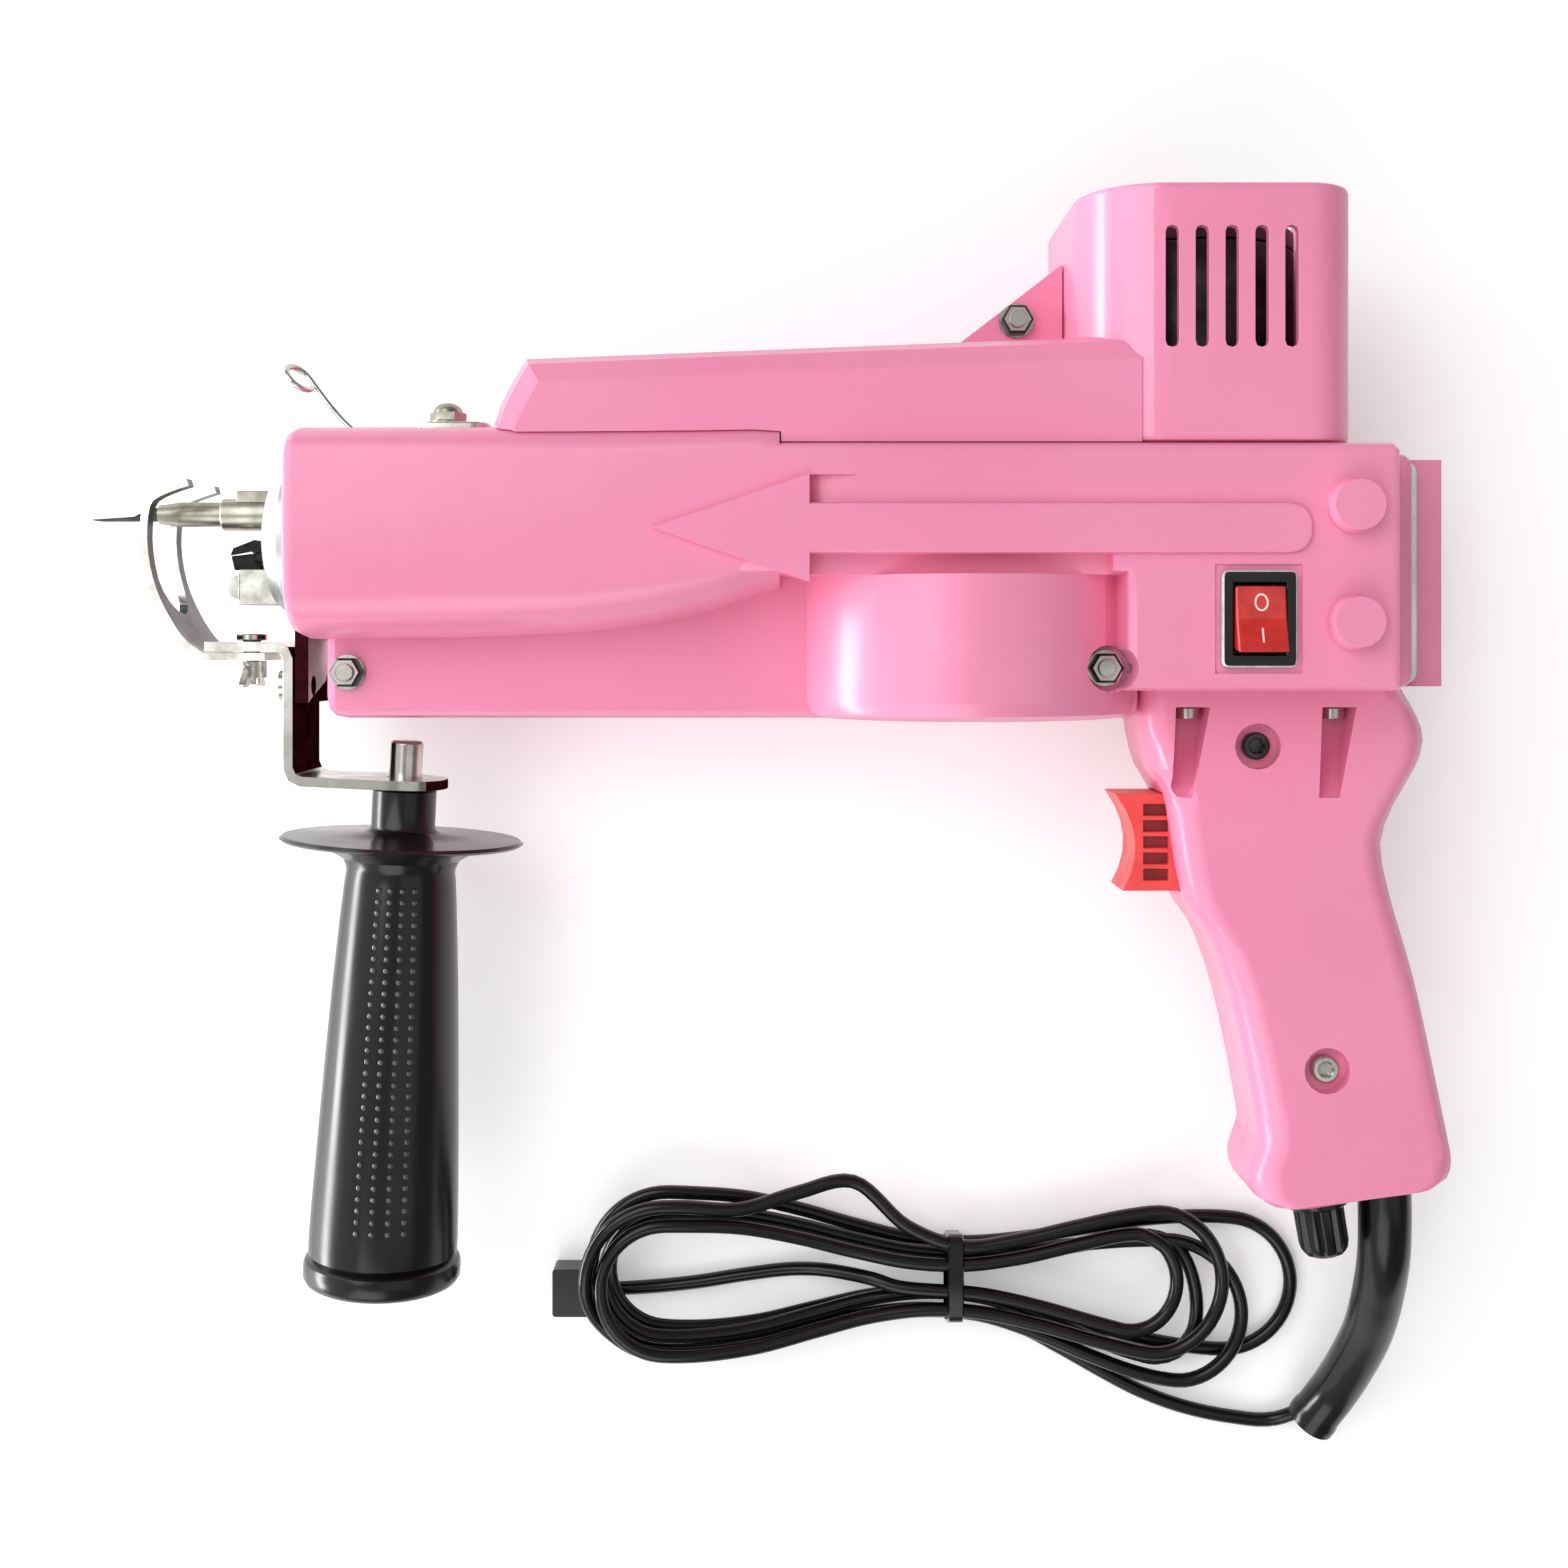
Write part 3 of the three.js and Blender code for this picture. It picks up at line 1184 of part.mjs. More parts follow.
// Hollow needle, its end cut long and slanting to a point below the bore
function needle() {
  const rear = -needleBarTipReach + needleGrip;
  const outer = bar('x', needleRadius, -needleTipReach, rear, 0, 0, coarseSides);
  const bore = bar('x', needleBoreRadius, -needleTipReach - overrun, rear + overrun, 0, 0);
  const cutEnd = -needleTipReach + needleCutLength;
  const slant = prism([
    [-needleTipReach - gap, -needleRadius + needlePointThickness, 0],
    [cutEnd, -needleBoreRadius / 2, 0],
    [cutEnd + needleCutLength / 2, needleRadius + gap, 0],
    [-needleTipReach - gap, needleRadius + gap, 0],
  ], -2 * needleRadius, 2 * needleRadius);
  const point = prism([
    [-needleTipReach - gap, -needleRadius - gap, 0],
    [-needleTipReach + needleCutLength / 2, -needleRadius - gap, 0],
    [-needleTipReach, -needleRadius + needlePointThickness / 2, 0],
  ], -2 * needleRadius, 2 * needleRadius);
  return cut(outer, bore, slant, point);
}
addPiece('needle', needle(), zincSteel);

// Front head: a domed flange with a spigot in the barrel, a lug for the strap and bores for both bars
function frontHead() {
  const seat = noseReach + gap;
  const profile = [
    [0, headReach], [headCrownRadius, headReach], [headCrownRadius + (headRadius - headCrownRadius) * 0.55, headReach - headCrownDepth * 0.3],
    [headRadius, headReach - headCrownDepth], [headRadius, seat], [headSpigotRadius, seat],
    [headSpigotRadius, headSpigotEnd], [0, headSpigotEnd],
  ];
  const points = profile.map(([radius, reach]) => new THREE.Vector2(radius, reach));
  const geometry = new THREE.LatheGeometry(points, fineSides);
  geometry.rotateZ(Math.PI / 2).translate(0, headY, 0);
  const lugRear = -seat;
  const lug = block(lugRear - headLugThickness, lugRear, -headLugDrop, headY, -headLugHalfDepth, headLugHalfDepth);
  const needleBore = bar('x', bushRadius + gap, -headReach - overrun, -headReach + bushLength, 0, 0);
  const barBore = bar('x', needleBarRadius + gap, -headReach - overrun, -headSpigotEnd + overrun, 0, 0);
  const scissorBore = bar('x', scissorBarRadius + gap, -headReach - overrun, -headSpigotEnd + overrun, -scissorDrop, 0);
  const pocket = block(-headReach - overrun, -scissorBlockRear + gap, -scissorDrop - scissorBlockHalfHeight - gap,
    -scissorDrop + scissorBlockHalfHeight + gap, -scissorBlockHalfDepth - gap, scissorBlockHalfDepth + gap);
  const screwBores = [-1, 1].map((side) => (
    bar('x', bracketScrewRadius + gap, lugRear - headLugThickness - overrun, lugRear + overrun, -bracketScrewDrop,
      side * bracketScrewSpread)
  ));
  const lugClear = block(-headReach - overrun, lugRear - headLugThickness, -headLugDrop, headY - headRadius,
    -headRadius, headRadius);
  const body = cut(solidOf(geometry), lugClear).add(lug);
  return cut(body, needleBore, barBore, scissorBore, pocket, ...screwBores);
}
addPiece('front_head', frontHead(), castAluminium);

// Needle bush with its clamping lug on top
function needleBush() {
  const rear = -headReach + bushLength - gap;
  const sleeve = bar('x', bushRadius, -bushReach, rear, 0, 0);
  const lugFront = -bushReach + (bushReach - headReach) * bushLugFrontShare;
  const lug = block(lugFront, -headReach - gap, 0, bushLugHeight, -bushLugHalfDepth, bushLugHalfDepth);
  return cut(sleeve.add(lug), bar('x', needleBarRadius + gap, -bushReach - overrun, rear + overrun, 0, 0));
}
addPiece('needle_bush', needleBush(), satinSteel);

// Scissor bar, its clamp block and the two blades
const scissorBarFront = -scissorBlockRear - scissorBarSeat;
addPiece('scissor_bar', bar('x', scissorBarRadius, scissorBarFront, scissorBarFront + scissorBarLength, -scissorDrop, 0), satinSteel);
function scissorBlock() {
  const body = block(-scissorBlockFront, -scissorBlockRear, -scissorDrop - scissorBlockHalfHeight,
    -scissorDrop + scissorBlockHalfHeight, -scissorBlockHalfDepth, scissorBlockHalfDepth);
  const lug = bar('z', scissorLugRadius, -scissorLugDepth, scissorLugDepth, -scissorBlockFront, -scissorDrop);
  const barHole = bar('x', scissorBarRadius + gap, scissorBarFront - gap, -scissorBlockRear + overrun,
    -scissorDrop, 0);
  const top = -scissorDrop + scissorBlockHalfHeight;
  const bladeSlot = block(-scissorBlockFront - 2 * scissorLugRadius, -scissorBlockRear + overrun, top - 2 * bladeThickness,
    top + overrun, -bladeThickness - 2 * gap, gap);
  return cut(body.add(lug), barHole, bladeSlot);
}
addPiece('scissor_block', scissorBlock(), satinSteel);

function bladeOutline(shares) {
  return shares.map(([along, up]) => [bladePivotX + along * bladeLength, -bladePivotDrop + up * bladeLength, 0]);
}
function lowerBlade() {
  const jaw = prism(bladeOutline(lowerJawShares), -bladeThickness - gap, -gap);
  const eye = bar('z', bladeEyeRadius, -bladeThickness - gap, -gap, bladePivotX, -bladePivotDrop);
  const stemTop = -bladePivotDrop;
  const stemLow = -scissorDrop + scissorBlockHalfHeight - 2 * bladeThickness + gap;
  const stem = block(bladePivotX - bladeEyeRadius, bladePivotX + bladeEyeRadius, stemLow, stemTop,
    -bladeThickness - gap, -gap);
  const rivet = bar('z', bladePivotRadius, -bladeThickness - gap, bladeThickness + 2 * gap, bladePivotX, -bladePivotDrop);
  return joined(jaw, eye, stem, rivet);
}
function upperBlade() {
  const jaw = prism(bladeOutline(upperJawShares), 0, bladeThickness);
  const eye = bar('z', bladeEyeRadius, 0, bladeThickness, bladePivotX, -bladePivotDrop);
  const hole = bar('z', bladePivotRadius + gap, -overrun, bladeThickness + overrun, bladePivotX, -bladePivotDrop);
  return cut(jaw.add(eye), hole);
}
addPiece('lower_blade', lowerBlade(), blackOxide);
addPiece('upper_blade', upperBlade(), blackOxide);

// Strap bracket: one steel strip bent from the presser foot's shelf down to the handle plate
const strapTilt = THREE.MathUtils.degToRad(strapFootTilt);
const plateCentreY = -strapFootTopDrop - strapThickness / 2;
const handlePlateY = plateCentreY - handleDistance * Math.tan(strapTilt);
function strapBracket() {
  const shelfY = -strapTopDrop - strapThickness / 2;
  const endX = strapMiddleX + strapFootLength * Math.cos(strapTilt);
  const endY = plateCentreY - strapFootLength * Math.sin(strapTilt);
  const bend = strapBendRadius;
  const line = [
    [-strapTopReach, shelfY], [strapMiddleX - bend, shelfY], [strapMiddleX - bend * 0.3, shelfY - bend * 0.3],
    [strapMiddleX, shelfY - bend], [strapMiddleX, plateCentreY + bend],
    [strapMiddleX + bend * 0.3, plateCentreY + bend * 0.3], [strapMiddleX + bend, plateCentreY - bend * Math.tan(strapTilt)],
    [endX, endY],
  ];
  const strip = prism(stripOutline(line, strapThickness), -strapWidth / 2, strapWidth / 2);
  const half = strapWidth / 2;
  const plan = uprightPrism([
    [-strapTopReach - overrun, -half, 0],
    [endX, -half, half],
    [endX, half, half],
    [-strapTopReach - overrun, half, 0],
  ], -strapFootTopDrop - 2 * half, 0, 0, 6);
  const studHole = bar('y', studRadius + gap, -strapFootTopDrop - half, -strapFootTopDrop + half, handleX, 0);
  const slotHole = bar('y', footScrewRadius + gap, shelfY - overrun, shelfY + overrun, -footScrewReach, 0);
  const screwHoles = [-1, 1].map((side) => (
    bar('x', bracketScrewRadius + gap, strapMiddleX - overrun, strapMiddleX + overrun, -bracketScrewDrop,
      side * bracketScrewSpread)
  ));
  return cut(strip.intersect(plan), studHole, slotHole, ...screwHoles);
}
addPiece('strap_bracket', strapBracket(), zincSteel);

[-1, 1].forEach((side, i) => {
  const faceX = -strapFaceReach - gap;
  const head = bar('x', bracketScrewHeadRadius, faceX - bracketScrewHeadHeight, faceX, -bracketScrewDrop,
    side * bracketScrewSpread);
  const shank = bar('x', bracketScrewRadius, faceX - gap, faceX + bracketScrewLength, -bracketScrewDrop,
    side * bracketScrewSpread);
  addPiece(`bracket_screw_${i + 1}`, head.add(shank), zincSteel);
});

// Side handle on its stud, square to the tilted plate
const handleSet = new THREE.Group();
handleSet.position.set(handleX, handlePlateY, 0);
handleSet.rotation.z = -strapTilt;
machine.add(handleSet);

function sideHandle() {
  const top = -strapThickness / 2 - gap;
  const flangeTop = top - handleNeckLength;
  const flangeLow = flangeTop - handleFlangeDepth;
  const rimTop = top - handleLength + handleRimHeight;
  const end = top - handleLength;
  const profile = [
    [0, top], [handleNeckRadius, top], [handleNeckRadius, flangeTop + handleFlangeEdge],
    [handleNeckRadius + handleFlangeEdge, flangeTop], [handleFlangeRadius, flangeTop - handleFlangeEdge],
    [handleFlangeRadius, flangeTop - 2 * handleFlangeEdge], [handleTopRadius + handleFlangeDepth, flangeLow],
    [handleTopRadius, flangeLow - handleFlangeDepth], [(handleTopRadius + handleEndRadius) / 2, (flangeLow + rimTop) / 2],
    [handleEndRadius, rimTop + handleGroove], [handleEndRadius - handleGroove, rimTop],
    [handleRimRadius, rimTop - handleGroove], [handleRimRadius, end + 2 * handleGroove],
    [handleRimRadius - 2 * handleGroove, end], [0, end],
  ];
  const bore = bar('y', studRadius + gap, top - studDepth - gap, top + overrun, 0, 0);
  return cut(turned(profile, fineSides), bore);
}
addPiece('side_handle', sideHandle(), blackRubber, handleSet);
const studTop = strapThickness / 2 + studProud;
const studEnd = joined(
  bar('y', studRadius, -strapThickness / 2 - studDepth, studTop - 2 * gap, 0, 0),
  bar('y', studRadius, studTop - 2 * gap, studTop, 0, 0, coarseSides, studRadius - 2 * gap),
);
addPiece('handle_stud', studEnd, zincSteel, handleSet);

// Presser foot: a bent strip with a slot that the needle passes through
function presserFoot() {
  const baseY = -strapTopDrop - strapThickness - gap - footThickness / 2;
  const bendX = -strapTopReach - footThickness / 2 - gap;
  const curve = footCurveShares.map(([along, up]) => (
    new THREE.Vector2(bendX + along * footReachBack, baseY + up * footRise)
  ));
  const smooth = new THREE.SplineCurve(curve).getPoints(footCurveSteps);
  const line = [[-footBaseRear, baseY], ...smooth.map((point) => [point.x, point.y])];
  const strip = prism(stripOutline(line, footThickness), -footHalfWidth, footHalfWidth);
  const slotTop = baseY + footRise + overrun;
  const slotFront = bendX - footReachBack - overrun;
  const slot = joined(
    block(slotFront, bendX, -footSlotDrop, slotTop, -footSlotHalfWidth, footSlotHalfWidth),
    bar('x', footSlotHalfWidth, slotFront, bendX, -footSlotDrop, 0),
    block(slotFront, bendX + footReachBack, 0, slotTop, -footSlotHalfWidth, footSlotHalfWidth),
  );
  const screwHalf = footScrewRadius + gap;
  const screwSlot = joined(
    block(-footScrewReach, -footScrewReach + footTravel, baseY - overrun, baseY + overrun, -screwHalf, screwHalf),
    bar('y', screwHalf, baseY - overrun, baseY + overrun, -footScrewReach, 0),
    bar('y', screwHalf, baseY - overrun, baseY + overrun, -footScrewReach + footTravel, 0),
  );
  return cut(strip, slot, screwSlot);
}
addPiece('presser_foot', presserFoot(), darkSteel);

const footUnder = -strapTopDrop - strapThickness - gap - footThickness - gap;
function footScrew() {
  const headLow = -strapTopDrop + gap;
  const head = bar('y', footScrewHeadRadius, headLow, headLow + footScrewHeadHeight, -footScrewReach, 0);
  const shank = bar('y', footScrewRadius, footUnder - wingHubHeight - footScrewHeadHeight, headLow + gap, -footScrewReach, 0);
  return head.add(shank);
}
addPiece('foot_screw', footScrew(), zincSteel);

// Wing nut: a round hub and two upswept wings
function wingNut() {
  const hub = bar('y', wingHubRadius, footUnder - wingHubHeight, footUnder, -footScrewReach, 0);
  const wings = [-1, 1].map((side) => {
    const geometry = new THREE.ExtrudeGeometry(roundedShape([
      [side * wingHubRadius / 2, 0, 0],
      [side * wingSpan * 0.62, -wingHeight * 0.42, 0],
      [side * wingSpan, -wingHeight, wingThickness],
      [side * wingSpan * 0.6, -wingHeight, wingThickness],
      [side * wingHubRadius / 2, -wingHubHeight * 0.86, 0],
    ]), { depth: wingThickness, bevelEnabled: false });
    geometry.translate(0, 0, -wingThickness / 2);
    geometry.rotateY(Math.PI / 2).translate(-footScrewReach, footUnder, 0);
    return solidOf(geometry);
  });
  const hole = bar('y', footScrewRadius + gap, footUnder - wingHeight - overrun, footUnder + overrun, -footScrewReach, 0);
  return cut(joined(hub, ...wings), hole);
}
addPiece('foot_wing_nut', wingNut(), zincSteel);

// Yarn guide: a wire held under a plate on the barrel, ending in an open eye
const guideTopY = podTopRise + gap;
const guideWireY = guideTopY + guideWireRadius;
function yarnGuide() {
  const slope = THREE.MathUtils.degToRad(guideWireSlope);
  const lean = THREE.MathUtils.degToRad(guideEyeLean);
  const along = new THREE.Vector3(Math.cos(slope), Math.sin(slope), 0);
  const aside = new THREE.Vector3(-along.y * Math.sin(lean), along.x * Math.sin(lean), Math.cos(lean));
  const bend = new THREE.Vector3(guideWireBendX, guideWireY, 0);
  const centre = bend.clone().addScaledVector(along, guideWireRun).addScaledVector(aside, guideEyeRadius);
  const points = [[-guidePlateFront - gap, guideWireY, 0], bend.toArray()];
  for (let step = 0; step <= guideEyeSteps; step += 1) {
    const turn = -Math.PI / 2 + (THREE.MathUtils.degToRad(guideEyeTurn) * step) / guideEyeSteps;
    const place = centre.clone().addScaledVector(along, Math.cos(turn) * guideEyeRadius);
    points.push(place.addScaledVector(aside, Math.sin(turn) * guideEyeRadius).toArray());
  }
  return tube(points, guideWireRadius, wireSides, guideWireSteps);
}
addPiece('yarn_guide', yarnGuide(), zincSteel);
const platePlan = [
  [-guidePlateFront, -guidePlateHalfDepth, guidePlateHalfDepth / 2],
  [-guidePlateRear, -guidePlateHalfDepth, guidePlateHalfDepth / 2],
  [-guidePlateRear, guidePlateHalfDepth, guidePlateHalfDepth / 2],
  [-guidePlateFront, guidePlateHalfDepth, guidePlateHalfDepth / 2],
];
const guidePlateTop = guideTopY + guidePlateThickness;
addPiece('guide_plate', uprightPrism(platePlan, guideTopY, guidePlateTop), zincSteel);
addPiece('guide_nut', bar('y', guideNutRadius, guidePlateTop + gap, guidePlateTop + gap + guideNutHeight, guideNutX, 0, 6), zincSteel);

// Grip halves
const triggerSpaceTop = -triggerTopDrop + gap;
const triggerSpaceLow = -triggerBottomDrop - gap;
const knobTurn = THREE.MathUtils.degToRad(knobTilt);
const knobSet = new THREE.Group();
knobSet.position.set(knobX, knobY, 0);
knobSet.rotation.z = knobTurn;
machine.add(knobSet);
const knobPlace = new THREE.Matrix4().compose(
  knobSet.position, new THREE.Quaternion().setFromEuler(knobSet.rotation), new THREE.Vector3(1, 1, 1),
);

// The whole grip as rounded sections from its top to its foot, each wall moved in by one margin.
function gripLoft(margin) {
  const radius = gripEdgeRound - margin;
  const edge = (first) => new THREE.SplineCurve(gripStationShares.map((station) => new THREE.Vector2(
    gripX + station[first] * gripLength, -gripTopDrop - station[first + 1] * gripLength,
  ))).getPoints((gripStationShares.length - 1) * (margin > 0 ? 1 : gripStepsPerStation));
  const backs = edge(2);
  const rings = edge(0).map((front, i) => {
    const back = backs[i];
    const isFoot = i === backs.length - 1;
    const halfDepth = gripHalfDepth * (isFoot ? gripFootDepthShare : 1) - margin;
    const halfWidth = front.distanceTo(back) / 2 - margin;
    const centre = front.clone().add(back).divideScalar(2);
    const along = back.clone().sub(front).normalize();
    const upward = i === 0 ? -margin : 0;
    const lift = isFoot ? margin : upward;
    const ring = [];
    [[1, 1], [-1, 1], [-1, -1], [1, -1]].forEach(([width, depth], corner) => {
      for (let step = 0; step <= gripSectionSteps; step += 1) {
        const turn = (Math.PI / 2) * (corner + step / gripSectionSteps);
        const across = width * (halfWidth - radius) + Math.cos(turn) * radius;
        const z = depth * (halfDepth - radius) + Math.sin(turn) * radius;
        ring.push(new THREE.Vector3(centre.x + along.x * across, centre.y + along.y * across + lift, z));
      }
    });
    return ring;
  });
  return solidOf(loftGeometry(rings));
}

// An open gouge under a mount screw: round-bottomed, narrowing and running out to the grip's face.
function pocketGouge(x, margin) {
  const rings = [];
  const outside = gripHalfDepth + overrun + margin;
  for (let step = 0; step <= pocketSteps; step += 1) {
    const share = step / pocketSteps;
    const halfWidth = pocketHalfWidth * (1 - share * (1 - pocketToeShare)) + margin;
    const ramp = (outside - halfWidth - overrun - pocketFloorDepth) * share ** pocketRampPower;
    const floor = pocketFloorDepth - margin + ramp;
    const middle = x - pocketLean * share;
    const y = -pocketTopDrop + margin - share * (pocketDrop + 2 * margin);
    const ring = [new THREE.Vector3(middle + halfWidth, y, outside)];
    for (let turn = 0; turn <= pocketSteps; turn += 1) {
      const angle = (Math.PI * turn) / pocketSteps;
      ring.push(new THREE.Vector3(middle + Math.cos(angle) * halfWidth, y, floor + halfWidth - Math.sin(angle) * halfWidth));
    }
    ring.push(new THREE.Vector3(middle - halfWidth, y, outside));
    rings.push(ring);
  }
  return solidOf(loftGeometry(rings));
}

function gripSolid(side) {
  let grip = cut(gripLoft(0), gripLoft(gripWall));
  const screwPlaces = [[gripScrewUpperX, -gripScrewUpperDrop], [gripScrewLowerX, -gripScrewLowerDrop]];
  const farEnd = side * (gripHalfDepth - gripWall / 2);
  const postLow = Math.min(side * gap / 2, farEnd);
  const postHigh = Math.max(side * gap / 2, farEnd);
  screwPlaces.forEach(([x, y]) => {
    const postRadius = side > 0 ? gripScrewRecessRadius + gripWall / 2 : gripPostRadius;
    const low = side > 0 ? gripHalfDepth - gripScrewRecessDepth - gripWall : postLow;
    grip = grip.add(bar('z', postRadius, low, postHigh, x, y));
    grip = grip.subtract(bar('z', gripScrewRadius + gap, -gripHalfDepth + gripWall, gripHalfDepth + overrun, x, y));
    if (side > 0) {
      grip = grip.subtract(bar('z', gripScrewRecessRadius, gripHalfDepth - gripScrewRecessDepth,
        gripHalfDepth + overrun, x, y));
    }
  });
  if (side > 0) {
    const lining = gripLoft(gripWall / 2);
    mountScrewPlaces.forEach((x) => {
      grip = grip.add(pocketGouge(x, gripWall / 2).intersect(lining));
      grip = grip.subtract(pocketGouge(x, 0));
      grip = grip.subtract(bar('y', mountScrewRadius + gap, -pocketTopDrop - overrun, -rearBottomDrop + overrun,
        x, pocketScrewDepth));
    });
  }
  const triggerSpace = block(gripX - 2 * overrun, triggerRear + triggerTravel + gap, triggerSpaceLow,
    triggerSpaceTop, -triggerHalfDepth - gap, triggerHalfDepth + gap);
  const bootSpace = bar('y', bootDiameter / 2 + gap, bootPoints[0][1] - gripWall * 2, bootPoints[0][1] + gripWall * 2,
    bootPoints[0][0], 0);
  const knobHole = solidOf(new THREE.CylinderGeometry(knobShaftRadius + gap, knobShaftRadius + gap, 4 * overrun, coarseSides)
    .applyMatrix4(knobPlace));
  const otherSide = side > 0
    ? block(0, rightRearReach + overrun, -flangeBottomDrop * 4, 0, -gripHalfDepth - overrun, gap / 2)
    : block(0, rightRearReach + overrun, -flangeBottomDrop * 4, 0, -gap / 2, gripHalfDepth + overrun);
  return cut(grip, gearBulge(-gap), triggerSpace, bootSpace, knobHole, otherSide);
}
addPiece('left_grip', gripSolid(1), pinkPlastic);
addPiece('right_grip', gripSolid(-1), pinkPlastic);

[[gripScrewUpperX, -gripScrewUpperDrop], [gripScrewLowerX, -gripScrewLowerDrop]].forEach(([x, y], i) => {
  const seat = gripHalfDepth - gripScrewRecessDepth + gap;
  const head = bar('z', gripScrewHeadRadius, seat, seat + gripScrewHeadHeight, x, y);
  const shank = bar('z', gripScrewRadius, -gripHalfDepth + gripWall + gap, seat + gap, x, y);
  addPiece(`grip_screw_${i + 1}`, head.add(shank), blackOxide);
});

mountScrewPlaces.forEach((x, i) => {
  const seat = -pocketTopDrop - gap;
  const head = bar('y', mountScrewHeadRadius, seat - mountScrewHeadHeight, seat, x, pocketScrewDepth);
  const shank = bar('y', mountScrewRadius, seat - gap, seat + mountScrewLength, x, pocketScrewDepth);
  addPiece(`mount_screw_${i + 1}`, head.add(shank), zincSteel);
});

// Trigger with its hollowed front and the dark slots on its sides
function trigger() {
  const middleY = -(triggerTopDrop + triggerBottomDrop) / 2;
  const deepest = Math.max(triggerFrontTop, triggerFrontBottom) + triggerHollow;
  const hollow = new THREE.QuadraticBezierCurve(
    new THREE.Vector2(triggerFrontTop, -triggerTopDrop), new THREE.Vector2(deepest + triggerHollow, middleY),
    new THREE.Vector2(triggerFrontBottom, -triggerBottomDrop),
  );
  const outline = [
    ...hollow.getPoints(triggerHollowSteps).map((point) => [point.x, point.y, 0]),
    [triggerRear, -triggerBottomDrop, 0],
    [triggerRear, -triggerTopDrop, 0],
  ];
  let body = prism(outline, -triggerHalfDepth, triggerHalfDepth);
  const pitch = (triggerBottomDrop - triggerTopDrop) / (triggerSlotCount + 1);
  for (let i = 1; i <= triggerSlotCount; i += 1) {
    const y = -triggerTopDrop - i * pitch;
    [-1, 1].forEach((side) => {
      const outer = side * (triggerHalfDepth + overrun);
      const inner = side * (triggerHalfDepth - triggerSlotDepth);
      body = body.subtract(block(triggerSlotFront, triggerSlotRear, y - triggerSlotHeight / 2, y + triggerSlotHeight / 2,
        Math.min(outer, inner), Math.max(outer, inner)));
    });
  }
  const springSeat = bar('x', springRadius + springWireRadius + gap, triggerRear - springSeatDepth, triggerRear + overrun, middleY, 0);
  return body.subtract(springSeat);
}
addPiece('trigger', trigger(), redPlastic);

const switchFront = triggerRear - springSeatDepth + springLength + 2 * gap;
const triggerMiddleY = -(triggerTopDrop + triggerBottomDrop) / 2;
addPiece('trigger_switch', block(switchFront, switchFront + switchLength, triggerSpaceLow + switchMargin,
  triggerSpaceTop - switchMargin, -switchHalfDepth, switchHalfDepth), blackPlastic);

// Trigger spring: one wire wound in curls between the trigger and the switch
function coilSpring() {
  const points = [];
  const steps = springTurns * 8;
  for (let step = 0; step <= steps; step += 1) {
    const turn = (2 * Math.PI * step) / 8;
    const x = springWireRadius + ((springLength - 2 * springWireRadius) * step) / steps;
    points.push(new THREE.Vector3(x, Math.cos(turn) * springRadius, Math.sin(turn) * springRadius));
  }
  return solidOf(loftGeometry(wireRings(points, springWireRadius, 5)));
}
const springPiece = addPiece('trigger_spring', coilSpring(), zincSteel);
springPiece.position.set(triggerRear - springSeatDepth + gap, triggerMiddleY, 0);

// Speed potentiometer in the grip and the fluted knob under it
const potLow = gripWall + 4 * gap;
addPiece('speed_pot', joined(
  bar('y', potRadius, potLow, potLow + potHeight, 0, 0),
  bar('y', knobShaftRadius, -knobFlangeThickness - 2 * overrun, potLow + gap, 0, 0),
), zincSteel, knobSet);
function speedKnob() {
  const top = -2 * gap;
  const flange = bar('y', knobFlangeRadius, top - knobFlangeThickness, top, 0, 0);
  const low = top - knobLength - knobFlangeThickness;
  const body = bar('y', knobRadius - gap, low, top - gap, 0, 0, coarseSides, knobRadius);
  const flutes = [];
  for (let i = 0; i < knobFluteCount; i += 1) {
    const turn = (2 * Math.PI * i) / knobFluteCount;
    flutes.push(bar('y', knobFluteRadius, low - overrun, top - knobFlangeThickness, Math.cos(turn) * (knobRadius + gap),
      Math.sin(turn) * (knobRadius + gap), 6));
  }
  const bore = bar('y', knobShaftRadius + gap, -knobFlangeThickness - 2 * overrun - gap, overrun, 0, 0);
  return cut(cut(body, ...flutes).add(flange), bore);
}
addPiece('speed_knob', speedKnob(), blackPlastic, knobSet);

// Rocker switch in the left cover
function rockerHousing() {
  const seat = faceHalfDepth - rockerRecessDepth + gap;
  const halfWidth = rockerWidth / 2;
  const halfHeight = rockerHeight / 2;
  const flange = prism([
    [rockerX - halfWidth, -rockerDrop - halfHeight, rockerBodyInset],
    [rockerX + halfWidth, -rockerDrop - halfHeight, rockerBodyInset],
    [rockerX + halfWidth, -rockerDrop + halfHeight, rockerBodyInset],
    [rockerX - halfWidth, -rockerDrop + halfHeight, rockerBodyInset],
  ], seat, seat + rockerFlange);
  const body = block(rockerX - halfWidth + rockerBodyInset, rockerX + halfWidth - rockerBodyInset,
    -rockerDrop - halfHeight + rockerBodyInset, -rockerDrop + halfHeight - rockerBodyInset,
    seat - rockerBodyDepth, seat + rockerFlange / 2);
  const well = block(rockerX - paddleWidth / 2 - gap, rockerX + paddleWidth / 2 + gap, -rockerDrop - paddleHeight / 2 - gap,
    -rockerDrop + paddleHeight / 2 + gap, seat + rockerFlange - paddleDepth - 2 * gap, seat + rockerFlange + overrun);
  const basin = bar('x', paddleHeight / 2 + gap, rockerX - paddleWidth / 2 - gap, rockerX + paddleWidth / 2 + gap,
    -rockerDrop, seat + rockerFlange, coarseSides);
  return cut(flange.add(body), well, basin);
}
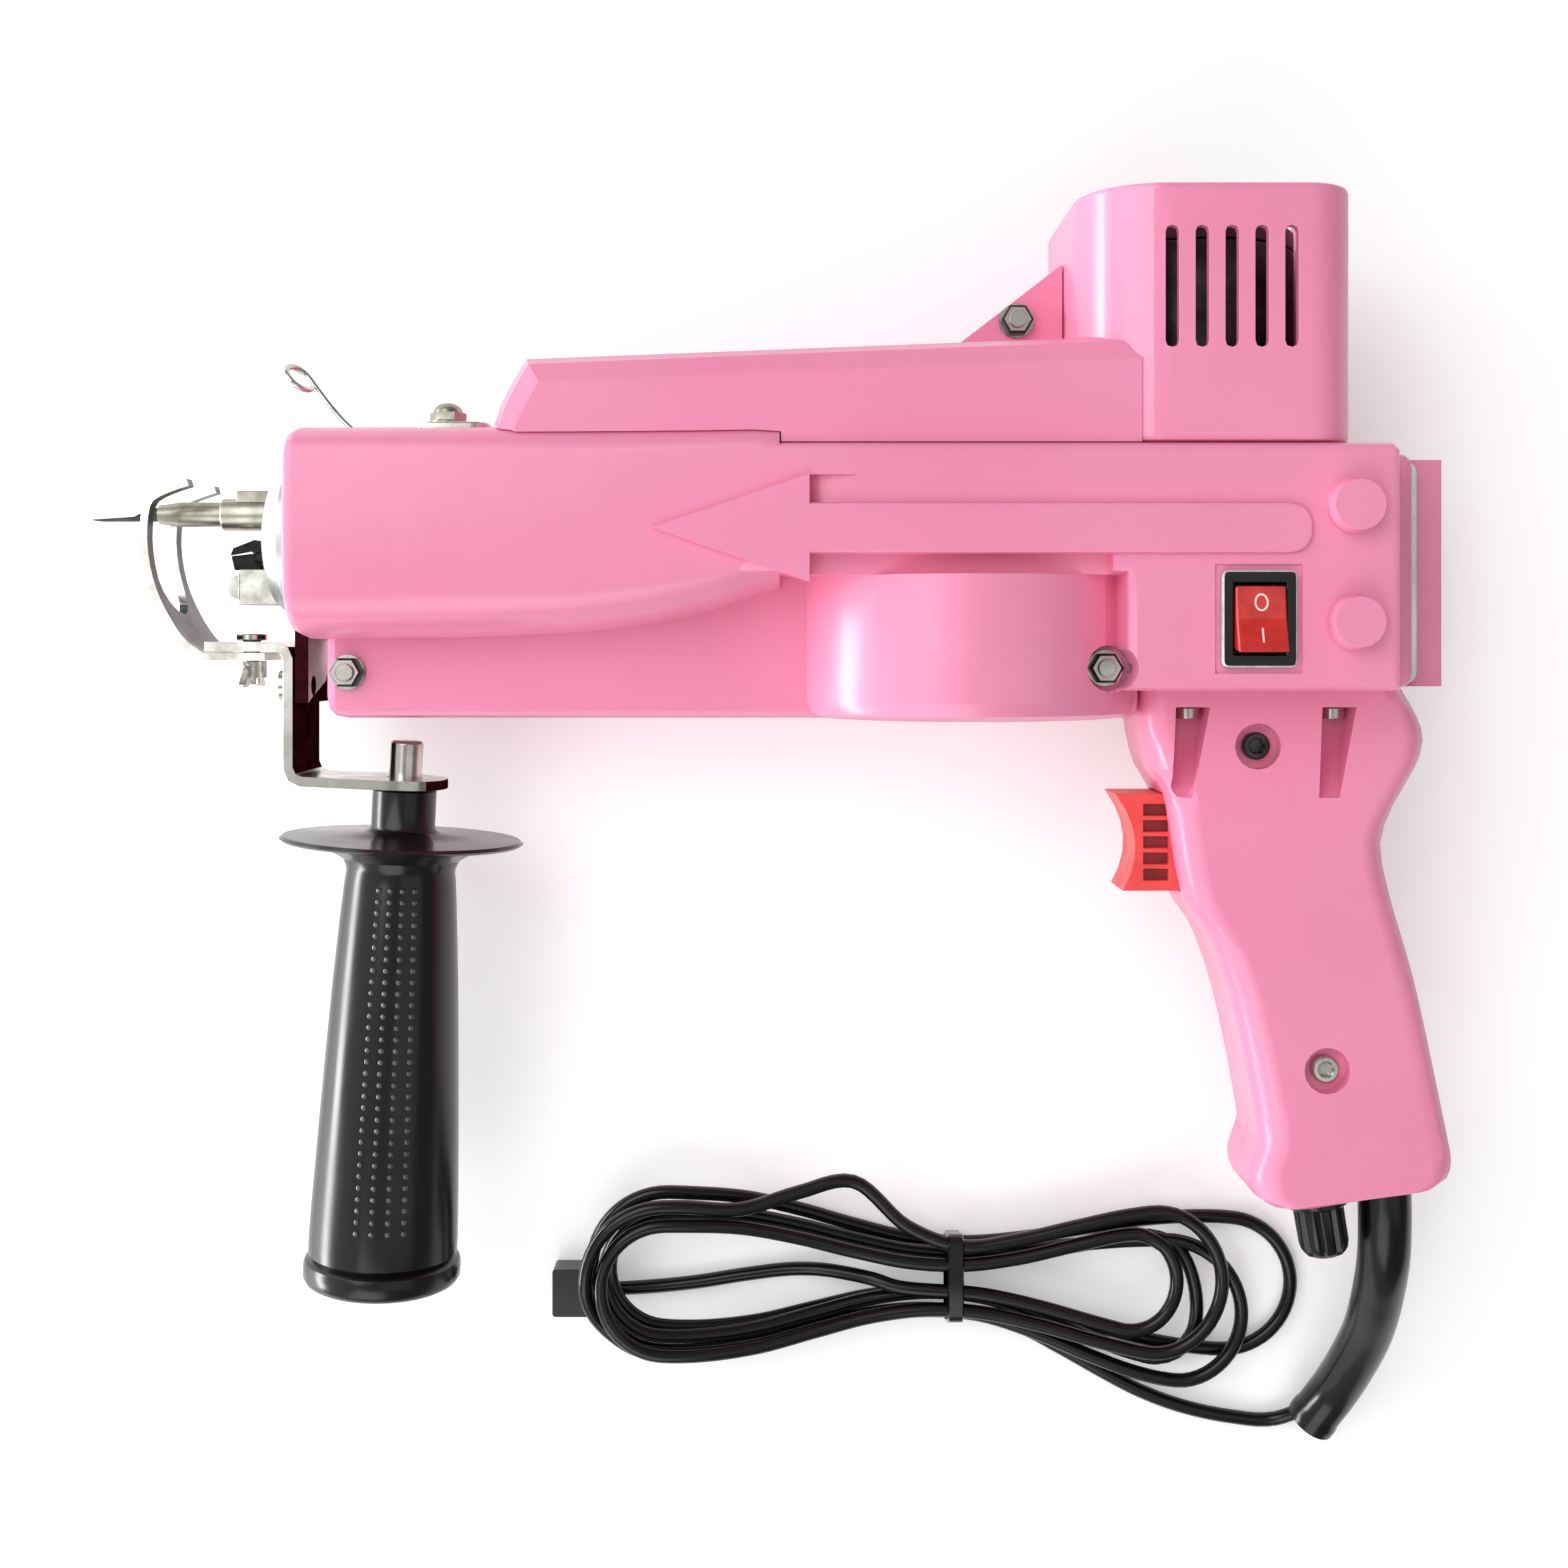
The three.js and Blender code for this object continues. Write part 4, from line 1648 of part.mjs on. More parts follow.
function rockerPaddle() {
  const top = rockerRecessTop();
  const half = paddleHeight / 2;
  const depth = paddleDepth;
  const outline = [];
  const lowSteps = 6;
  for (let step = 0; step <= lowSteps; step += 1) {
    const turn = Math.PI + (Math.PI * step) / lowSteps;
    outline.push([Math.cos(turn) * half * 0.9, Math.sin(turn) * depth * 0.9, 0]);
  }
  outline.push([half * 0.96, paddleProud + paddleTiltRise, 0]);
  outline.push([0, paddleProud - paddleTiltRise / 2, 0]);
  outline.push([-half * 0.96, gap * 2, 0]);
  const geometry = new THREE.ExtrudeGeometry(roundedShape(outline), { depth: paddleWidth, bevelEnabled: false });
  geometry.translate(0, 0, -paddleWidth / 2);
  geometry.rotateY(Math.PI / 2).rotateX(Math.PI / 2).rotateZ(Math.PI);
  return { solid: solidOf(geometry), top };
}
function rockerRecessTop() {
  return faceHalfDepth - rockerRecessDepth + gap + rockerFlange;
}
addPiece('rocker_housing', rockerHousing(), blackPlastic);
const paddle = rockerPaddle();
addPiece('rocker_paddle', paddle.solid, redPlastic).position.set(rockerX, -rockerDrop, paddle.top);

// Cord boot, lead, hank, tie, tail and connector
machine.add(cordSet);
addPiece('cord_boot', tube(bootPoints, bootDiameter / 2, bootSides, bootSteps), blackRubber, cordSet);

function cordSteps(points) {
  let length = 0;
  points.slice(1).forEach((point, i) => {
    length += Math.hypot(point[0] - points[i][0], point[1] - points[i][1], point[2] - points[i][2]);
  });
  return Math.ceil(length / cordStepSpacing);
}

// One point of the hank after a number of turns, which wind inwards and outwards by turns
const turnsPerLayer = hankTurns / hankLayers;
function hankPoint(turns) {
  const layer = Math.min(Math.floor(turns / turnsPerLayer), hankLayers - 1);
  const along = turns - layer * turnsPerLayer;
  const inner = layer % 2 === 0 ? along : turnsPerLayer - along;
  const endShare = hankStepsPerEnd / hankStepsPerTurn;
  const runShare = 1 / 2 - endShare;
  let climb = 0;
  for (let step = 1; step < hankLayers; step += 1) {
    const middle = step * turnsPerLayer;
    climb += THREE.MathUtils.smoothstep(turns, middle - runShare / 2, middle + runShare / 2);
  }
  const halfWidth = hankHalfWidth - hankStep * inner;
  const reach = hankHalfLength - hankHalfWidth;
  const shift = hankRightStep * inner + hankRightShift * climb;
  const lap = (turns + hankStartShare) % 1;
  const side = lap < 1 / 2 ? -1 : 1;
  const halfLap = lap % (1 / 2);
  const run = halfLap / runShare;
  const turn = side * (Math.PI / 2) - (Math.PI * (halfLap - runShare)) / endShare;
  const fromRight = side < 0 ? run : 1 - run;
  const pulled = shift * Math.max(1 - fromRight / hankRightBlend, 0);
  const end = side < 0 ? -reach : reach - shift;
  const x = run < 1 ? reach * (1 - 2 * fromRight) - pulled : end + Math.cos(turn) * halfWidth;
  const y = run < 1 ? side * halfWidth : Math.sin(turn) * halfWidth;
  const waist = Math.cos((Math.PI / 2) * Math.min(Math.abs(x) / hankWaistReach, 1)) ** 2;
  const drawn = y - Math.sign(y) * hankWaistDip * waist * Math.min(Math.abs(y) / halfWidth, 1);
  const lift = THREE.MathUtils.smoothstep(hankLiftStart - x, 0, hankLiftRun);
  const floor = -restHalfDepth + tableClearance + cordDiameter / 2;
  const tilt = THREE.MathUtils.degToRad(hankTilt + hankTiltStep * climb);
  return new THREE.Vector3(
    hankCentreX + x * Math.cos(tilt) - drawn * Math.sin(tilt),
    hankCentreY + x * Math.sin(tilt) + drawn * Math.cos(tilt),
    floor + climb * hankLayerRise + lift * hankLift,
  );
}
const hankPoints = [];
for (let step = 0; step <= hankTurns * hankStepsPerTurn; step += 1) {
  hankPoints.push(hankPoint(step / hankStepsPerTurn));
}

// Two points beyond an end of the hank, the nearer one a gap away from it
function beyond(last, before) {
  const outward = last.clone().sub(before).normalize();
  return [gap, 2 * overrun].map((reach) => last.clone().addScaledVector(outward, reach).toArray());
}
const leadLine = [...leadPoints, ...beyond(hankPoints[0], hankPoints[1]).reverse()];
const tailLine = [...beyond(hankPoints[hankPoints.length - 1], hankPoints[hankPoints.length - 2]), ...tailPoints];
addPiece('cord_lead', tube(leadLine, cordDiameter / 2, cordSides, cordSteps(leadLine)), blackRubber, cordSet);
addPiece('cord_tail', tube(tailLine, cordDiameter / 2, cordSides, cordSteps(tailLine)), blackRubber, cordSet);

// The least gap between turns, over points more than a quarter of a turn apart
let leastGap = Infinity;
hankPoints.forEach((point, i) => {
  hankPoints.slice(i + hankStepsPerTurn / 4).forEach((other, j) => {
    const next = hankPoints[Math.min(i + hankStepsPerTurn / 4 + j + 1, hankPoints.length - 1)];
    const nearest = new THREE.Line3(other, next).closestPointToPoint(point, true, new THREE.Vector3());
    leastGap = Math.min(leastGap, nearest.distanceTo(point) - cordDiameter);
  });
});
console.log(`least gap of the hank to itself: ${leastGap.toFixed(2)} mm`);
addPiece('cord_hank', solidOf(loftGeometry(wireRings(hankPoints, cordDiameter / 2, hankSides))), blackRubber, cordSet);

// Tie: a flat band round the waist of the hank
function hankTie() {
  const half = hankHalfWidth - hankWaistDip + cordDiameter / 2 + tieMargin;
  const low = -restHalfDepth + tieThickness;
  const high = -restHalfDepth + tableClearance + cordDiameter + (hankLayers - 1) * hankLayerRise + tieMargin;
  const ring = (margin) => {
    const corners = [
      [-half - margin, low - margin, tieMargin * 2],
      [half + margin, low - margin, tieMargin * 2],
      [half + margin, high + margin, tieMargin * 2],
      [-half - margin, high + margin, tieMargin * 2],
    ];
    const reach = margin > 0 ? 0 : overrun;
    const geometry = new THREE.ExtrudeGeometry(roundedShape(corners), {
      depth: tieWidth + 2 * reach, bevelEnabled: false,
    });
    geometry.translate(0, 0, -tieWidth / 2 - reach);
    const turned = new THREE.Matrix4().set(0, 0, 1, tieX, 1, 0, 0, hankCentreY, 0, 1, 0, 0, 0, 0, 0, 1);
    return solidOf(geometry.applyMatrix4(turned));
  };
  return cut(ring(tieThickness), ring(0));
}
addPiece('hank_tie', hankTie(), blackPlastic, cordSet);

// Connector: a square plug shell with two contact slots
function connector() {
  const front = -connectorReach;
  const half = connectorWidth / 2;
  const body = prism([
    [front, connectorY - half, cordDiameter / 4],
    [front + connectorLength, connectorY - half, cordDiameter / 2],
    [front + connectorLength, connectorY + half, cordDiameter / 2],
    [front, connectorY + half, cordDiameter / 4],
  ], -restHalfDepth, -restHalfDepth + connectorHeight);
  const slots = [];
  for (let i = 0; i < connectorSlotCount; i += 1) {
    const y = connectorY + (i - (connectorSlotCount - 1) / 2) * 2 * connectorSlotSize;
    slots.push(block(front - overrun, front + connectorSlotDepth, y - connectorSlotSize / 2, y + connectorSlotSize / 2,
      -restHalfDepth + (connectorHeight - connectorSlotSize) / 2, -restHalfDepth + (connectorHeight + connectorSlotSize) / 2));
  }
  return cut(body, ...slots);
}
addPiece('cord_connector', connector(), blackPlastic, cordSet);

// The origin goes under the middle of the machine's own box, without the cord.
cordSet.removeFromParent();
const box = new THREE.Box3().setFromObject(machine);
machine.add(cordSet);
const middle = box.getCenter(new THREE.Vector3());
machine.position.set(-middle.x, -middle.y, -box.min.z);
machine.updateMatrixWorld(true);

export default machine;
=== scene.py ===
"""Looks of a handheld tufting machine: shells, drive, needle end, side handle, grip, switch and bundled cord.

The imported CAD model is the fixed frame. Lengths in the classes are millimetres in the machine's own places,
counted from the crank axle (x), the needle line (y) and the split between the covers (z).
"""

from __future__ import annotations

import json
import logging
import math
from dataclasses import dataclass, field
from enum import Enum
from typing import Any, Callable, Iterable, Sequence

import bmesh
import bpy
from bmesh.types import BMesh, BMVert
from bpy.types import Material, Mesh, Node, NodeSocket, NodeTree, Object, World
from mathutils import Matrix, Vector
from mathutils.bvhtree import BVHTree
from mathutils.geometry import convex_hull_2d

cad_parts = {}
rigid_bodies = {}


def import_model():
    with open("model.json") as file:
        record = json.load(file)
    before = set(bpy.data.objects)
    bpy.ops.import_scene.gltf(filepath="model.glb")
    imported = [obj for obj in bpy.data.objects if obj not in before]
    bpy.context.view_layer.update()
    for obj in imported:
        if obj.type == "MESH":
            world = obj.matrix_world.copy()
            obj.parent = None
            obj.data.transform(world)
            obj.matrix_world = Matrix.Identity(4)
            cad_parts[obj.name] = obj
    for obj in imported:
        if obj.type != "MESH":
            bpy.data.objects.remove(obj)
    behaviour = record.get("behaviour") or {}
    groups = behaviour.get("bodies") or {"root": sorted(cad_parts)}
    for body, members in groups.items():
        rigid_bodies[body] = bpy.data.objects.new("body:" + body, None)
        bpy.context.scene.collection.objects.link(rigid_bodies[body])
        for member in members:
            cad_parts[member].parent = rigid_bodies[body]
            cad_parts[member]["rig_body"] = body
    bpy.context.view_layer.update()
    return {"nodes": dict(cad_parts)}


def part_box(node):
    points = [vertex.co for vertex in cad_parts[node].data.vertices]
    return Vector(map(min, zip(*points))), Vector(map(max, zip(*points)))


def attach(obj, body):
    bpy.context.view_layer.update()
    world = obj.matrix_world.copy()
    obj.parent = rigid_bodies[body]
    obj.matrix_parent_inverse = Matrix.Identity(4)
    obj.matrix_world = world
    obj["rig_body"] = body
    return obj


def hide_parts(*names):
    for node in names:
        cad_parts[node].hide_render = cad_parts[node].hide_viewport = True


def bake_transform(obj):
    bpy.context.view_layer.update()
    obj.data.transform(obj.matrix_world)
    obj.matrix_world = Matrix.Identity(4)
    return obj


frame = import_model()

LOG = logging.getLogger("tufting_machine")
MM = 0.001
ORIGIN = Vector((47.0000038, 57.2024145, 45.0))
UP = Vector((0, 0, 1))
CREASE = 32.0
Point = tuple[float, float, float]
Span = tuple[float, float]


def place(x: float, y: float, z: float) -> Vector:
    """Turns a machine place in millimetres into a point of the row frame in metres."""
    return (Vector((x, y, z)) + ORIGIN) * MM


def even_turns(count: int) -> list[float]:
    """Returns evenly spread angles of one full turn, in radians."""
    return [2 * math.pi * step / count for step in range(count)]


def linear(hex_colour: str) -> tuple[float, float, float, float]:
    """Turns an sRGB hex colour into linear red, green, blue and alpha."""
    parts = [int(hex_colour[i:i + 2], 16) / 255 for i in (1, 3, 5)]
    red, green, blue = (c / 12.92 if c <= 0.04045 else ((c + 0.055) / 1.055) ** 2.4 for c in parts)
    return (red, green, blue, 1.0)


def add_node(tree: NodeTree, kind: str, inputs: dict[Any, Any] | None = None, **settings: Any) -> Node:
    """Adds one node with its settings, its values and the links into it.

    Args:
        tree: The shader or geometry tree that gets the node.
        kind: Blender's type name of the node.
        inputs: Values or output sockets by input name or number.
        settings: Attributes of the node itself.

    Returns:
        The new node.
    """
    node = tree.nodes.new(kind)
    for name, value in settings.items():
        setattr(node, name, value)
    for name, value in (inputs or {}).items():
        socket = node.inputs[name]
        if isinstance(value, NodeSocket):
            tree.links.new(value, socket)
        else:
            socket.default_value = value
    return node


def empty_tree(owner: Material | World) -> NodeTree:
    """Returns the emptied shader tree of a material or world."""
    owner.use_nodes = True
    owner.node_tree.nodes.clear()
    return owner.node_tree


def reckon(tree: NodeTree, operation: str, *values: Any) -> NodeSocket:
    """Adds a math node for the values and returns its result."""
    return add_node(tree, "ShaderNodeMath", dict(enumerate(values)), operation=operation).outputs[0]


def ease(tree: NodeTree, value: NodeSocket, before: Span, after: Span = (0.0, 1.0)) -> NodeSocket:
    """Adds a smooth map of a value from one span onto another and returns its result."""
    return add_node(tree, "ShaderNodeMapRange", {
        "Value": value, "From Min": before[0], "From Max": before[1], "To Min": after[0], "To Max": after[1],
    }, interpolation_type="SMOOTHSTEP").outputs[0]


def clouds(tree: NodeTree, where: NodeSocket, size_mm: float, detail: float, roughness: float) -> NodeSocket:
    """Adds a noise of the given grain size and returns its strength."""
    return add_node(tree, "ShaderNodeTexNoise", {
        "Vector": where, "Scale": 1 / (size_mm * MM), "Detail": detail, "Roughness": roughness,
    }).outputs["Fac"]


@dataclass(frozen=True)
class Finish:
    """One procedural surface: a drifting colour, a fine relief (grain and height) and a gloss that varies."""

    name: str
    colour: str
    shade: str
    roughness: float
    metallic: float = 0.0
    gloss_drift: float = 0.05
    drift_mm: float = 18.0
    relief_mm: Span = (0.6, 0.01)
    stretch: Point = (1.0, 1.0, 1.0)
    coat: float = 0.0
    anisotropy: float = 0.0
    specular: float = 0.5
    pits: bool = False
    grain_share: float = 0.16
    tint_span: Span = (0.35, 0.85)
    gloss_span: Span = (0.25, 0.75)
    least_roughness: float = 0.02

    def material(self) -> Material:
        """Returns the Blender material, made once for each name."""
        found = bpy.data.materials.get(self.name)
        if found:
            return found
        made = bpy.data.materials.new(self.name)
        tree = empty_tree(made)
        where = add_node(tree, "ShaderNodeTexCoord").outputs["Object"]
        stretched = add_node(tree, "ShaderNodeMapping", {"Vector": where, "Scale": self.stretch}).outputs[0]
        size, height = self.relief_mm
        drift = clouds(tree, where, self.drift_mm, 3.0, 0.55)
        grain = clouds(tree, stretched, size, 2.0, 0.5)
        if self.pits:
            cells = add_node(tree, "ShaderNodeTexVoronoi", {
                "Vector": stretched, "Scale": 1 / (size * MM),
            }).outputs["Distance"]
            grain = reckon(tree, "MULTIPLY", grain, cells)
        mottle = reckon(tree, "MULTIPLY_ADD", grain, self.grain_share, drift)
        colour = add_node(tree, "ShaderNodeMix", {
            "Factor": ease(tree, mottle, self.tint_span), 6: linear(self.colour), 7: linear(self.shade),
        }, data_type="RGBA").outputs[2]
        gloss = ease(tree, drift, self.gloss_span, (
            max(self.roughness - self.gloss_drift, self.least_roughness), self.roughness + self.gloss_drift))
        bump = add_node(tree, "ShaderNodeBump", {
            "Height": grain, "Strength": 1.0, "Distance": height * MM,
        }).outputs[0]
        shader = add_node(tree, "ShaderNodeBsdfPrincipled", {
            "Base Color": colour, "Roughness": gloss, "Normal": bump, "Metallic": self.metallic,
            "Coat Weight": self.coat, "Coat Roughness": 0.12, "Anisotropic": self.anisotropy,
            "Specular IOR Level": self.specular,
        })
        add_node(tree, "ShaderNodeOutputMaterial", {"Surface": shader.outputs[0]})
        return made


# Glass-filled nylon, injection moulded: soft satin pink, a faint orange peel, slightly deeper flow patches.
PINK_NYLON = Finish(
    "moulded_pink_nylon", "#F392B6", "#EE8AAE", 0.335, gloss_drift=0.045, drift_mm=55,
    relief_mm=(1.1, 0.008), coat=0.15)
# Cast aluminium, tumbled: pale grey, finely pebbled and dull.
CAST_ALUMINIUM = Finish(
    "tumbled_cast_aluminium", "#D9DBDA", "#B9BCBB", 0.42, metallic=1.0, gloss_drift=0.1,
    relief_mm=(0.9, 0.04), pits=True)
# Zinc-plated steel: bright, slightly warm, with soft cloudy patches of the plating.
ZINC_STEEL = Finish(
    "zinc_plated_steel", "#D4D3CE", "#ABA9A1", 0.22, metallic=1.0, gloss_drift=0.05, drift_mm=7,
    relief_mm=(0.35, 0.004))
# Ground tool steel with an oil film: warm grey, fine lines across the bars.
GROUND_STEEL = Finish(
    "oiled_ground_steel", "#B3B0A4", "#787465", 0.36, metallic=1.0, gloss_drift=0.08, drift_mm=9,
    relief_mm=(0.5, 0.006), stretch=(1.0, 6.0, 6.0), anisotropy=0.3)
# Milled steel, left bare: light grey with a dull, clouded face.
MILLED_STEEL = Finish(
    "milled_bare_steel", "#D2D2CA", "#A3A299", 0.4, metallic=1.0, gloss_drift=0.08, drift_mm=4,
    relief_mm=(0.4, 0.008))
# Painted shade on steel faces that look at the covers and lie in their shade: dark red-brown, almost black,
# faintly glossy.
PAINTED_SHADE_STEEL = Finish(
    "steel_painted_shade", "#3E141C", "#210A0F", 0.38, drift_mm=6, relief_mm=(0.9, 0.01), specular=0.0)
# Dark drawn steel: the needle; the motor's can, whose dark is partly painted shade for the hollow of the
# shroud; and the rims of the nuts, where it is painted shade.
DARK_STEEL_AND_SHADE = Finish(
    "dark_steel_and_painted_shade", "#4B4A4C", "#2B2A2C", 0.36, metallic=0.8, drift_mm=7, relief_mm=(0.6, 0.01))
# Blued spring steel: dark grey-green sheen, nearly black in the creases.
BLUED_STEEL = Finish(
    "blued_spring_steel", "#454C48", "#272B29", 0.34, metallic=1.0, gloss_drift=0.05, drift_mm=10,
    relief_mm=(0.7, 0.006))
# Phosphated cutting steel: almost black, matt.
PHOSPHATED_STEEL = Finish(
    "phosphated_steel", "#2B2A29", "#161515", 0.45, metallic=0.85, drift_mm=4, relief_mm=(0.3, 0.01))
# Hard rubber, moulded: near black, dull with a wide soft sheen.
HARD_RUBBER = Finish(
    "moulded_hard_rubber", "#1A1616", "#100D0D", 0.22, drift_mm=25, relief_mm=(0.5, 0.01), gloss_drift=0.04,
    specular=0.4)
# The same rubber on the raised dots, painted a little greyer as a painted sheen, with a small bright spot on
# each.
DOT_SHEEN_RUBBER = Finish(
    "dot_rubber_painted_sheen", "#464848", "#2C2C2C", 0.22, drift_mm=9, relief_mm=(0.4, 0.004), specular=0.9)
# Plasticised PVC sheath: black, smooth, a soft line of light along it.
PVC_SHEATH = Finish(
    "black_pvc_sheath", "#0E0D0D", "#090808", 0.22, drift_mm=30, relief_mm=(0.8, 0.004), gloss_drift=0.05,
    specular=0.35)
# Polished ABS: black and glossy with sharp reflections.
GLOSS_BLACK = Finish(
    "polished_black_abs", "#0F0F0F", "#090909", 0.16, gloss_drift=0.03, relief_mm=(2.0, 0.003),
    specular=0.4)
# Tinted polycarbonate rocker: saturated red with a gloss skin.
RED_ROCKER = Finish(
    "red_polycarbonate", "#DE2F2C", "#B8211F", 0.2, coat=0.4, drift_mm=6, relief_mm=(2.0, 0.003))
# Moulded nylon trigger: orange red, satin.
RED_NYLON = Finish("moulded_red_nylon", "#F2504C", "#E2413C", 0.38, drift_mm=8, relief_mm=(0.8, 0.01))
# Painted shade on the floors of the trigger's slots: the same nylon, dark red and dull.
SLOT_DARK = Finish("trigger_slot_painted_shade", "#8A1B1E", "#6E1214", 0.55, drift_mm=3)
# Pale grey-white band on the switch housing's outer rim.
PALE_RIM_BAND = Finish("pale_rim_band", "#D8DBD8", "#B3B6B4", 0.45, drift_mm=3, relief_mm=(0.6, 0.02))
# Pad-printed marking ink: chalky off-white.
MARKING_INK = Finish("pad_print_white", "#F2E9E4", "#E2D5CE", 0.5, drift_mm=2)
# Phenolic resin of the motor's end bell: dark brown, dull.
PHENOLIC = Finish("dark_phenolic", "#3B2A22", "#271B16", 0.4, drift_mm=5)


def plain_object(name: str, mesh: Mesh, finish: Finish | None = None) -> Object:
    """Puts a mesh into the scene as an object at the origin, with its finish."""
    made = bpy.data.objects.new(name, mesh)
    bpy.context.scene.collection.objects.link(made)
    if finish:
        made.data.materials.clear()
        made.data.materials.append(finish.material())
    return made


def smooth(mesh: Mesh, angle: float = CREASE) -> None:
    """Shades a mesh smooth, with creases where faces meet at more than the angle in degrees."""
    mesh.polygons.foreach_set("use_smooth", [True] * len(mesh.polygons))
    mesh.set_sharp_from_angle(angle=math.radians(angle))
    mesh.update()


def mesh_of(work: BMesh, name: str, outward: bool = True) -> Mesh:
    """Turns a bmesh into a mesh, with its faces turned outwards if wanted, and frees it."""
    if outward:
        bmesh.ops.recalc_face_normals(work, faces=work.faces)
    mesh = bpy.data.meshes.new(name)
    work.to_mesh(mesh)
    work.free()
    return mesh


def closed_skin(work: BMesh, loops: Sequence[list[BMVert]], name: str,
                weld: float = 0.0) -> Mesh:
    """Joins loops of points into one closed skin.

    Args:
        work: The bmesh that holds the points.
        loops: Rings of points, from one end to the other.
        name: Name of the mesh.
        weld: Distance in metres within which points are made one, or 0 to keep them all.

    Returns:
        The mesh, with faces pointing outwards.
    """
    for lower, upper in zip(loops, loops[1:]):
        for side in range(len(lower)):
            after = (side + 1) % len(lower)
            work.faces.new((lower[side], lower[after], upper[after], upper[side]))
    work.faces.new(loops[0][::-1])
    work.faces.new(loops[-1])
    if weld > 0:
        bmesh.ops.remove_doubles(work, verts=work.verts, dist=weld)
    return mesh_of(work, name)


def settled(made: Object, angle: float = CREASE) -> Object:
    """Turns an object with modifiers into a plain mesh at the origin.

    Args:
        made: The object with live modifiers.
        angle: Crease angle of the shading in degrees, or 0 to keep the shading the modifiers gave.

    Returns:
        The same object, with the evaluated mesh and no modifiers.
    """
    bpy.context.view_layer.update()
    seen = made.evaluated_get(bpy.context.evaluated_depsgraph_get())
    mesh = bpy.data.meshes.new_from_object(seen)
    finishes = [slot.material for slot in made.material_slots]
    made.modifiers.clear()
    made.data = mesh
    if not any(mesh.materials):
        mesh.materials.clear()
        for finish in finishes:
            mesh.materials.append(finish)
    if angle > 0:
        smooth(mesh, angle)
    return made


def dressed(node: str, finish: Finish, edge: float = 0.35, name: str | None = None,
            rides: bool = True) -> Object:
    """Makes a welded copy of a CAD node with its edges eased, which stands for the node.

    Args:
        node: The CAD node.
        finish: Its surface.
        edge: Width of the eased edges in millimetres, or 0 for none.
        name: Name of the piece; the node's name with _skin where it isn't given.
        rides: Whether it rides the node's own body.

    Returns:
        The finished piece.
    """
    source = frame["nodes"][node]
    work = bmesh.new()
    work.from_mesh(source.data)
    bmesh.ops.remove_doubles(work, verts=work.verts, dist=0.002 * MM)
    bmesh.ops.dissolve_limit(work, angle_limit=math.radians(0.4), verts=work.verts, edges=work.edges)
    title = name or f"{node}_skin"
    made = plain_object(title, mesh_of(work, title, outward=False), finish)
    if edge > 0:
        smooth(made.data)
        bevel = made.modifiers.new("ease", "BEVEL")
        bevel.width = edge * MM
        bevel.segments = 2
        bevel.limit_method = "ANGLE"
        bevel.angle_limit = math.radians(CREASE)
        bevel.use_clamp_overlap = True
        bevel.harden_normals = False
        made.modifiers.new("even", "WEIGHTED_NORMAL").keep_sharp = True
    settled(made, 0 if edge > 0 else CREASE)
    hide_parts(node)
    if rides:
        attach(made, source["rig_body"])
    return made


def dress_all(pieces: Iterable[tuple[str, Finish, float]]) -> None:
    """Dresses CAD nodes, each with its finish and the width of its eased edges."""
    for node, finish, edge in pieces:
        dressed(node, finish, edge)


def paint(made: Object, finish: Finish, chosen: Callable[[Vector, Vector], bool]) -> None:
    """Gives some faces of a piece another finish.

    Args:
        made: The piece, its mesh in the row frame.
        finish: The other surface.
        chosen: Tells whether a face gets it, from the face's middle in machine millimetres and its normal.
    """
    made.data.materials.append(finish.material())
    slot = len(made.data.materials) - 1
    for face in made.data.polygons:
        if chosen(face.center / MM - ORIGIN, face.normal):
            face.material_index = slot


class Section(Enum):
    """The outline of a ring across its axis."""

    CIRCLE = "circle"
    HEXAGON = "hexagon"
    FLUTED = "fluted"

    def reach(self, turn: float) -> float:
        """Returns the outline's reach at an angle, as a share of its radius (across flats for a hexagon)."""
        if self is Section.HEXAGON:
            return 1 / math.cos((turn % (math.pi / 3)) - math.pi / 6)
        if self is Section.FLUTED:
            return 1 - 0.13 * max(math.cos(turn * 10), 0) ** 1.5
        return 1.0


Ring = tuple[Section, float, float]


def rings(*sizes: Span, section: Section = Section.CIRCLE) -> list[Ring]:
    """Returns rings of one outline from their radii and heights."""
    return [(section, radius, height) for radius, height in sizes]


def ring_stack(stack: Sequence[Ring], base: Matrix, sides: int = 48) -> Mesh:
    """Builds a closed body from rings along one axis.

    Args:
        stack: Outline, radius and height of each ring in millimetres, from the first end to the last.
        base: The row-frame matrix of the stack, its Z along the axis, in metres.
        sides: Points of each ring.

    Returns:
        The mesh in the row frame, with faces pointing outwards.
    """
    work = bmesh.new()
    loops: list[list[BMVert]] = []
    for section, radius, height in stack:
        loop = []
        for turn in even_turns(sides):
            reach = radius * section.reach(turn)
            spot = Vector((math.cos(turn) * reach, math.sin(turn) * reach, height)) * MM
            loop.append(work.verts.new(base @ spot))
        loops.append(loop)
    return closed_skin(work, loops, "ring_stack", 0.001 * MM)


def along(start: Vector, direction: Vector) -> Matrix:
    """Returns a matrix at start, in metres, whose Z runs along the direction."""
    turn = direction.to_track_quat("Z", "Y").to_matrix().to_4x4()
    return Matrix.Translation(start) @ turn


def joined(name: str, meshes: Iterable[Mesh], finish: Finish) -> Object:
    """Joins meshes into one named object with one finish."""
    work = bmesh.new()
    for mesh in meshes:
        work.from_mesh(mesh)
    whole = mesh_of(work, name, outward=False)
    smooth(whole)
    return plain_object(name, whole, finish)


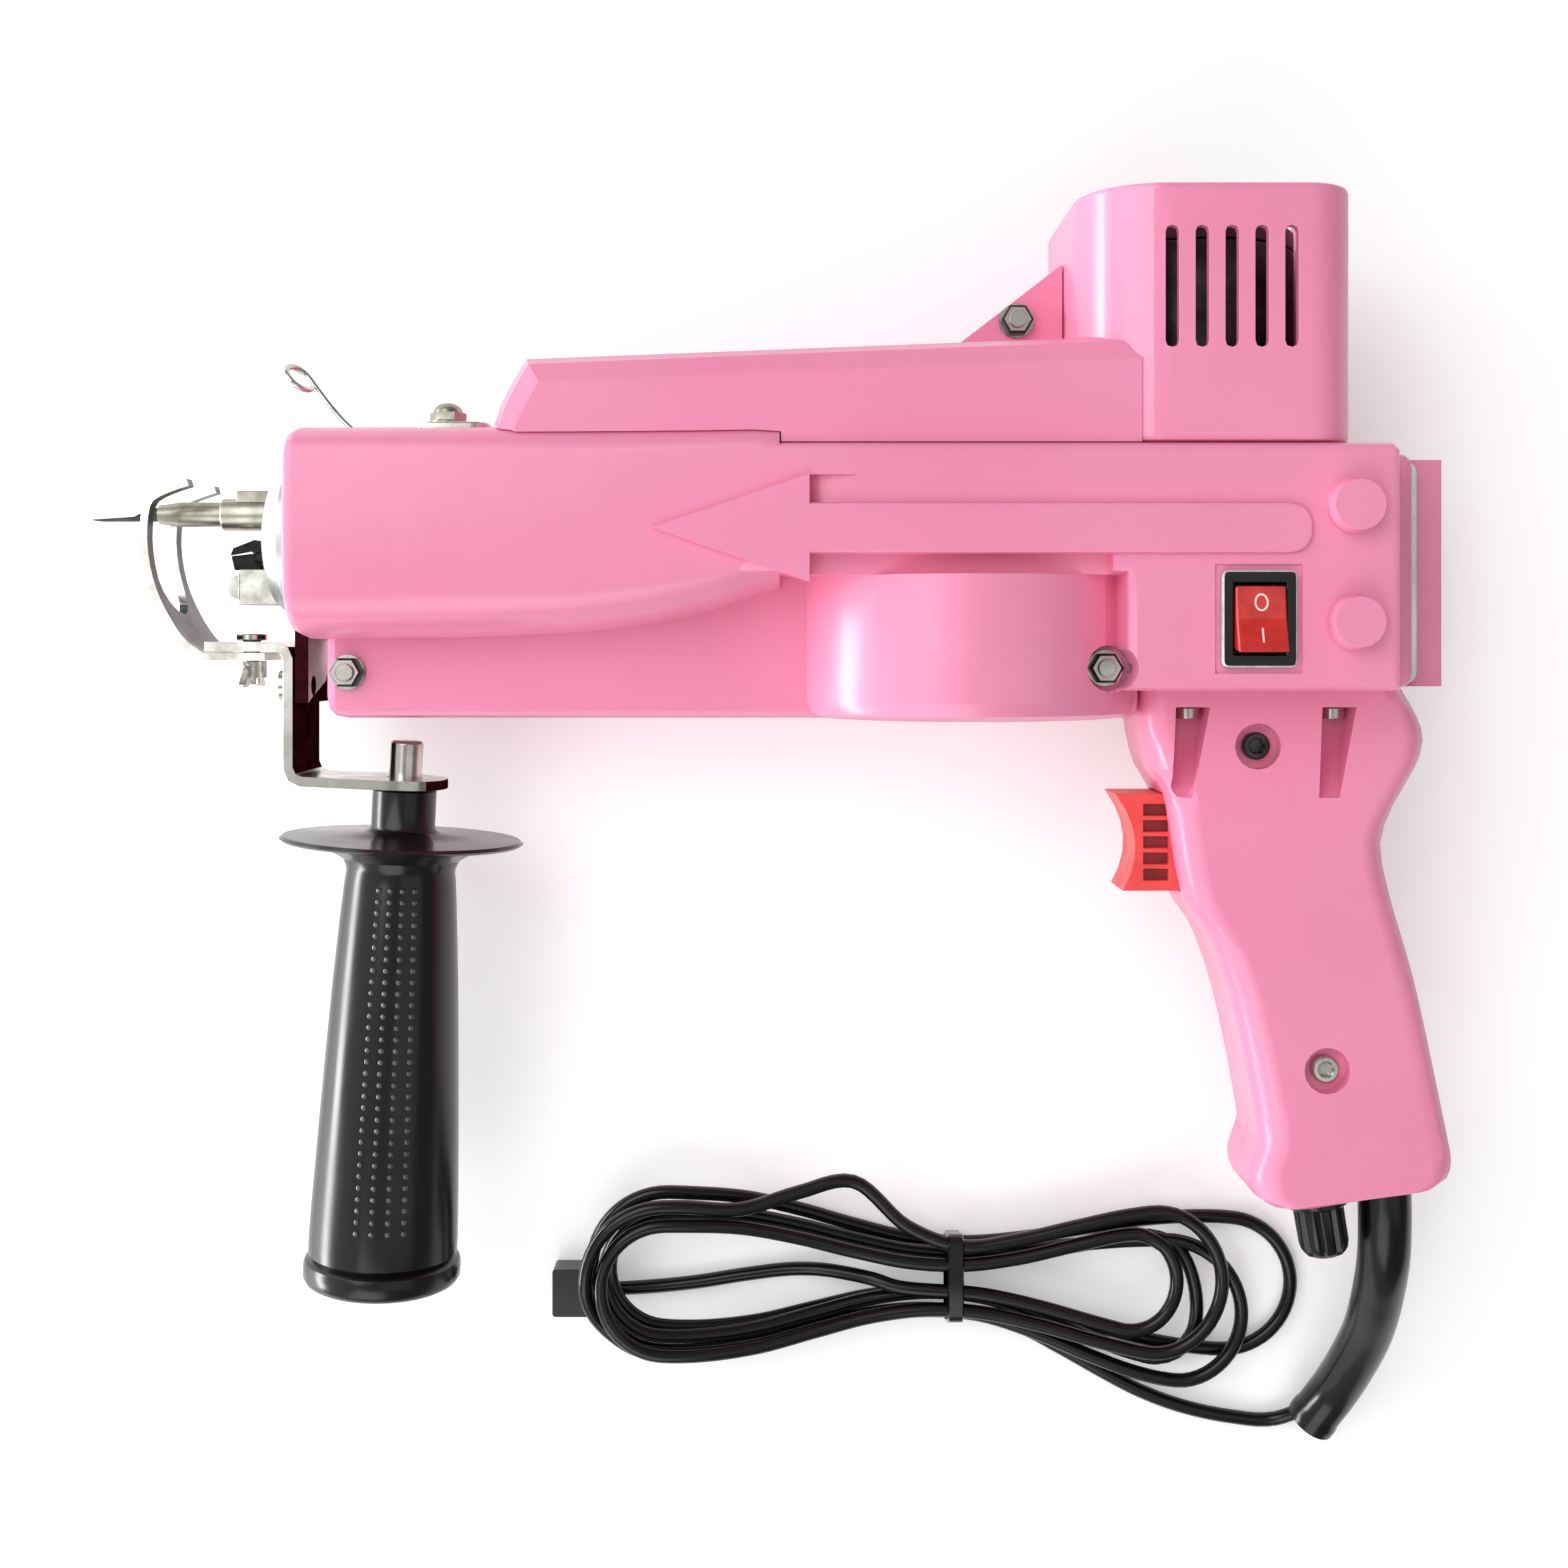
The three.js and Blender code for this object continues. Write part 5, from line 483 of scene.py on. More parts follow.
def curve_through(points: Sequence[Vector], spacing: float) -> list[Vector]:
    """Returns points along a smooth centripetal curve through the given ones.

    Args:
        points: Points of the route in millimetres.
        spacing: About how far apart the new points are in millimetres.

    Returns:
        The points, ends included.
    """
    padded = [points[0] * 2 - points[1], *points, points[-1] * 2 - points[-2]]
    made: list[Vector] = []
    for a, b, c, d in zip(padded, padded[1:], padded[2:], padded[3:]):
        t1 = (b - a).length ** 0.5
        t2 = t1 + (c - b).length ** 0.5
        t3 = t2 + (d - c).length ** 0.5
        steps = max(2, round((c - b).length / spacing))
        for step in range(steps):
            t = t1 + (t2 - t1) * step / steps
            ab = a.lerp(b, t / t1)
            bc = b.lerp(c, (t - t1) / (t2 - t1))
            cd = c.lerp(d, (t - t2) / (t3 - t2))
            abc = ab.lerp(bc, t / t2)
            bcd = bc.lerp(cd, (t - t1) / (t3 - t1))
            made.append(abc.lerp(bcd, (t - t1) / (t2 - t1)))
    made.append(points[-1].copy())
    return made


# How deep each loop of a tube's hollow end lies and how wide it is, as shares of its depth and radius.
MOUTH_SHARES = ((0.0, 0.74), (0.25, 0.68), (1.0, 0.62))


def sweep(route: Sequence[Vector], radii: Callable[[float], float], sides: int = 32,
          mouth: float = 0.0) -> Mesh:
    """Builds a closed round tube along a route, its radius given by the share of the way along.

    Args:
        route: Centre points in the row frame, in metres.
        radii: Radius in metres at a share from 0 to 1.
        sides: Points round the tube.
        mouth: Depth in metres of a round hollow in the far end, or 0 for a flat end.

    Returns:
        The closed mesh.
    """
    work = bmesh.new()
    lengths = [0.0]
    for before, here in zip(route, route[1:]):
        lengths.append(lengths[-1] + (here - before).length)
    across = UP.cross(route[1] - route[0])
    if across.length < 1e-9:
        across = Vector((1, 0, 0))
    loops = []
    for i, spot in enumerate(route):
        ahead = (route[min(i + 1, len(route) - 1)] - route[max(i - 1, 0)]).normalized()
        across = (across - ahead * across.dot(ahead)).normalized()
        other = ahead.cross(across)
        radius = radii(lengths[i] / lengths[-1])
        loops.append([
            work.verts.new(spot + (across * math.cos(turn) + other * math.sin(turn)) * radius)
            for turn in even_turns(sides)
        ])
    if mouth > 0:
        ahead = (route[-1] - route[-2]).normalized()
        rim = loops[-1]
        for inward, share in MOUTH_SHARES:
            middle = route[-1] - ahead * mouth * inward
            loops.append([work.verts.new(middle + (knot.co - route[-1]) * share) for knot in rim])
    mesh = closed_skin(work, loops, "sweep")
    smooth(mesh)
    return mesh


class NodeRecipe:
    """A geometry tree with named inputs that an object runs once and keeps as a plain mesh."""

    def __init__(self, name: str) -> None:
        """Starts the tree with its geometry sockets."""
        self.tree = bpy.data.node_groups.new(name, "GeometryNodeTree")
        self.tree.interface.new_socket("Geometry", in_out="INPUT", socket_type="NodeSocketGeometry")
        self.tree.interface.new_socket("Geometry", in_out="OUTPUT", socket_type="NodeSocketGeometry")
        self.start = self.tree.nodes.new("NodeGroupInput")
        self.identifiers: dict[str, str] = {}

    def size(self, name: str, value: float, whole: bool = False) -> NodeSocket:
        """Adds a named size and returns the socket that carries it in the tree."""
        kind = "NodeSocketInt" if whole else "NodeSocketFloat"
        socket = self.tree.interface.new_socket(name, in_out="INPUT", socket_type=kind)
        socket.default_value = value
        self.identifiers[name] = socket.identifier
        return self.start.outputs[name]

    def add(self, kind: str, inputs: dict[Any, Any] | None = None, **settings: Any) -> NodeSocket:
        """Adds a node to the tree and returns its first output."""
        return add_node(self.tree, kind, inputs, **settings).outputs[0]

    def set_down(self, piece: NodeSocket, turned: NodeSocket, **more: NodeSocket) -> NodeSocket:
        """Sets a copy of a piece, turned, on each point of the object."""
        return self.add("GeometryNodeInstanceOnPoints", {
            "Points": self.start.outputs["Geometry"], "Instance": piece, "Rotation": turned, **more,
        })

    def finish(self, geometry: NodeSocket, surface: Finish) -> None:
        """Ends the tree in Realize Instances and Set Material."""
        real = self.add("GeometryNodeRealizeInstances", {"Geometry": geometry})
        painted = self.add("GeometryNodeSetMaterial", {"Geometry": real, "Material": surface.material()})
        end = self.tree.nodes.new("NodeGroupOutput")
        self.tree.links.new(painted, end.inputs[0])

    def run(self, made: Object, values: dict[str, float]) -> Object:
        """Runs the tree on an object with its sizes and keeps the result as its mesh."""
        modifier = made.modifiers.new(self.tree.name, "NODES")
        modifier.node_group = self.tree
        for name, value in values.items():
            modifier[self.identifiers[name]] = value
        return settled(made)


def dot_rows(surface: Finish) -> NodeRecipe:
    """Builds the tree that sets small domes on a mesh's points, each turned to the point's own normal."""
    recipe = NodeRecipe("grip_dots")
    radius = recipe.size("Dot radius", 0.5 * MM)
    height = recipe.size("Dot height share", 0.6)
    ball = recipe.add("GeometryNodeMeshIcoSphere", {"Radius": radius, "Subdivisions": 2})
    flat = recipe.add("ShaderNodeCombineXYZ", {"X": 1.0, "Y": 1.0, "Z": height})
    normal = recipe.add("GeometryNodeInputNormal")
    turned = recipe.add("FunctionNodeAlignRotationToVector", {"Vector": normal}, axis="Z")
    recipe.finish(recipe.set_down(ball, turned, Scale=flat), surface)
    return recipe


def wire_along(surface: Finish) -> NodeRecipe:
    """Builds the tree that draws a round wire along a mesh line."""
    recipe = NodeRecipe("wire_along")
    radius = recipe.size("Wire radius", 1.0 * MM)
    sides = recipe.size("Sides", 16, whole=True)
    line = recipe.add("GeometryNodeMeshToCurve", {"Mesh": recipe.start.outputs["Geometry"]})
    ring = recipe.add("GeometryNodeCurvePrimitiveCircle", {"Resolution": sides, "Radius": radius})
    body = recipe.add("GeometryNodeCurveToMesh", {"Curve": line, "Profile Curve": ring, "Fill Caps": True})
    recipe.finish(body, surface)
    return recipe


def bolt_ends(surface: Finish) -> NodeRecipe:
    """Builds the tree that sets a washer, a nut and a threaded bolt end on each point, along its axis."""
    recipe = NodeRecipe("bolt_ends")
    flats = recipe.size("Nut radius", 4.04 * MM)
    high = recipe.size("Nut height", 3.2 * MM)
    washer = recipe.size("Washer radius", 4.9 * MM)
    thread = recipe.size("Thread radius", 1.9 * MM)
    pitch = recipe.size("Thread pitch", 0.7 * MM)
    chamfer = 0.4 * MM

    def times(value: NodeSocket, factor: float, more: float = 0.0) -> NodeSocket:
        """Gives a socket's value times a factor, plus a length."""
        return reckon(recipe.tree, "MULTIPLY_ADD", value, factor, more)

    def cylinder(sides: int, radius: NodeSocket, depth: NodeSocket | float) -> NodeSocket:
        """Gives a cylinder about the bolt's axis."""
        return recipe.add("GeometryNodeMeshCylinder", {"Vertices": sides, "Radius": radius, "Depth": depth})

    def circle(sides: int, radius: NodeSocket | float) -> NodeSocket:
        """Gives a ring of points."""
        return recipe.add("GeometryNodeCurvePrimitiveCircle", {"Resolution": sides, "Radius": radius})

    crown = recipe.add("GeometryNodeMeshCone", {
        "Vertices": 6, "Radius Top": times(flats, 0.84), "Radius Bottom": flats, "Depth": chamfer,
    })
    ridge = recipe.add("GeometryNodeCurveToMesh", {
        "Curve": circle(24, thread), "Profile Curve": circle(6, 0.17 * MM),
    })
    rows = recipe.add("GeometryNodeMeshLine", {
        "Count": 3, "Offset": recipe.add("ShaderNodeCombineXYZ", {"Z": pitch}),
    })
    whole = add_node(recipe.tree, "GeometryNodeJoinGeometry")
    for mesh, height in (
        (cylinder(40, washer, 0.7 * MM), times(high, 0.0, 0.1 * MM)),
        (cylinder(6, flats, times(high, 1.0, -chamfer)), times(high, 0.5, -chamfer / 2)),
        (crown, times(high, 1.0, -chamfer)),
        (cylinder(24, thread, times(high, 1.3)), times(high, 0.65)),
        (recipe.add("GeometryNodeInstanceOnPoints", {"Points": rows, "Instance": ridge}), times(high, 0.85)),
    ):
        up = recipe.add("ShaderNodeCombineXYZ", {"Z": height})
        raised = recipe.add("GeometryNodeTransform", {"Geometry": mesh, "Translation": up})
        recipe.tree.links.new(raised, whole.inputs[0])
    axis = recipe.add("GeometryNodeInputNamedAttribute", {"Name": "axis"}, data_type="FLOAT_VECTOR")
    turned = recipe.add("FunctionNodeAlignRotationToVector", {"Vector": axis}, axis="Z")
    recipe.finish(recipe.set_down(whole.outputs[0], turned), surface)
    return recipe


def point_mesh(name: str, points: Sequence[Vector], line: bool = False) -> Mesh:
    """Returns a mesh of bare points, or of points joined in one line."""
    mesh = bpy.data.meshes.new(name)
    edges = [(i, i + 1) for i in range(len(points) - 1)] if line else []
    mesh.from_pydata([tuple(p) for p in points], edges, [])
    return mesh


@dataclass
class Studio:
    """Camera straight above the machine, pale floor with a band at its left that glows as painted light, and
    broad soft lamps.
    """

    picture_px: float = 1568.0
    axis_px: Span = (784.0, 643.0)
    axis_place: Point = (-43.5, -30.9, 450.0)
    focal_px: float = 1867.0
    sensor_mm: float = 36.0
    floor_m: float = 6.0
    lamps: tuple[tuple[Point, tuple[float, float], float], ...] = (
        ((-0.55, 0.55, 1.15), (1.0, 1.0), 7.4),
        ((0.75, -0.1, 1.3), (1.2, 1.2), 2.4),
        ((-0.3, -0.9, 1.0), (0.9, 0.9), 5.4),
        ((-0.85, -0.05, 0.08), (0.9, 0.18), 10.0),
    )
    aim: Point = (0.0, 0.0, 0.04)
    room: Span = (0.8, 0.2)
    room_span: Span = (-1.0, 0.6)
    glow: Span = (0.26, 1.5)
    glow_span: Span = (-0.19, -0.23)

    def camera(self) -> None:
        """Makes the camera at the photograph's place and lens."""
        lens = bpy.data.cameras.new("camera")
        lens.sensor_width = self.sensor_mm
        lens.lens = self.focal_px / self.picture_px * self.sensor_mm
        lens.shift_y = (self.axis_px[1] - self.picture_px / 2) / self.picture_px
        lens.clip_start = 0.01
        made = bpy.data.objects.new("camera", lens)
        made.location = place(*self.axis_place)
        bpy.context.scene.collection.objects.link(made)
        bpy.context.scene.camera = made

    def floor(self) -> None:
        """Makes the pale floor, which keeps the machine's shadow; its left band glows for camera and mirror
        rays as painted light.
        """
        mesh = bpy.data.meshes.new("floor")
        half = self.floor_m / 2
        corners = [(-half, -half, 0), (half, -half, 0), (half, half, 0), (-half, half, 0)]
        mesh.from_pydata(corners, [], [(0, 1, 2, 3)])
        made = plain_object("floor", mesh)
        paper = bpy.data.materials.new("white_paper_floor")
        tree = empty_tree(paper)
        flat = add_node(tree, "ShaderNodeBsdfDiffuse", {"Color": linear("#F4F4F4")})
        path = add_node(tree, "ShaderNodeLightPath")
        seen = reckon(tree, "MAXIMUM", path.outputs["Is Camera Ray"], path.outputs["Is Glossy Ray"])
        across = add_node(tree, "ShaderNodeSeparateXYZ", {
            "Vector": add_node(tree, "ShaderNodeTexCoord").outputs["Object"],
        }).outputs["X"]
        # Left of glow_span the floor glows at up to 1.5 for camera and mirror rays: painted light whose
        # reflection lies along the handle's left side.
        lift = reckon(tree, "MULTIPLY", seen, ease(tree, across, self.glow_span, self.glow))
        glow = add_node(tree, "ShaderNodeEmission", {"Color": linear("#FFFFFF"), "Strength": lift})
        both = add_node(tree, "ShaderNodeAddShader", {0: flat.outputs[0], 1: glow.outputs[0]})
        add_node(tree, "ShaderNodeOutputMaterial", {"Surface": both.outputs[0]})
        mesh.materials.append(paper)

    def light(self) -> None:
        """Hangs the lamps and sets the even room light."""
        for i, (spot, size, power) in enumerate(self.lamps):
            lamp = bpy.data.lights.new(f"softbox_{i + 1}", "AREA")
            lamp.shape = "RECTANGLE"
            lamp.size, lamp.size_y = size
            lamp.energy = power
            made = bpy.data.objects.new(lamp.name, lamp)
            made.location = spot
            made.rotation_euler = (Vector(spot) - Vector(self.aim)).to_track_quat("Z", "Y").to_euler()
            bpy.context.scene.collection.objects.link(made)
        world = bpy.data.worlds.new("room")
        tree = empty_tree(world)
        path = add_node(tree, "ShaderNodeLightPath")
        way = add_node(tree, "ShaderNodeSeparateXYZ", {
            "Vector": add_node(tree, "ShaderNodeTexCoord").outputs["Generated"],
        }).outputs["X"]
        level = add_node(tree, "ShaderNodeMix", {
            "Factor": path.outputs["Is Camera Ray"], 2: ease(tree, way, self.room_span, self.room), 3: 1.0,
        }, data_type="FLOAT").outputs[0]
        air = add_node(tree, "ShaderNodeBackground", {"Color": linear("#FFFFFF"), "Strength": level})
        add_node(tree, "ShaderNodeOutputWorld", {"Surface": air.outputs[0]})
        bpy.context.scene.world = world
        bpy.context.scene.view_settings.view_transform = "Standard"


@dataclass
class SupplyCord:
    """The cord from the grip through its sleeve, the hank and the tie to the connector.

    The hank is wound in flat layers of a long loop. A strand climbs from layer to layer on its straight runs,
    turns wider at the right end, is drawn in at the waist by the tie and passes over the tail at the left.
    """

    diameter: float = 3.6
    sleeve_diameter: float = 12.6
    sleeve_route: tuple[Point, ...] = (
        (101.1, -160.6, 0), (101.4, -170, -0.4), (102, -179.6, -3), (103, -192, -11), (103.4, -204.2, -20.2),
        (101.8, -215, -28), (99.2, -224.2, -34), (94.2, -234, -38.3),
    )
    lead_route: tuple[Point, ...] = (
        (86, -235.3, -42.2), (74, -234.7, -42.2), (61, -231.9, -42.2), (50, -227.8, -42.2),
        (40, -222.6, -42.2), (29.4, -216.6, -42.2), (18.5, -210.9, -42.2),
    )
    tail_route: tuple[Point, ...] = (
        (-13.9, -197.9, -34.1), (-19.9, -196.4, -35.5), (-25.9, -195.9, -38.2), (-33.9, -195.6, -41),
        (-41.9, -195.9, -42.2), (-53.9, -197.3, -42.2), (-65.9, -199.2, -42.2), (-76.9, -200.3, -42),
        (-85.9, -200.6, -41.2), (-90.8, -200.6, -41),
    )
    hank_centre: Span = (-1.9, -196.4)
    hank_tilt: float = -3.0
    tilt_step: float = 1.1
    half_length: float = 92.8
    half_width: float = 21.0
    step: float = 4.75
    right_step: float = 7.0
    right_shift: float = 8.0
    right_blend: float = 0.2
    layer_rise: float = 4.6
    turns: int = 5
    layers: int = 3
    steps_per_turn: int = 24
    steps_per_end: int = 7
    waist_dip: float = 10.8
    waist_reach: float = 64.0
    start_share: float = 0.09
    lift: float = 7.3
    lift_start: float = -14.0
    lift_run: float = 66.0
    rest_drop: float = 45.0
    clearance: float = 1.0
    slack_turns: Span = (3.3, 3.75)
    slack_place: float = -27.0
    slack_rise: float = 13.5
    slack_left: float = 23.0
    slack_right: float = 28.0
    climb_span: Span = (0.75, 0.25)
    drop_turns: float = 0.14
    fan_span: Span = (0.5, 0.1)
    fan_reach: float = 8.0
    fan_drop: float = 6.5
    strap_gap: float = 0.25
    strap_half: float = 2.1
    strap_thickness: float = 0.9
    strap_steps: int = 24
    point_spacing: float = 2.5
    least_spacing: float = 3.0
    rim_start: float = 0.965
    rim_share: float = 0.05
    mouth: float = 4.0
    length: float = field(default=0.0, init=False)

    @property
    def per_layer(self) -> float:
        """Turns in one layer of the hank."""
        return self.turns / self.layers

    @property
    def end_share(self) -> float:
        """Share of a turn that one rounded end takes."""
        return self.steps_per_end / self.steps_per_turn

    def _wound(self, turns: float) -> Span:
        """Returns how many turns in from the widest a strand lies, and how many layers it has climbed."""
        layer = min(int(turns / self.per_layer), self.layers - 1)
        wound = turns - layer * self.per_layer
        early, late = ((0.5 - self.end_share) * share for share in self.climb_span)
        climb = sum(self._step(turns, k * self.per_layer - early, k * self.per_layer - late)
                    for k in range(1, self.layers))
        return (wound if layer % 2 == 0 else self.per_layer - wound), climb

    def _lap(self, lap: float, half_width: float, reach: float, shift: float) -> Span:
        """Returns the place along and across the loop at a share of one lap, with its right end drawn in."""
        side = -1 if lap < 0.5 else 1
        half_lap = lap % 0.5
        run_share = 0.5 - self.end_share
        run = half_lap / run_share
        if run < 1:
            from_right = run if side < 0 else 1 - run
            pulled = shift * max(1 - from_right / self.right_blend, 0)
            return reach * (1 - 2 * from_right) - pulled, side * half_width
        turn = side * math.pi / 2 - math.pi * (half_lap - run_share) / self.end_share
        end = -reach if side < 0 else reach - shift
        return end + math.cos(turn) * half_width, math.sin(turn) * half_width

    def hank_point(self, turns: float) -> Vector:
        """Returns the hank's centreline in millimetres after a number of turns."""
        inner, climb = self._wound(turns)
        half_width = self.half_width - self.step * inner
        reach = self.half_length - self.half_width
        shift = self.right_step * inner + self.right_shift * climb
        x, y = self._lap((turns + self.start_share) % 1, half_width, reach, shift)
        dip = self.waist_dip * self._hump(abs(x) / self.waist_reach)
        drawn = y - math.copysign(1, y) * dip * min(abs(y) / half_width, 1)
        slack = self._slack(turns, x)
        fan = self._step(x, 0, reach)
        dropped = self._step(turns, self.per_layer, self.per_layer + self.drop_turns) * min(2 - climb, 1)
        drawn += slack * self.slack_rise - self.fan_drop * fan * dropped
        early, late = (self.per_layer - back for back in self.fan_span)
        x += self.fan_reach * fan * (1 - self._step(turns, early, late))
        lift = self._step(self.lift_start - x, 0, self.lift_run)
        floor = -self.rest_drop + self.clearance + self.diameter / 2
        tilt = math.radians(self.hank_tilt + self.tilt_step * climb)
        return Vector((
            self.hank_centre[0] + x * math.cos(tilt) - drawn * math.sin(tilt),
            self.hank_centre[1] + x * math.sin(tilt) + drawn * math.cos(tilt),
            floor + climb * self.layer_rise + lift * self.lift,
        ))

    def _slack(self, turns: float, x: float) -> float:
        """Returns how far along its slack loop one strand is drawn out of the hank, from 0 to 1."""
        if not self.slack_turns[0] < turns < self.slack_turns[1]:
            return 0.0
        aside = x - self.slack_place
        return self._hump(abs(aside) / (self.slack_left if aside < 0 else self.slack_right))

    @staticmethod
    def _hump(share: float) -> float:
        """Returns a smooth hump: 1 at 0, 0 from 1 on."""
        return math.cos(math.pi / 2 * min(share, 1)) ** 2

    @staticmethod
    def _step(value: float, low: float, high: float) -> float:
        """Returns a smooth step from 0 at low to 1 at high."""
        share = min(max((value - low) / (high - low), 0), 1)
        return share * share * (3 - 2 * share)

    def route(self) -> list[Vector]:
        """Returns the whole centreline in millimetres, from the grip to the connector."""
        fine = 2 * self.steps_per_turn
        hank = [self.hank_point(i / fine) for i in range(self.turns * fine + 1)]
        rough = [*map(Vector, self.sleeve_route[:-1]), *map(Vector, self.lead_route), *hank,
                 *map(Vector, self.tail_route)]
        spaced = [rough[0]]
        for spot in rough[1:]:
            if (spot - spaced[-1]).length > self.least_spacing:
                spaced.append(spot)
        return curve_through(spaced, self.point_spacing)

    def cable(self) -> Object:
        """Makes the one cord as a curve of one open spline."""
        points = [place(*spot) for spot in self.route()]
        self.length = sum((b - a).length for a, b in zip(points, points[1:]))
        data = bpy.data.curves.new("supply_cord", "CURVE")
        data.dimensions = "3D"
        data.bevel_depth = self.diameter / 2 * MM
        data.bevel_resolution = 4
        data.use_fill_caps = True
        spline = data.splines.new("POLY")
        spline.points.add(len(points) - 1)
        for knot, spot in zip(spline.points, points):
            knot.co = (*spot, 1.0)
        made = bpy.data.objects.new("supply_cord", data)
        bpy.context.scene.collection.objects.link(made)
        data.materials.append(PVC_SHEATH.material())
        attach(made, "body")
        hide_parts("cord_lead", "cord_hank", "cord_tail")
        return made

    def sleeve(self) -> Object:
        """Makes the bend sleeve: a thick tube with a rolled rim at its open end."""
        route = [place(*spot) for spot in curve_through([Vector(p) for p in self.sleeve_route], 1.2)]
        radius = self.sleeve_diameter / 2 * MM

        def radii(share: float) -> float:
            """Gives the sleeve's radius at a share of its length."""
            taper = radius * (1.0 - self.rim_share * share)
            rim = radius * self.rim_share if share > self.rim_start else 0.0
            return taper + rim

        made = plain_object("cord_sleeve", sweep(route, radii, 40, self.mouth * MM), PVC_SHEATH)
        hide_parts("cord_boot")
        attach(made, "body")
        return made

    def band(self) -> Object:
        """Makes the tie: a flat strap drawn tight round the strands it holds."""
        low, high = (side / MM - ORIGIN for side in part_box("hank_tie"))
        across = (low.x + high.x) / 2
        points = self.route()
        reach = self.diameter / 2 + self.strap_gap
        rim: list[Span] = []
        for a, b in zip(points, points[1:]):
            if (a.x - across) * (b.x - across) > 0 or not low.y < a.y < high.y:
                continue
            spot = a.lerp(b, (across - a.x) / (b.x - a.x)) if a.x != b.x else a
            rim += [(spot.y + reach * math.cos(turn), spot.z + reach * math.sin(turn))
                    for turn in even_turns(self.strap_steps)]
        loop = [Vector(rim[i]) for i in convex_hull_2d(rim)]
        centre = sum(loop, Vector((0, 0))) / len(loop)
        work = bmesh.new()
        rows = []
        for knot in loop:
            out = (knot - centre).normalized() * self.strap_thickness
            far = knot + out
            row = []
            for (y, z), aside in ((knot, 1.0), (far, 0.8), (far, -0.8), (knot, -1.0)):
                height = max(z, -self.rest_drop + self.strap_gap)
                row.append(work.verts.new(place(across + aside * self.strap_half, y, height)))
            rows.append(row)
        for row, after in zip(rows, rows[1:] + rows[:1]):
            for i in range(4):
                work.faces.new((row[i], row[(i + 1) % 4], after[(i + 1) % 4], after[i]))
        mesh = mesh_of(work, "hank_band")
        smooth(mesh)
        made = plain_object("hank_band", mesh, GLOSS_BLACK)
        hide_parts("hank_tie")
        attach(made, "body")
        return made

    def build(self) -> None:
        cable = self.cable()
        sleeve = self.sleeve()
        band = self.band()
        plug = dressed("cord_connector", GLOSS_BLACK, 0.5, name="connector_shell")
        LOG.info("cord is %.3f m long", self.length)


@dataclass
class Shells:
    """The moulded covers, the housing, the shroud and the metal frame between them."""

    cover_edge: float = 0.5
    frame_edge: float = 0.25
    shaded_corner: Span = (-147.5, -26.0)

    def build(self) -> None:
        """Dresses the shells and the frame, whose lower front corner is given painted shade."""
        for node in ("left_cover", "right_cover", "upper_housing", "motor_shroud"):
            dressed(node, PINK_NYLON, self.cover_edge)
            LOG.info("shell %s", node)
        made = dressed("body_frame", CAST_ALUMINIUM, self.frame_edge)
        across, down = self.shaded_corner
        # The frame's lower front corner gets painted shade, dark like the strap's shaded inner face.
        paint(made, PAINTED_SHADE_STEEL, lambda spot, _: spot.x < across and spot.y < down)


@dataclass
class ThroughBolts:
    """The bolts through the covers and the web: washer, hexagon nut and threaded end on each side."""

    nut_radius: float = 3.8
    nut_height: float = 3.2
    thread_radius: float = 1.9
    washer_radius: float = 4.1
    rim_share: float = 0.78
    bolts: tuple[tuple[str, float, float, float], ...] = (
        ("shell_bolt_front", -145.1, -37.7, 15.3),
        ("shell_bolt_rear", 29.5, -36.6, 25.3),
        ("shroud_bolt", 11.7, 45.6, 6.3),
    )

    def build(self) -> None:
        """Makes the three bolts, each standing for its CAD node."""
        recipe = bolt_ends(ZINC_STEEL)
        for node, x, y, half in self.bolts:
            mesh = point_mesh(node, [place(x, y, side * half) for side in (-1, 1)])
            axes = mesh.attributes.new("axis", "FLOAT_VECTOR", "POINT")
            axes.data.foreach_set("vector", (0, 0, -1, 0, 0, 1))
            ends = recipe.run(plain_object(f"{node}_ends", mesh), {
                "Nut radius": self.nut_radius * MM, "Nut height": self.nut_height * MM,
                "Washer radius": self.washer_radius * MM, "Thread radius": self.thread_radius * MM,
            })
            # The outer part of each nut and its washer take the dark steel as painted shade, a dark ring
            # round the bright bolt end.
            rim = self.nut_radius * self.rim_share
            paint(ends, DARK_STEEL_AND_SHADE, lambda spot, _, x=x, y=y: math.hypot(spot.x - x, spot.y - y) > rim)
            stack = rings((self.thread_radius, 0.0), (self.thread_radius, 2 * half))
            rod = ring_stack(stack, along(place(x, y, -half), UP), 24)
            shank = joined(f"{node}_shank", [rod], ZINC_STEEL)
            for piece in (ends, shank):
                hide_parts(node)
                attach(piece, "body")


@dataclass
class Drive:
    """Motor, gears, crank, rod and crosshead inside the shells."""

    # The motor's can takes the dark steel, partly painted shade for the hollow inside the shroud.
    metal: tuple[tuple[str, Finish, float], ...] = (
        ("motor_can", DARK_STEEL_AND_SHADE, 0.4), ("motor_end_bell", PHENOLIC, 0.3),
        ("motor_deck", CAST_ALUMINIUM, 0.3), ("motor_shaft", GROUND_STEEL, 0), ("pinion", GROUND_STEEL, 0),
        ("crank_gear", GROUND_STEEL, 0), ("gear_deck", CAST_ALUMINIUM, 0.3), ("gear_axle", GROUND_STEEL, 0),
        ("crank_pin", GROUND_STEEL, 0.2), ("connecting_rod", GROUND_STEEL, 0.3),
        ("wrist_pin", GROUND_STEEL, 0.2), ("crosshead", CAST_ALUMINIUM, 0.3),
    )

    def build(self) -> None:
        """Dresses each piece of the drive."""
        dress_all(self.metal)


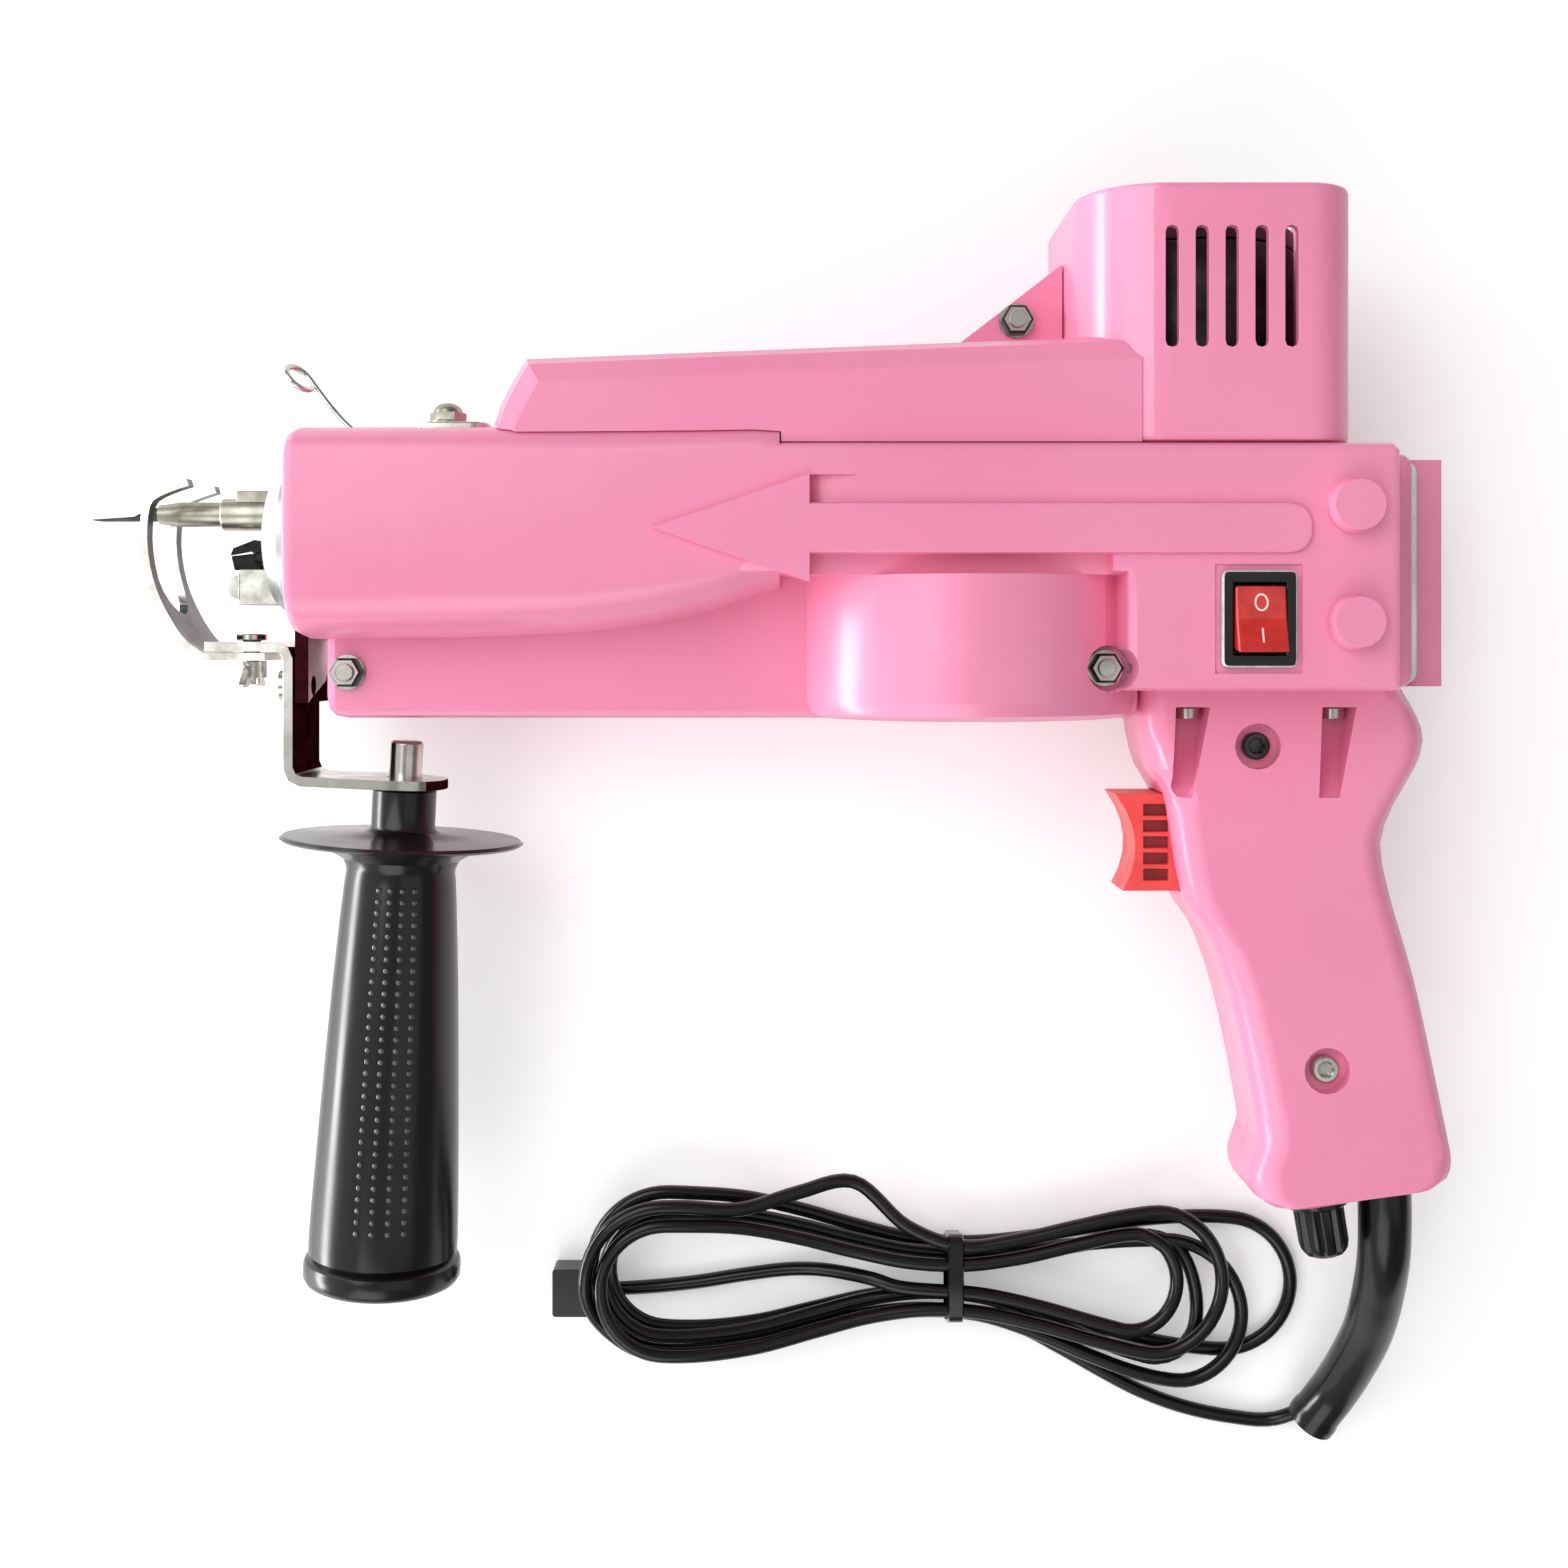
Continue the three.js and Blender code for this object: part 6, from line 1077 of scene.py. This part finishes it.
@dataclass
class NeedleEnd:
    """Front head, bush, needle bar, hollow needle and the scissors under it."""

    lug_below: float = -26.0
    pieces: tuple[tuple[str, Finish, float], ...] = (
        ("needle_bush", GROUND_STEEL, 0.25), ("needle_bar", GROUND_STEEL, 0), ("needle", DARK_STEEL_AND_SHADE, 0),
        ("scissor_bar", GROUND_STEEL, 0.2), ("scissor_block", MILLED_STEEL, 0.25),
        ("lower_blade", PHOSPHATED_STEEL, 0.1), ("upper_blade", PHOSPHATED_STEEL, 0.1),
    )

    def build(self) -> None:
        """Dresses the pieces at the needle."""
        dress_all(self.pieces)
        head = dressed("front_head", CAST_ALUMINIUM, 0.4)
        # The head's lug below lug_below gets painted shade, dark like the strap's shaded inner face.
        paint(head, PAINTED_SHADE_STEEL, lambda spot, _: spot.y < self.lug_below)


@dataclass
class StrapAndFoot:
    """The bent strap, its screws, the presser foot and the foot's screw and wing nut."""

    foot_base: float = -32.5
    rear_facing: float = 0.6
    side_facing: float = 0.7
    pieces: tuple[tuple[str, Finish, float], ...] = (
        ("bracket_screw_1", ZINC_STEEL, 0.3), ("bracket_screw_2", ZINC_STEEL, 0.3),
        ("foot_screw", ZINC_STEEL, 0.3), ("foot_wing_nut", ZINC_STEEL, 0.3),
    )

    def build(self) -> None:
        """Dresses the strap and the foot."""
        dress_all(self.pieces)
        strap = dressed("strap_bracket", ZINC_STEEL, 0.3)
        # The strap's faces that look back at the covers get painted shade.
        paint(strap, PAINTED_SHADE_STEEL, lambda _, normal: normal.x > self.rear_facing)
        foot = dressed("presser_foot", BLUED_STEEL, 0.2)
        # Faces of the foot that face along z take bright zinc as a painted highlight against the dark blued
        # walls; the base plate below foot_base is zinc too.
        paint(foot, ZINC_STEEL,
              lambda spot, normal: abs(normal.z) > self.side_facing or spot.y < self.foot_base)


@dataclass
class YarnGuide:
    """Plate and nut on the barrel, and the wire that ends in an open eye."""

    wire_radius: float = 0.8
    pod_top: float = 18.1
    plate_front: float = -131.5
    bend_x: float = -145.5
    run: float = 19.2
    slope: float = 132.2
    eye_radius: float = 3.6
    eye_lean: float = 24.0
    eye_turn: float = 300.0
    eye_steps: int = 24
    gap: float = 0.3
    nut_foot: Point = (-124.4, 21.9, 0.0)
    nut_flats: float = 3.8
    nut_height: float = 5.0

    def cap(self) -> list[Ring]:
        """Returns the cap nut's rings: a flange, a hexagon and a dome."""
        flats, high = self.nut_flats, self.nut_height
        dome = [
            (flats * 0.92 * math.cos(turn), high * (0.52 + 0.48 * math.sin(turn)))
            for turn in (math.pi / 2 * step / 6 for step in range(7))
        ]
        return [*rings((flats * 1.1, 0.0), (flats * 1.12, 0.5)),
                *rings((flats, 0.7), (flats, high * 0.5), section=Section.HEXAGON), *rings(*dome)]

    def line(self) -> list[Vector]:
        """Returns the wire's centreline in millimetres."""
        height = self.pod_top + self.gap + self.wire_radius
        slope, lean = math.radians(self.slope), math.radians(self.eye_lean)
        ahead = Vector((math.cos(slope), math.sin(slope), 0))
        aside = Vector((-ahead.y * math.sin(lean), ahead.x * math.sin(lean), math.cos(lean)))
        bend = Vector((self.bend_x, height, 0))
        centre = bend + ahead * self.run + aside * self.eye_radius
        points = [Vector((self.plate_front - self.gap, height, 0)), bend]
        for step in range(self.eye_steps + 1):
            turn = math.radians(self.eye_turn * step / self.eye_steps - 90)
            points.append(centre + (ahead * math.cos(turn) + aside * math.sin(turn)) * self.eye_radius)
        return curve_through(points, 0.6)

    def build(self) -> None:
        """Makes the wire with its tree and dresses the plate and the nut."""
        points = [place(*spot) for spot in self.line()]
        made = plain_object("yarn_guide_wire", point_mesh("yarn_guide_wire", points, line=True))
        wire_along(ZINC_STEEL).run(made, {"Wire radius": self.wire_radius * MM, "Sides": 16})
        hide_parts("yarn_guide")
        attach(made, "body")
        dressed("guide_plate", ZINC_STEEL, 0.4)
        cap = ring_stack(self.cap(), along(place(*self.nut_foot), Vector((0, 1, 0))))
        nut = joined("guide_cap_nut", [cap], GROUND_STEEL)
        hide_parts("guide_nut")
        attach(nut, "body")


@dataclass
class SideHandle:
    """The rubber side handle: neck, hand guard, waisted grip with dotted panels and rolled end."""

    foot: Point = (-134.8, -64.4266, 0.0)
    tilt: float = 2.7
    strap_half: float = 1.15
    gap: float = 0.3
    neck_radius: float = 7.6
    neck_length: float = 10.6
    guard_radius: float = 28.9
    guard_edge: float = 1.2
    guard_depth: float = 4.4
    top_radius: float = 12.9
    end_radius: float = 17.6
    rim_radius: float = 18.6
    rim_height: float = 6.5
    groove: float = 0.9
    length: float = 118.5
    dot_rows: int = 31
    dot_columns: int = 4
    dot_pitch: float = 2.64
    dot_spread: float = 12.0
    dot_centre: float = 8.0
    dot_radius: float = 0.72
    dot_start: float = 8.1
    dot_flatness: float = 0.7
    swell: tuple[Span, ...] = ((0, 0.06), (0.1, 0.22), (0.25, 0.42), (0.45, 0.63), (0.65, 0.82), (0.82, 0.97))
    grip_first: int = 13

    def axis(self) -> Matrix:
        """Returns the handle's matrix, its Z pointing from the strap to the far end."""
        turn = math.radians(self.tilt)
        down = Vector((-math.sin(turn), -math.cos(turn), 0))
        across = Matrix((down.cross(UP), UP, down)).transposed().to_4x4()
        return Matrix.Translation(place(*self.foot)) @ across

    def profile(self) -> list[Span]:
        """Returns radius and distance down the handle in millimetres."""
        top = self.strap_half + self.gap
        guard_top = top + self.neck_length
        guard_low = guard_top + self.guard_depth
        end = top + self.length
        rim = end - self.rim_height
        neck, guard, edge, grip = self.neck_radius, self.guard_radius, self.guard_edge, self.top_radius
        last, roll, groove = self.end_radius, self.rim_radius, self.groove
        waist = [
            (grip + (last - grip) * bulge, guard_low + self.guard_depth * 1.6 + (rim - guard_low) * share)
            for share, bulge in self.swell
        ]
        return [
            (neck - 0.6, top), (neck, top + 0.6), (neck, guard_top - 1.6), (neck + 0.5, guard_top - 0.7),
            (neck + 1.6, guard_top), (guard * 0.6, guard_top + 0.75), (guard - 0.8, guard_top + edge),
            (guard, guard_top + 1.6 * edge), (guard - 0.8, guard_top + 2.1 * edge),
            (guard * 0.72, guard_top + 2.9 * edge), (grip + self.guard_depth, guard_low),
            (grip + 1.0, guard_low + 2.0), (grip + 0.25, guard_low + 3.6),
            (grip, guard_low + self.guard_depth + 0.4), *waist,
            (last + 0.05, rim - 4.0), (last, rim - groove), (last - groove, rim), (roll - 0.3, rim + groove),
            (roll, rim + 2 * groove), (roll, end - 2 * groove), (roll - 0.6, end - 0.7),
            (roll - 2 * groove, end), (0.0, end),
        ]

    def radius_at(self, down: float) -> float:
        """Returns the grip's radius at a distance down the handle."""
        grip = self.profile()[self.grip_first:]
        for (r0, h0), (r1, h1) in zip(grip, grip[1:]):
            if h0 <= down <= h1:
                return r0 + (r1 - r0) * (down - h0) / (h1 - h0)
        return self.end_radius

    def panel(self, turned: float) -> Mesh:
        """Returns a sheet of small faces, one point for each dot, that faces out of the grip.

        Args:
            turned: How far round the handle the panel stands, in degrees.

        Returns:
            The mesh whose points carry the dots.
        """
        base = self.axis()
        start = self.strap_half + self.gap + self.neck_length + self.guard_depth + self.dot_start
        wide = self.dot_columns
        spots, faces = [], []
        for row in range(self.dot_rows):
            down = start + row * self.dot_pitch
            reach = self.radius_at(down)
            for column in range(wide):
                turn = math.radians(turned + self.dot_centre + (column - (wide - 1) / 2) * self.dot_spread)
                spots.append(base @ (Vector((-math.sin(turn) * reach, math.cos(turn) * reach, down)) * MM))
        for row in range(self.dot_rows - 1):
            for first in range(row * wide, row * wide + wide - 1):
                faces.append((first, first + 1, first + 1 + wide, first + wide))
        mesh = bpy.data.meshes.new("dots")
        mesh.from_pydata([tuple(s) for s in spots], [], faces)
        middle = base @ Vector((0, 0, start * MM))
        if mesh.polygons and (mesh.polygons[0].center - middle).dot(mesh.polygons[0].normal) < 0:
            mesh.flip_normals()
        return mesh

    def build(self) -> None:
        """Makes the handle, its dots and the stud."""
        body = ring_stack(rings(*self.profile()), self.axis(), 96)
        made = joined("side_handle_rubber", [body], HARD_RUBBER)
        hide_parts("side_handle")
        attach(made, "body")
        # The dots' greyer rubber is a painted sheen.
        recipe = dot_rows(DOT_SHEEN_RUBBER)
        for i, turned in enumerate((0.0, 180.0)):
            dots = plain_object(f"handle_dots_{i + 1}", self.panel(turned))
            recipe.run(dots, {"Dot radius": self.dot_radius * MM, "Dot height share": self.dot_flatness})
            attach(dots, "body")
        dressed("handle_stud", ZINC_STEEL, 0.2)


@dataclass
class PistolGrip:
    """The two grip halves with their screws, the trigger, the speed knob and what they hide."""

    knob_place: Span = (84.6, -163.0)
    knob_tilt: float = 9.4
    knob_radius: float = 6.0
    knob_flange: float = 7.7
    knob_length: float = 15.2
    screw_seats: tuple[Span, ...] = ((66.5, -54.9), (82.6, -130.2))
    screw_seat: float = 13.3
    screw_radius: float = 3.2
    screw_height: float = 2.4
    screw_shank: float = 1.6
    screw_low: float = -13.7
    screw_finishes: tuple[Finish, Finish] = (DARK_STEEL_AND_SHADE, MILLED_STEEL)
    trigger_half: float = 8.0
    slot_depth: float = 1.2
    slot_span: Span = (41.0, 48.2)
    flat_facing: float = 0.9
    floor_reach: float = 0.2

    def knob(self) -> None:
        """Makes the fluted knob with its rounded end."""
        turn = math.radians(self.knob_tilt)
        down = Vector((math.sin(turn), -math.cos(turn), 0))
        base = along(place(*self.knob_place, 0.0), down)
        radius, flange, low = self.knob_radius, self.knob_flange, self.knob_length
        body = ring_stack([
            *rings((3.4, 0.6), (flange - 0.3, 0.6), (flange, 0.9), (flange, 2.4), (flange - 0.4, 2.8)),
            *rings((radius, 3.2), (radius - 0.1, low - 3.2), (radius - 0.5, low - 1.6),
                   (radius - 1.3, low - 0.5), section=Section.FLUTED),
            *rings((radius - 2.4, low), (0.0, low + 0.1)),
        ], base, 120)
        made = joined("speed_knob_fluted", [body], GLOSS_BLACK)
        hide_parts("speed_knob")
        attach(made, "knob")

    def screws(self) -> None:
        """Makes the socket-head screws in the grip's round recesses."""
        radius, shank, foot = self.screw_radius, self.screw_shank, self.screw_low
        seat, high = self.screw_seat, self.screw_seat + self.screw_height
        for i, (x, y) in enumerate(self.screw_seats):
            body = ring_stack([
                *rings((0.0, foot), (shank, foot), (shank, seat), (radius - 0.2, seat),
                       (radius, seat + 0.2), (radius, high - 0.5), (radius - 0.45, high), (1.95, high)),
                *rings((1.6, high - 0.3), (1.55, high - 2.0), section=Section.HEXAGON),
                *rings((0.0, high - 2.1)),
            ], along(place(x, y, 0.0), UP))
            made = joined(f"grip_screw_{i + 1}_socket", [body], self.screw_finishes[i])
            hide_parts(f"grip_screw_{i + 1}")
            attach(made, "body")

    def trigger(self) -> None:
        """Dresses the trigger and paints shade on the floors of its side slots."""
        made = dressed("trigger", RED_NYLON, 0.25)
        front, rear = self.slot_span
        floor = self.trigger_half - self.slot_depth
        paint(made, SLOT_DARK, lambda spot, normal: front < spot.x < rear and abs(normal.z) > self.flat_facing
              and abs(abs(spot.z) - floor) < self.floor_reach)

    def spring(self) -> None:
        """Makes the return spring, which is pressed together between the trigger and the grip."""
        made = dressed("trigger_spring", ZINC_STEEL, 0.0, rides=False)
        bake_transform(made)

    def build(self) -> None:
        """Makes and dresses the grip."""
        dressed("left_grip", PINK_NYLON, 0.5)
        dressed("right_grip", PINK_NYLON, 0.5)
        self.screws()
        self.trigger()
        self.knob()
        for node in ("mount_screw_1", "mount_screw_2", "speed_pot"):
            dressed(node, ZINC_STEEL, 0.2)
        dressed("trigger_switch", GLOSS_BLACK, 0.4)
        self.spring()


@dataclass
class RockerSwitch:
    """The rocker switch: glossy bezel, red paddle and its O and I marks."""

    centre: Span = (60.9, -25.6)
    rim_band_low: float = 38.6
    half_size: Span = (8.2, 10.65)
    rim_band_width: float = 0.75
    mark_width: float = 0.4
    ring_half: Span = (1.35, 1.75)
    ring_rise: float = 3.6
    ring_steps: int = 40
    stroke_low: float = -5.2
    stroke_length: float = 3.2
    ink: Span = (0.06, -0.1)

    def marks(self) -> None:
        """Prints the ring and the stroke on the paddle's two slopes."""
        cx, cy = self.centre
        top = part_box("rocker_paddle")[1].z
        shape = bmesh.new()
        shape.from_mesh(frame["nodes"]["rocker_paddle"].data)
        paddle = BVHTree.FromBMesh(shape)
        shape.free()
        wide, high = self.ring_half
        ring = [
            (cx + math.cos(turn) * wide, cy + self.ring_rise + math.sin(turn) * high)
            for turn in even_turns(self.ring_steps)
        ]
        stroke = [(cx, cy + self.stroke_low + self.stroke_length * step / 7) for step in range(8)]
        meshes = [self._ribbon(ring, True, paddle, top), self._ribbon(stroke, False, paddle, top)]
        made = joined("rocker_marks", meshes, MARKING_INK)
        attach(made, "rocker")

    def _ribbon(self, line: Sequence[Span], closed: bool, paddle: BVHTree, top: float) -> Mesh:
        """Builds a flat printed ribbon that lies on the paddle along a line.

        Args:
            line: Places along the ribbon's middle in millimetres.
            closed: Whether its ends meet.
            paddle: The paddle's faces, which the ribbon is laid on.
            top: The paddle's height in metres.

        Returns:
            The ribbon's mesh.
        """
        work = bmesh.new()
        rows: list[tuple[BMVert, ...]] = []
        count = len(line)
        for i, (x, y) in enumerate(line):
            before = line[i - 1] if closed or i else line[i]
            after = line[(i + 1) % count] if closed or i < count - 1 else line[i]
            ahead = Vector((after[0] - before[0], after[1] - before[1])).normalized()
            side = Vector((-ahead.y, ahead.x)) * self.mark_width / 2
            pair = []
            for sign in (1, -1):
                spot = place(x + side.x * sign, y + side.y * sign, 0)
                where = paddle.ray_cast(Vector((spot.x, spot.y, top + 0.01)), -UP)[0]
                height = where.z if where else top
                pair.append([work.verts.new((spot.x, spot.y, height + lift * MM)) for lift in self.ink])
            (a, a_low), (b, b_low) = pair
            rows.append((a, b, b_low, a_low))
        for row, after in zip(rows, rows[1:] + (rows[:1] if closed else [])):
            for j in range(4):
                work.faces.new((row[j], row[(j + 1) % 4], after[(j + 1) % 4], after[j]))
        if not closed:
            work.faces.new(rows[0])
            work.faces.new(rows[-1])
        return mesh_of(work, "ribbon")

    def build(self) -> None:
        """Dresses the switch and prints its marks."""
        housing = dressed("rocker_housing", GLOSS_BLACK, 0.6)
        cx, cy = self.centre
        wide, high = self.half_size
        # The housing's outer rim, on faces that don't look down, is coloured pale grey-white.
        paint(housing, PALE_RIM_BAND, lambda spot, normal: normal.z > -0.2 and spot.z > self.rim_band_low and (
            abs(spot.x - cx) > wide - self.rim_band_width or abs(spot.y - cy) > high - self.rim_band_width))
        dressed("rocker_paddle", RED_ROCKER, 0.35)
        self.marks()


def main() -> None:
    """Builds the studio, then each sub-assembly in order."""
    logging.basicConfig(level=logging.INFO, format="%(message)s")
    studio = Studio()
    studio.camera()
    SupplyCord().build()
    studio.floor()
    studio.light()
    for part in (Shells(), ThroughBolts(), Drive(), NeedleEnd(), StrapAndFoot(), YarnGuide(), SideHandle(),
                 PistolGrip(), RockerSwitch()):
        part.build()
        LOG.info("made %s", type(part).__name__)


if __name__ == "__main__":
    main()
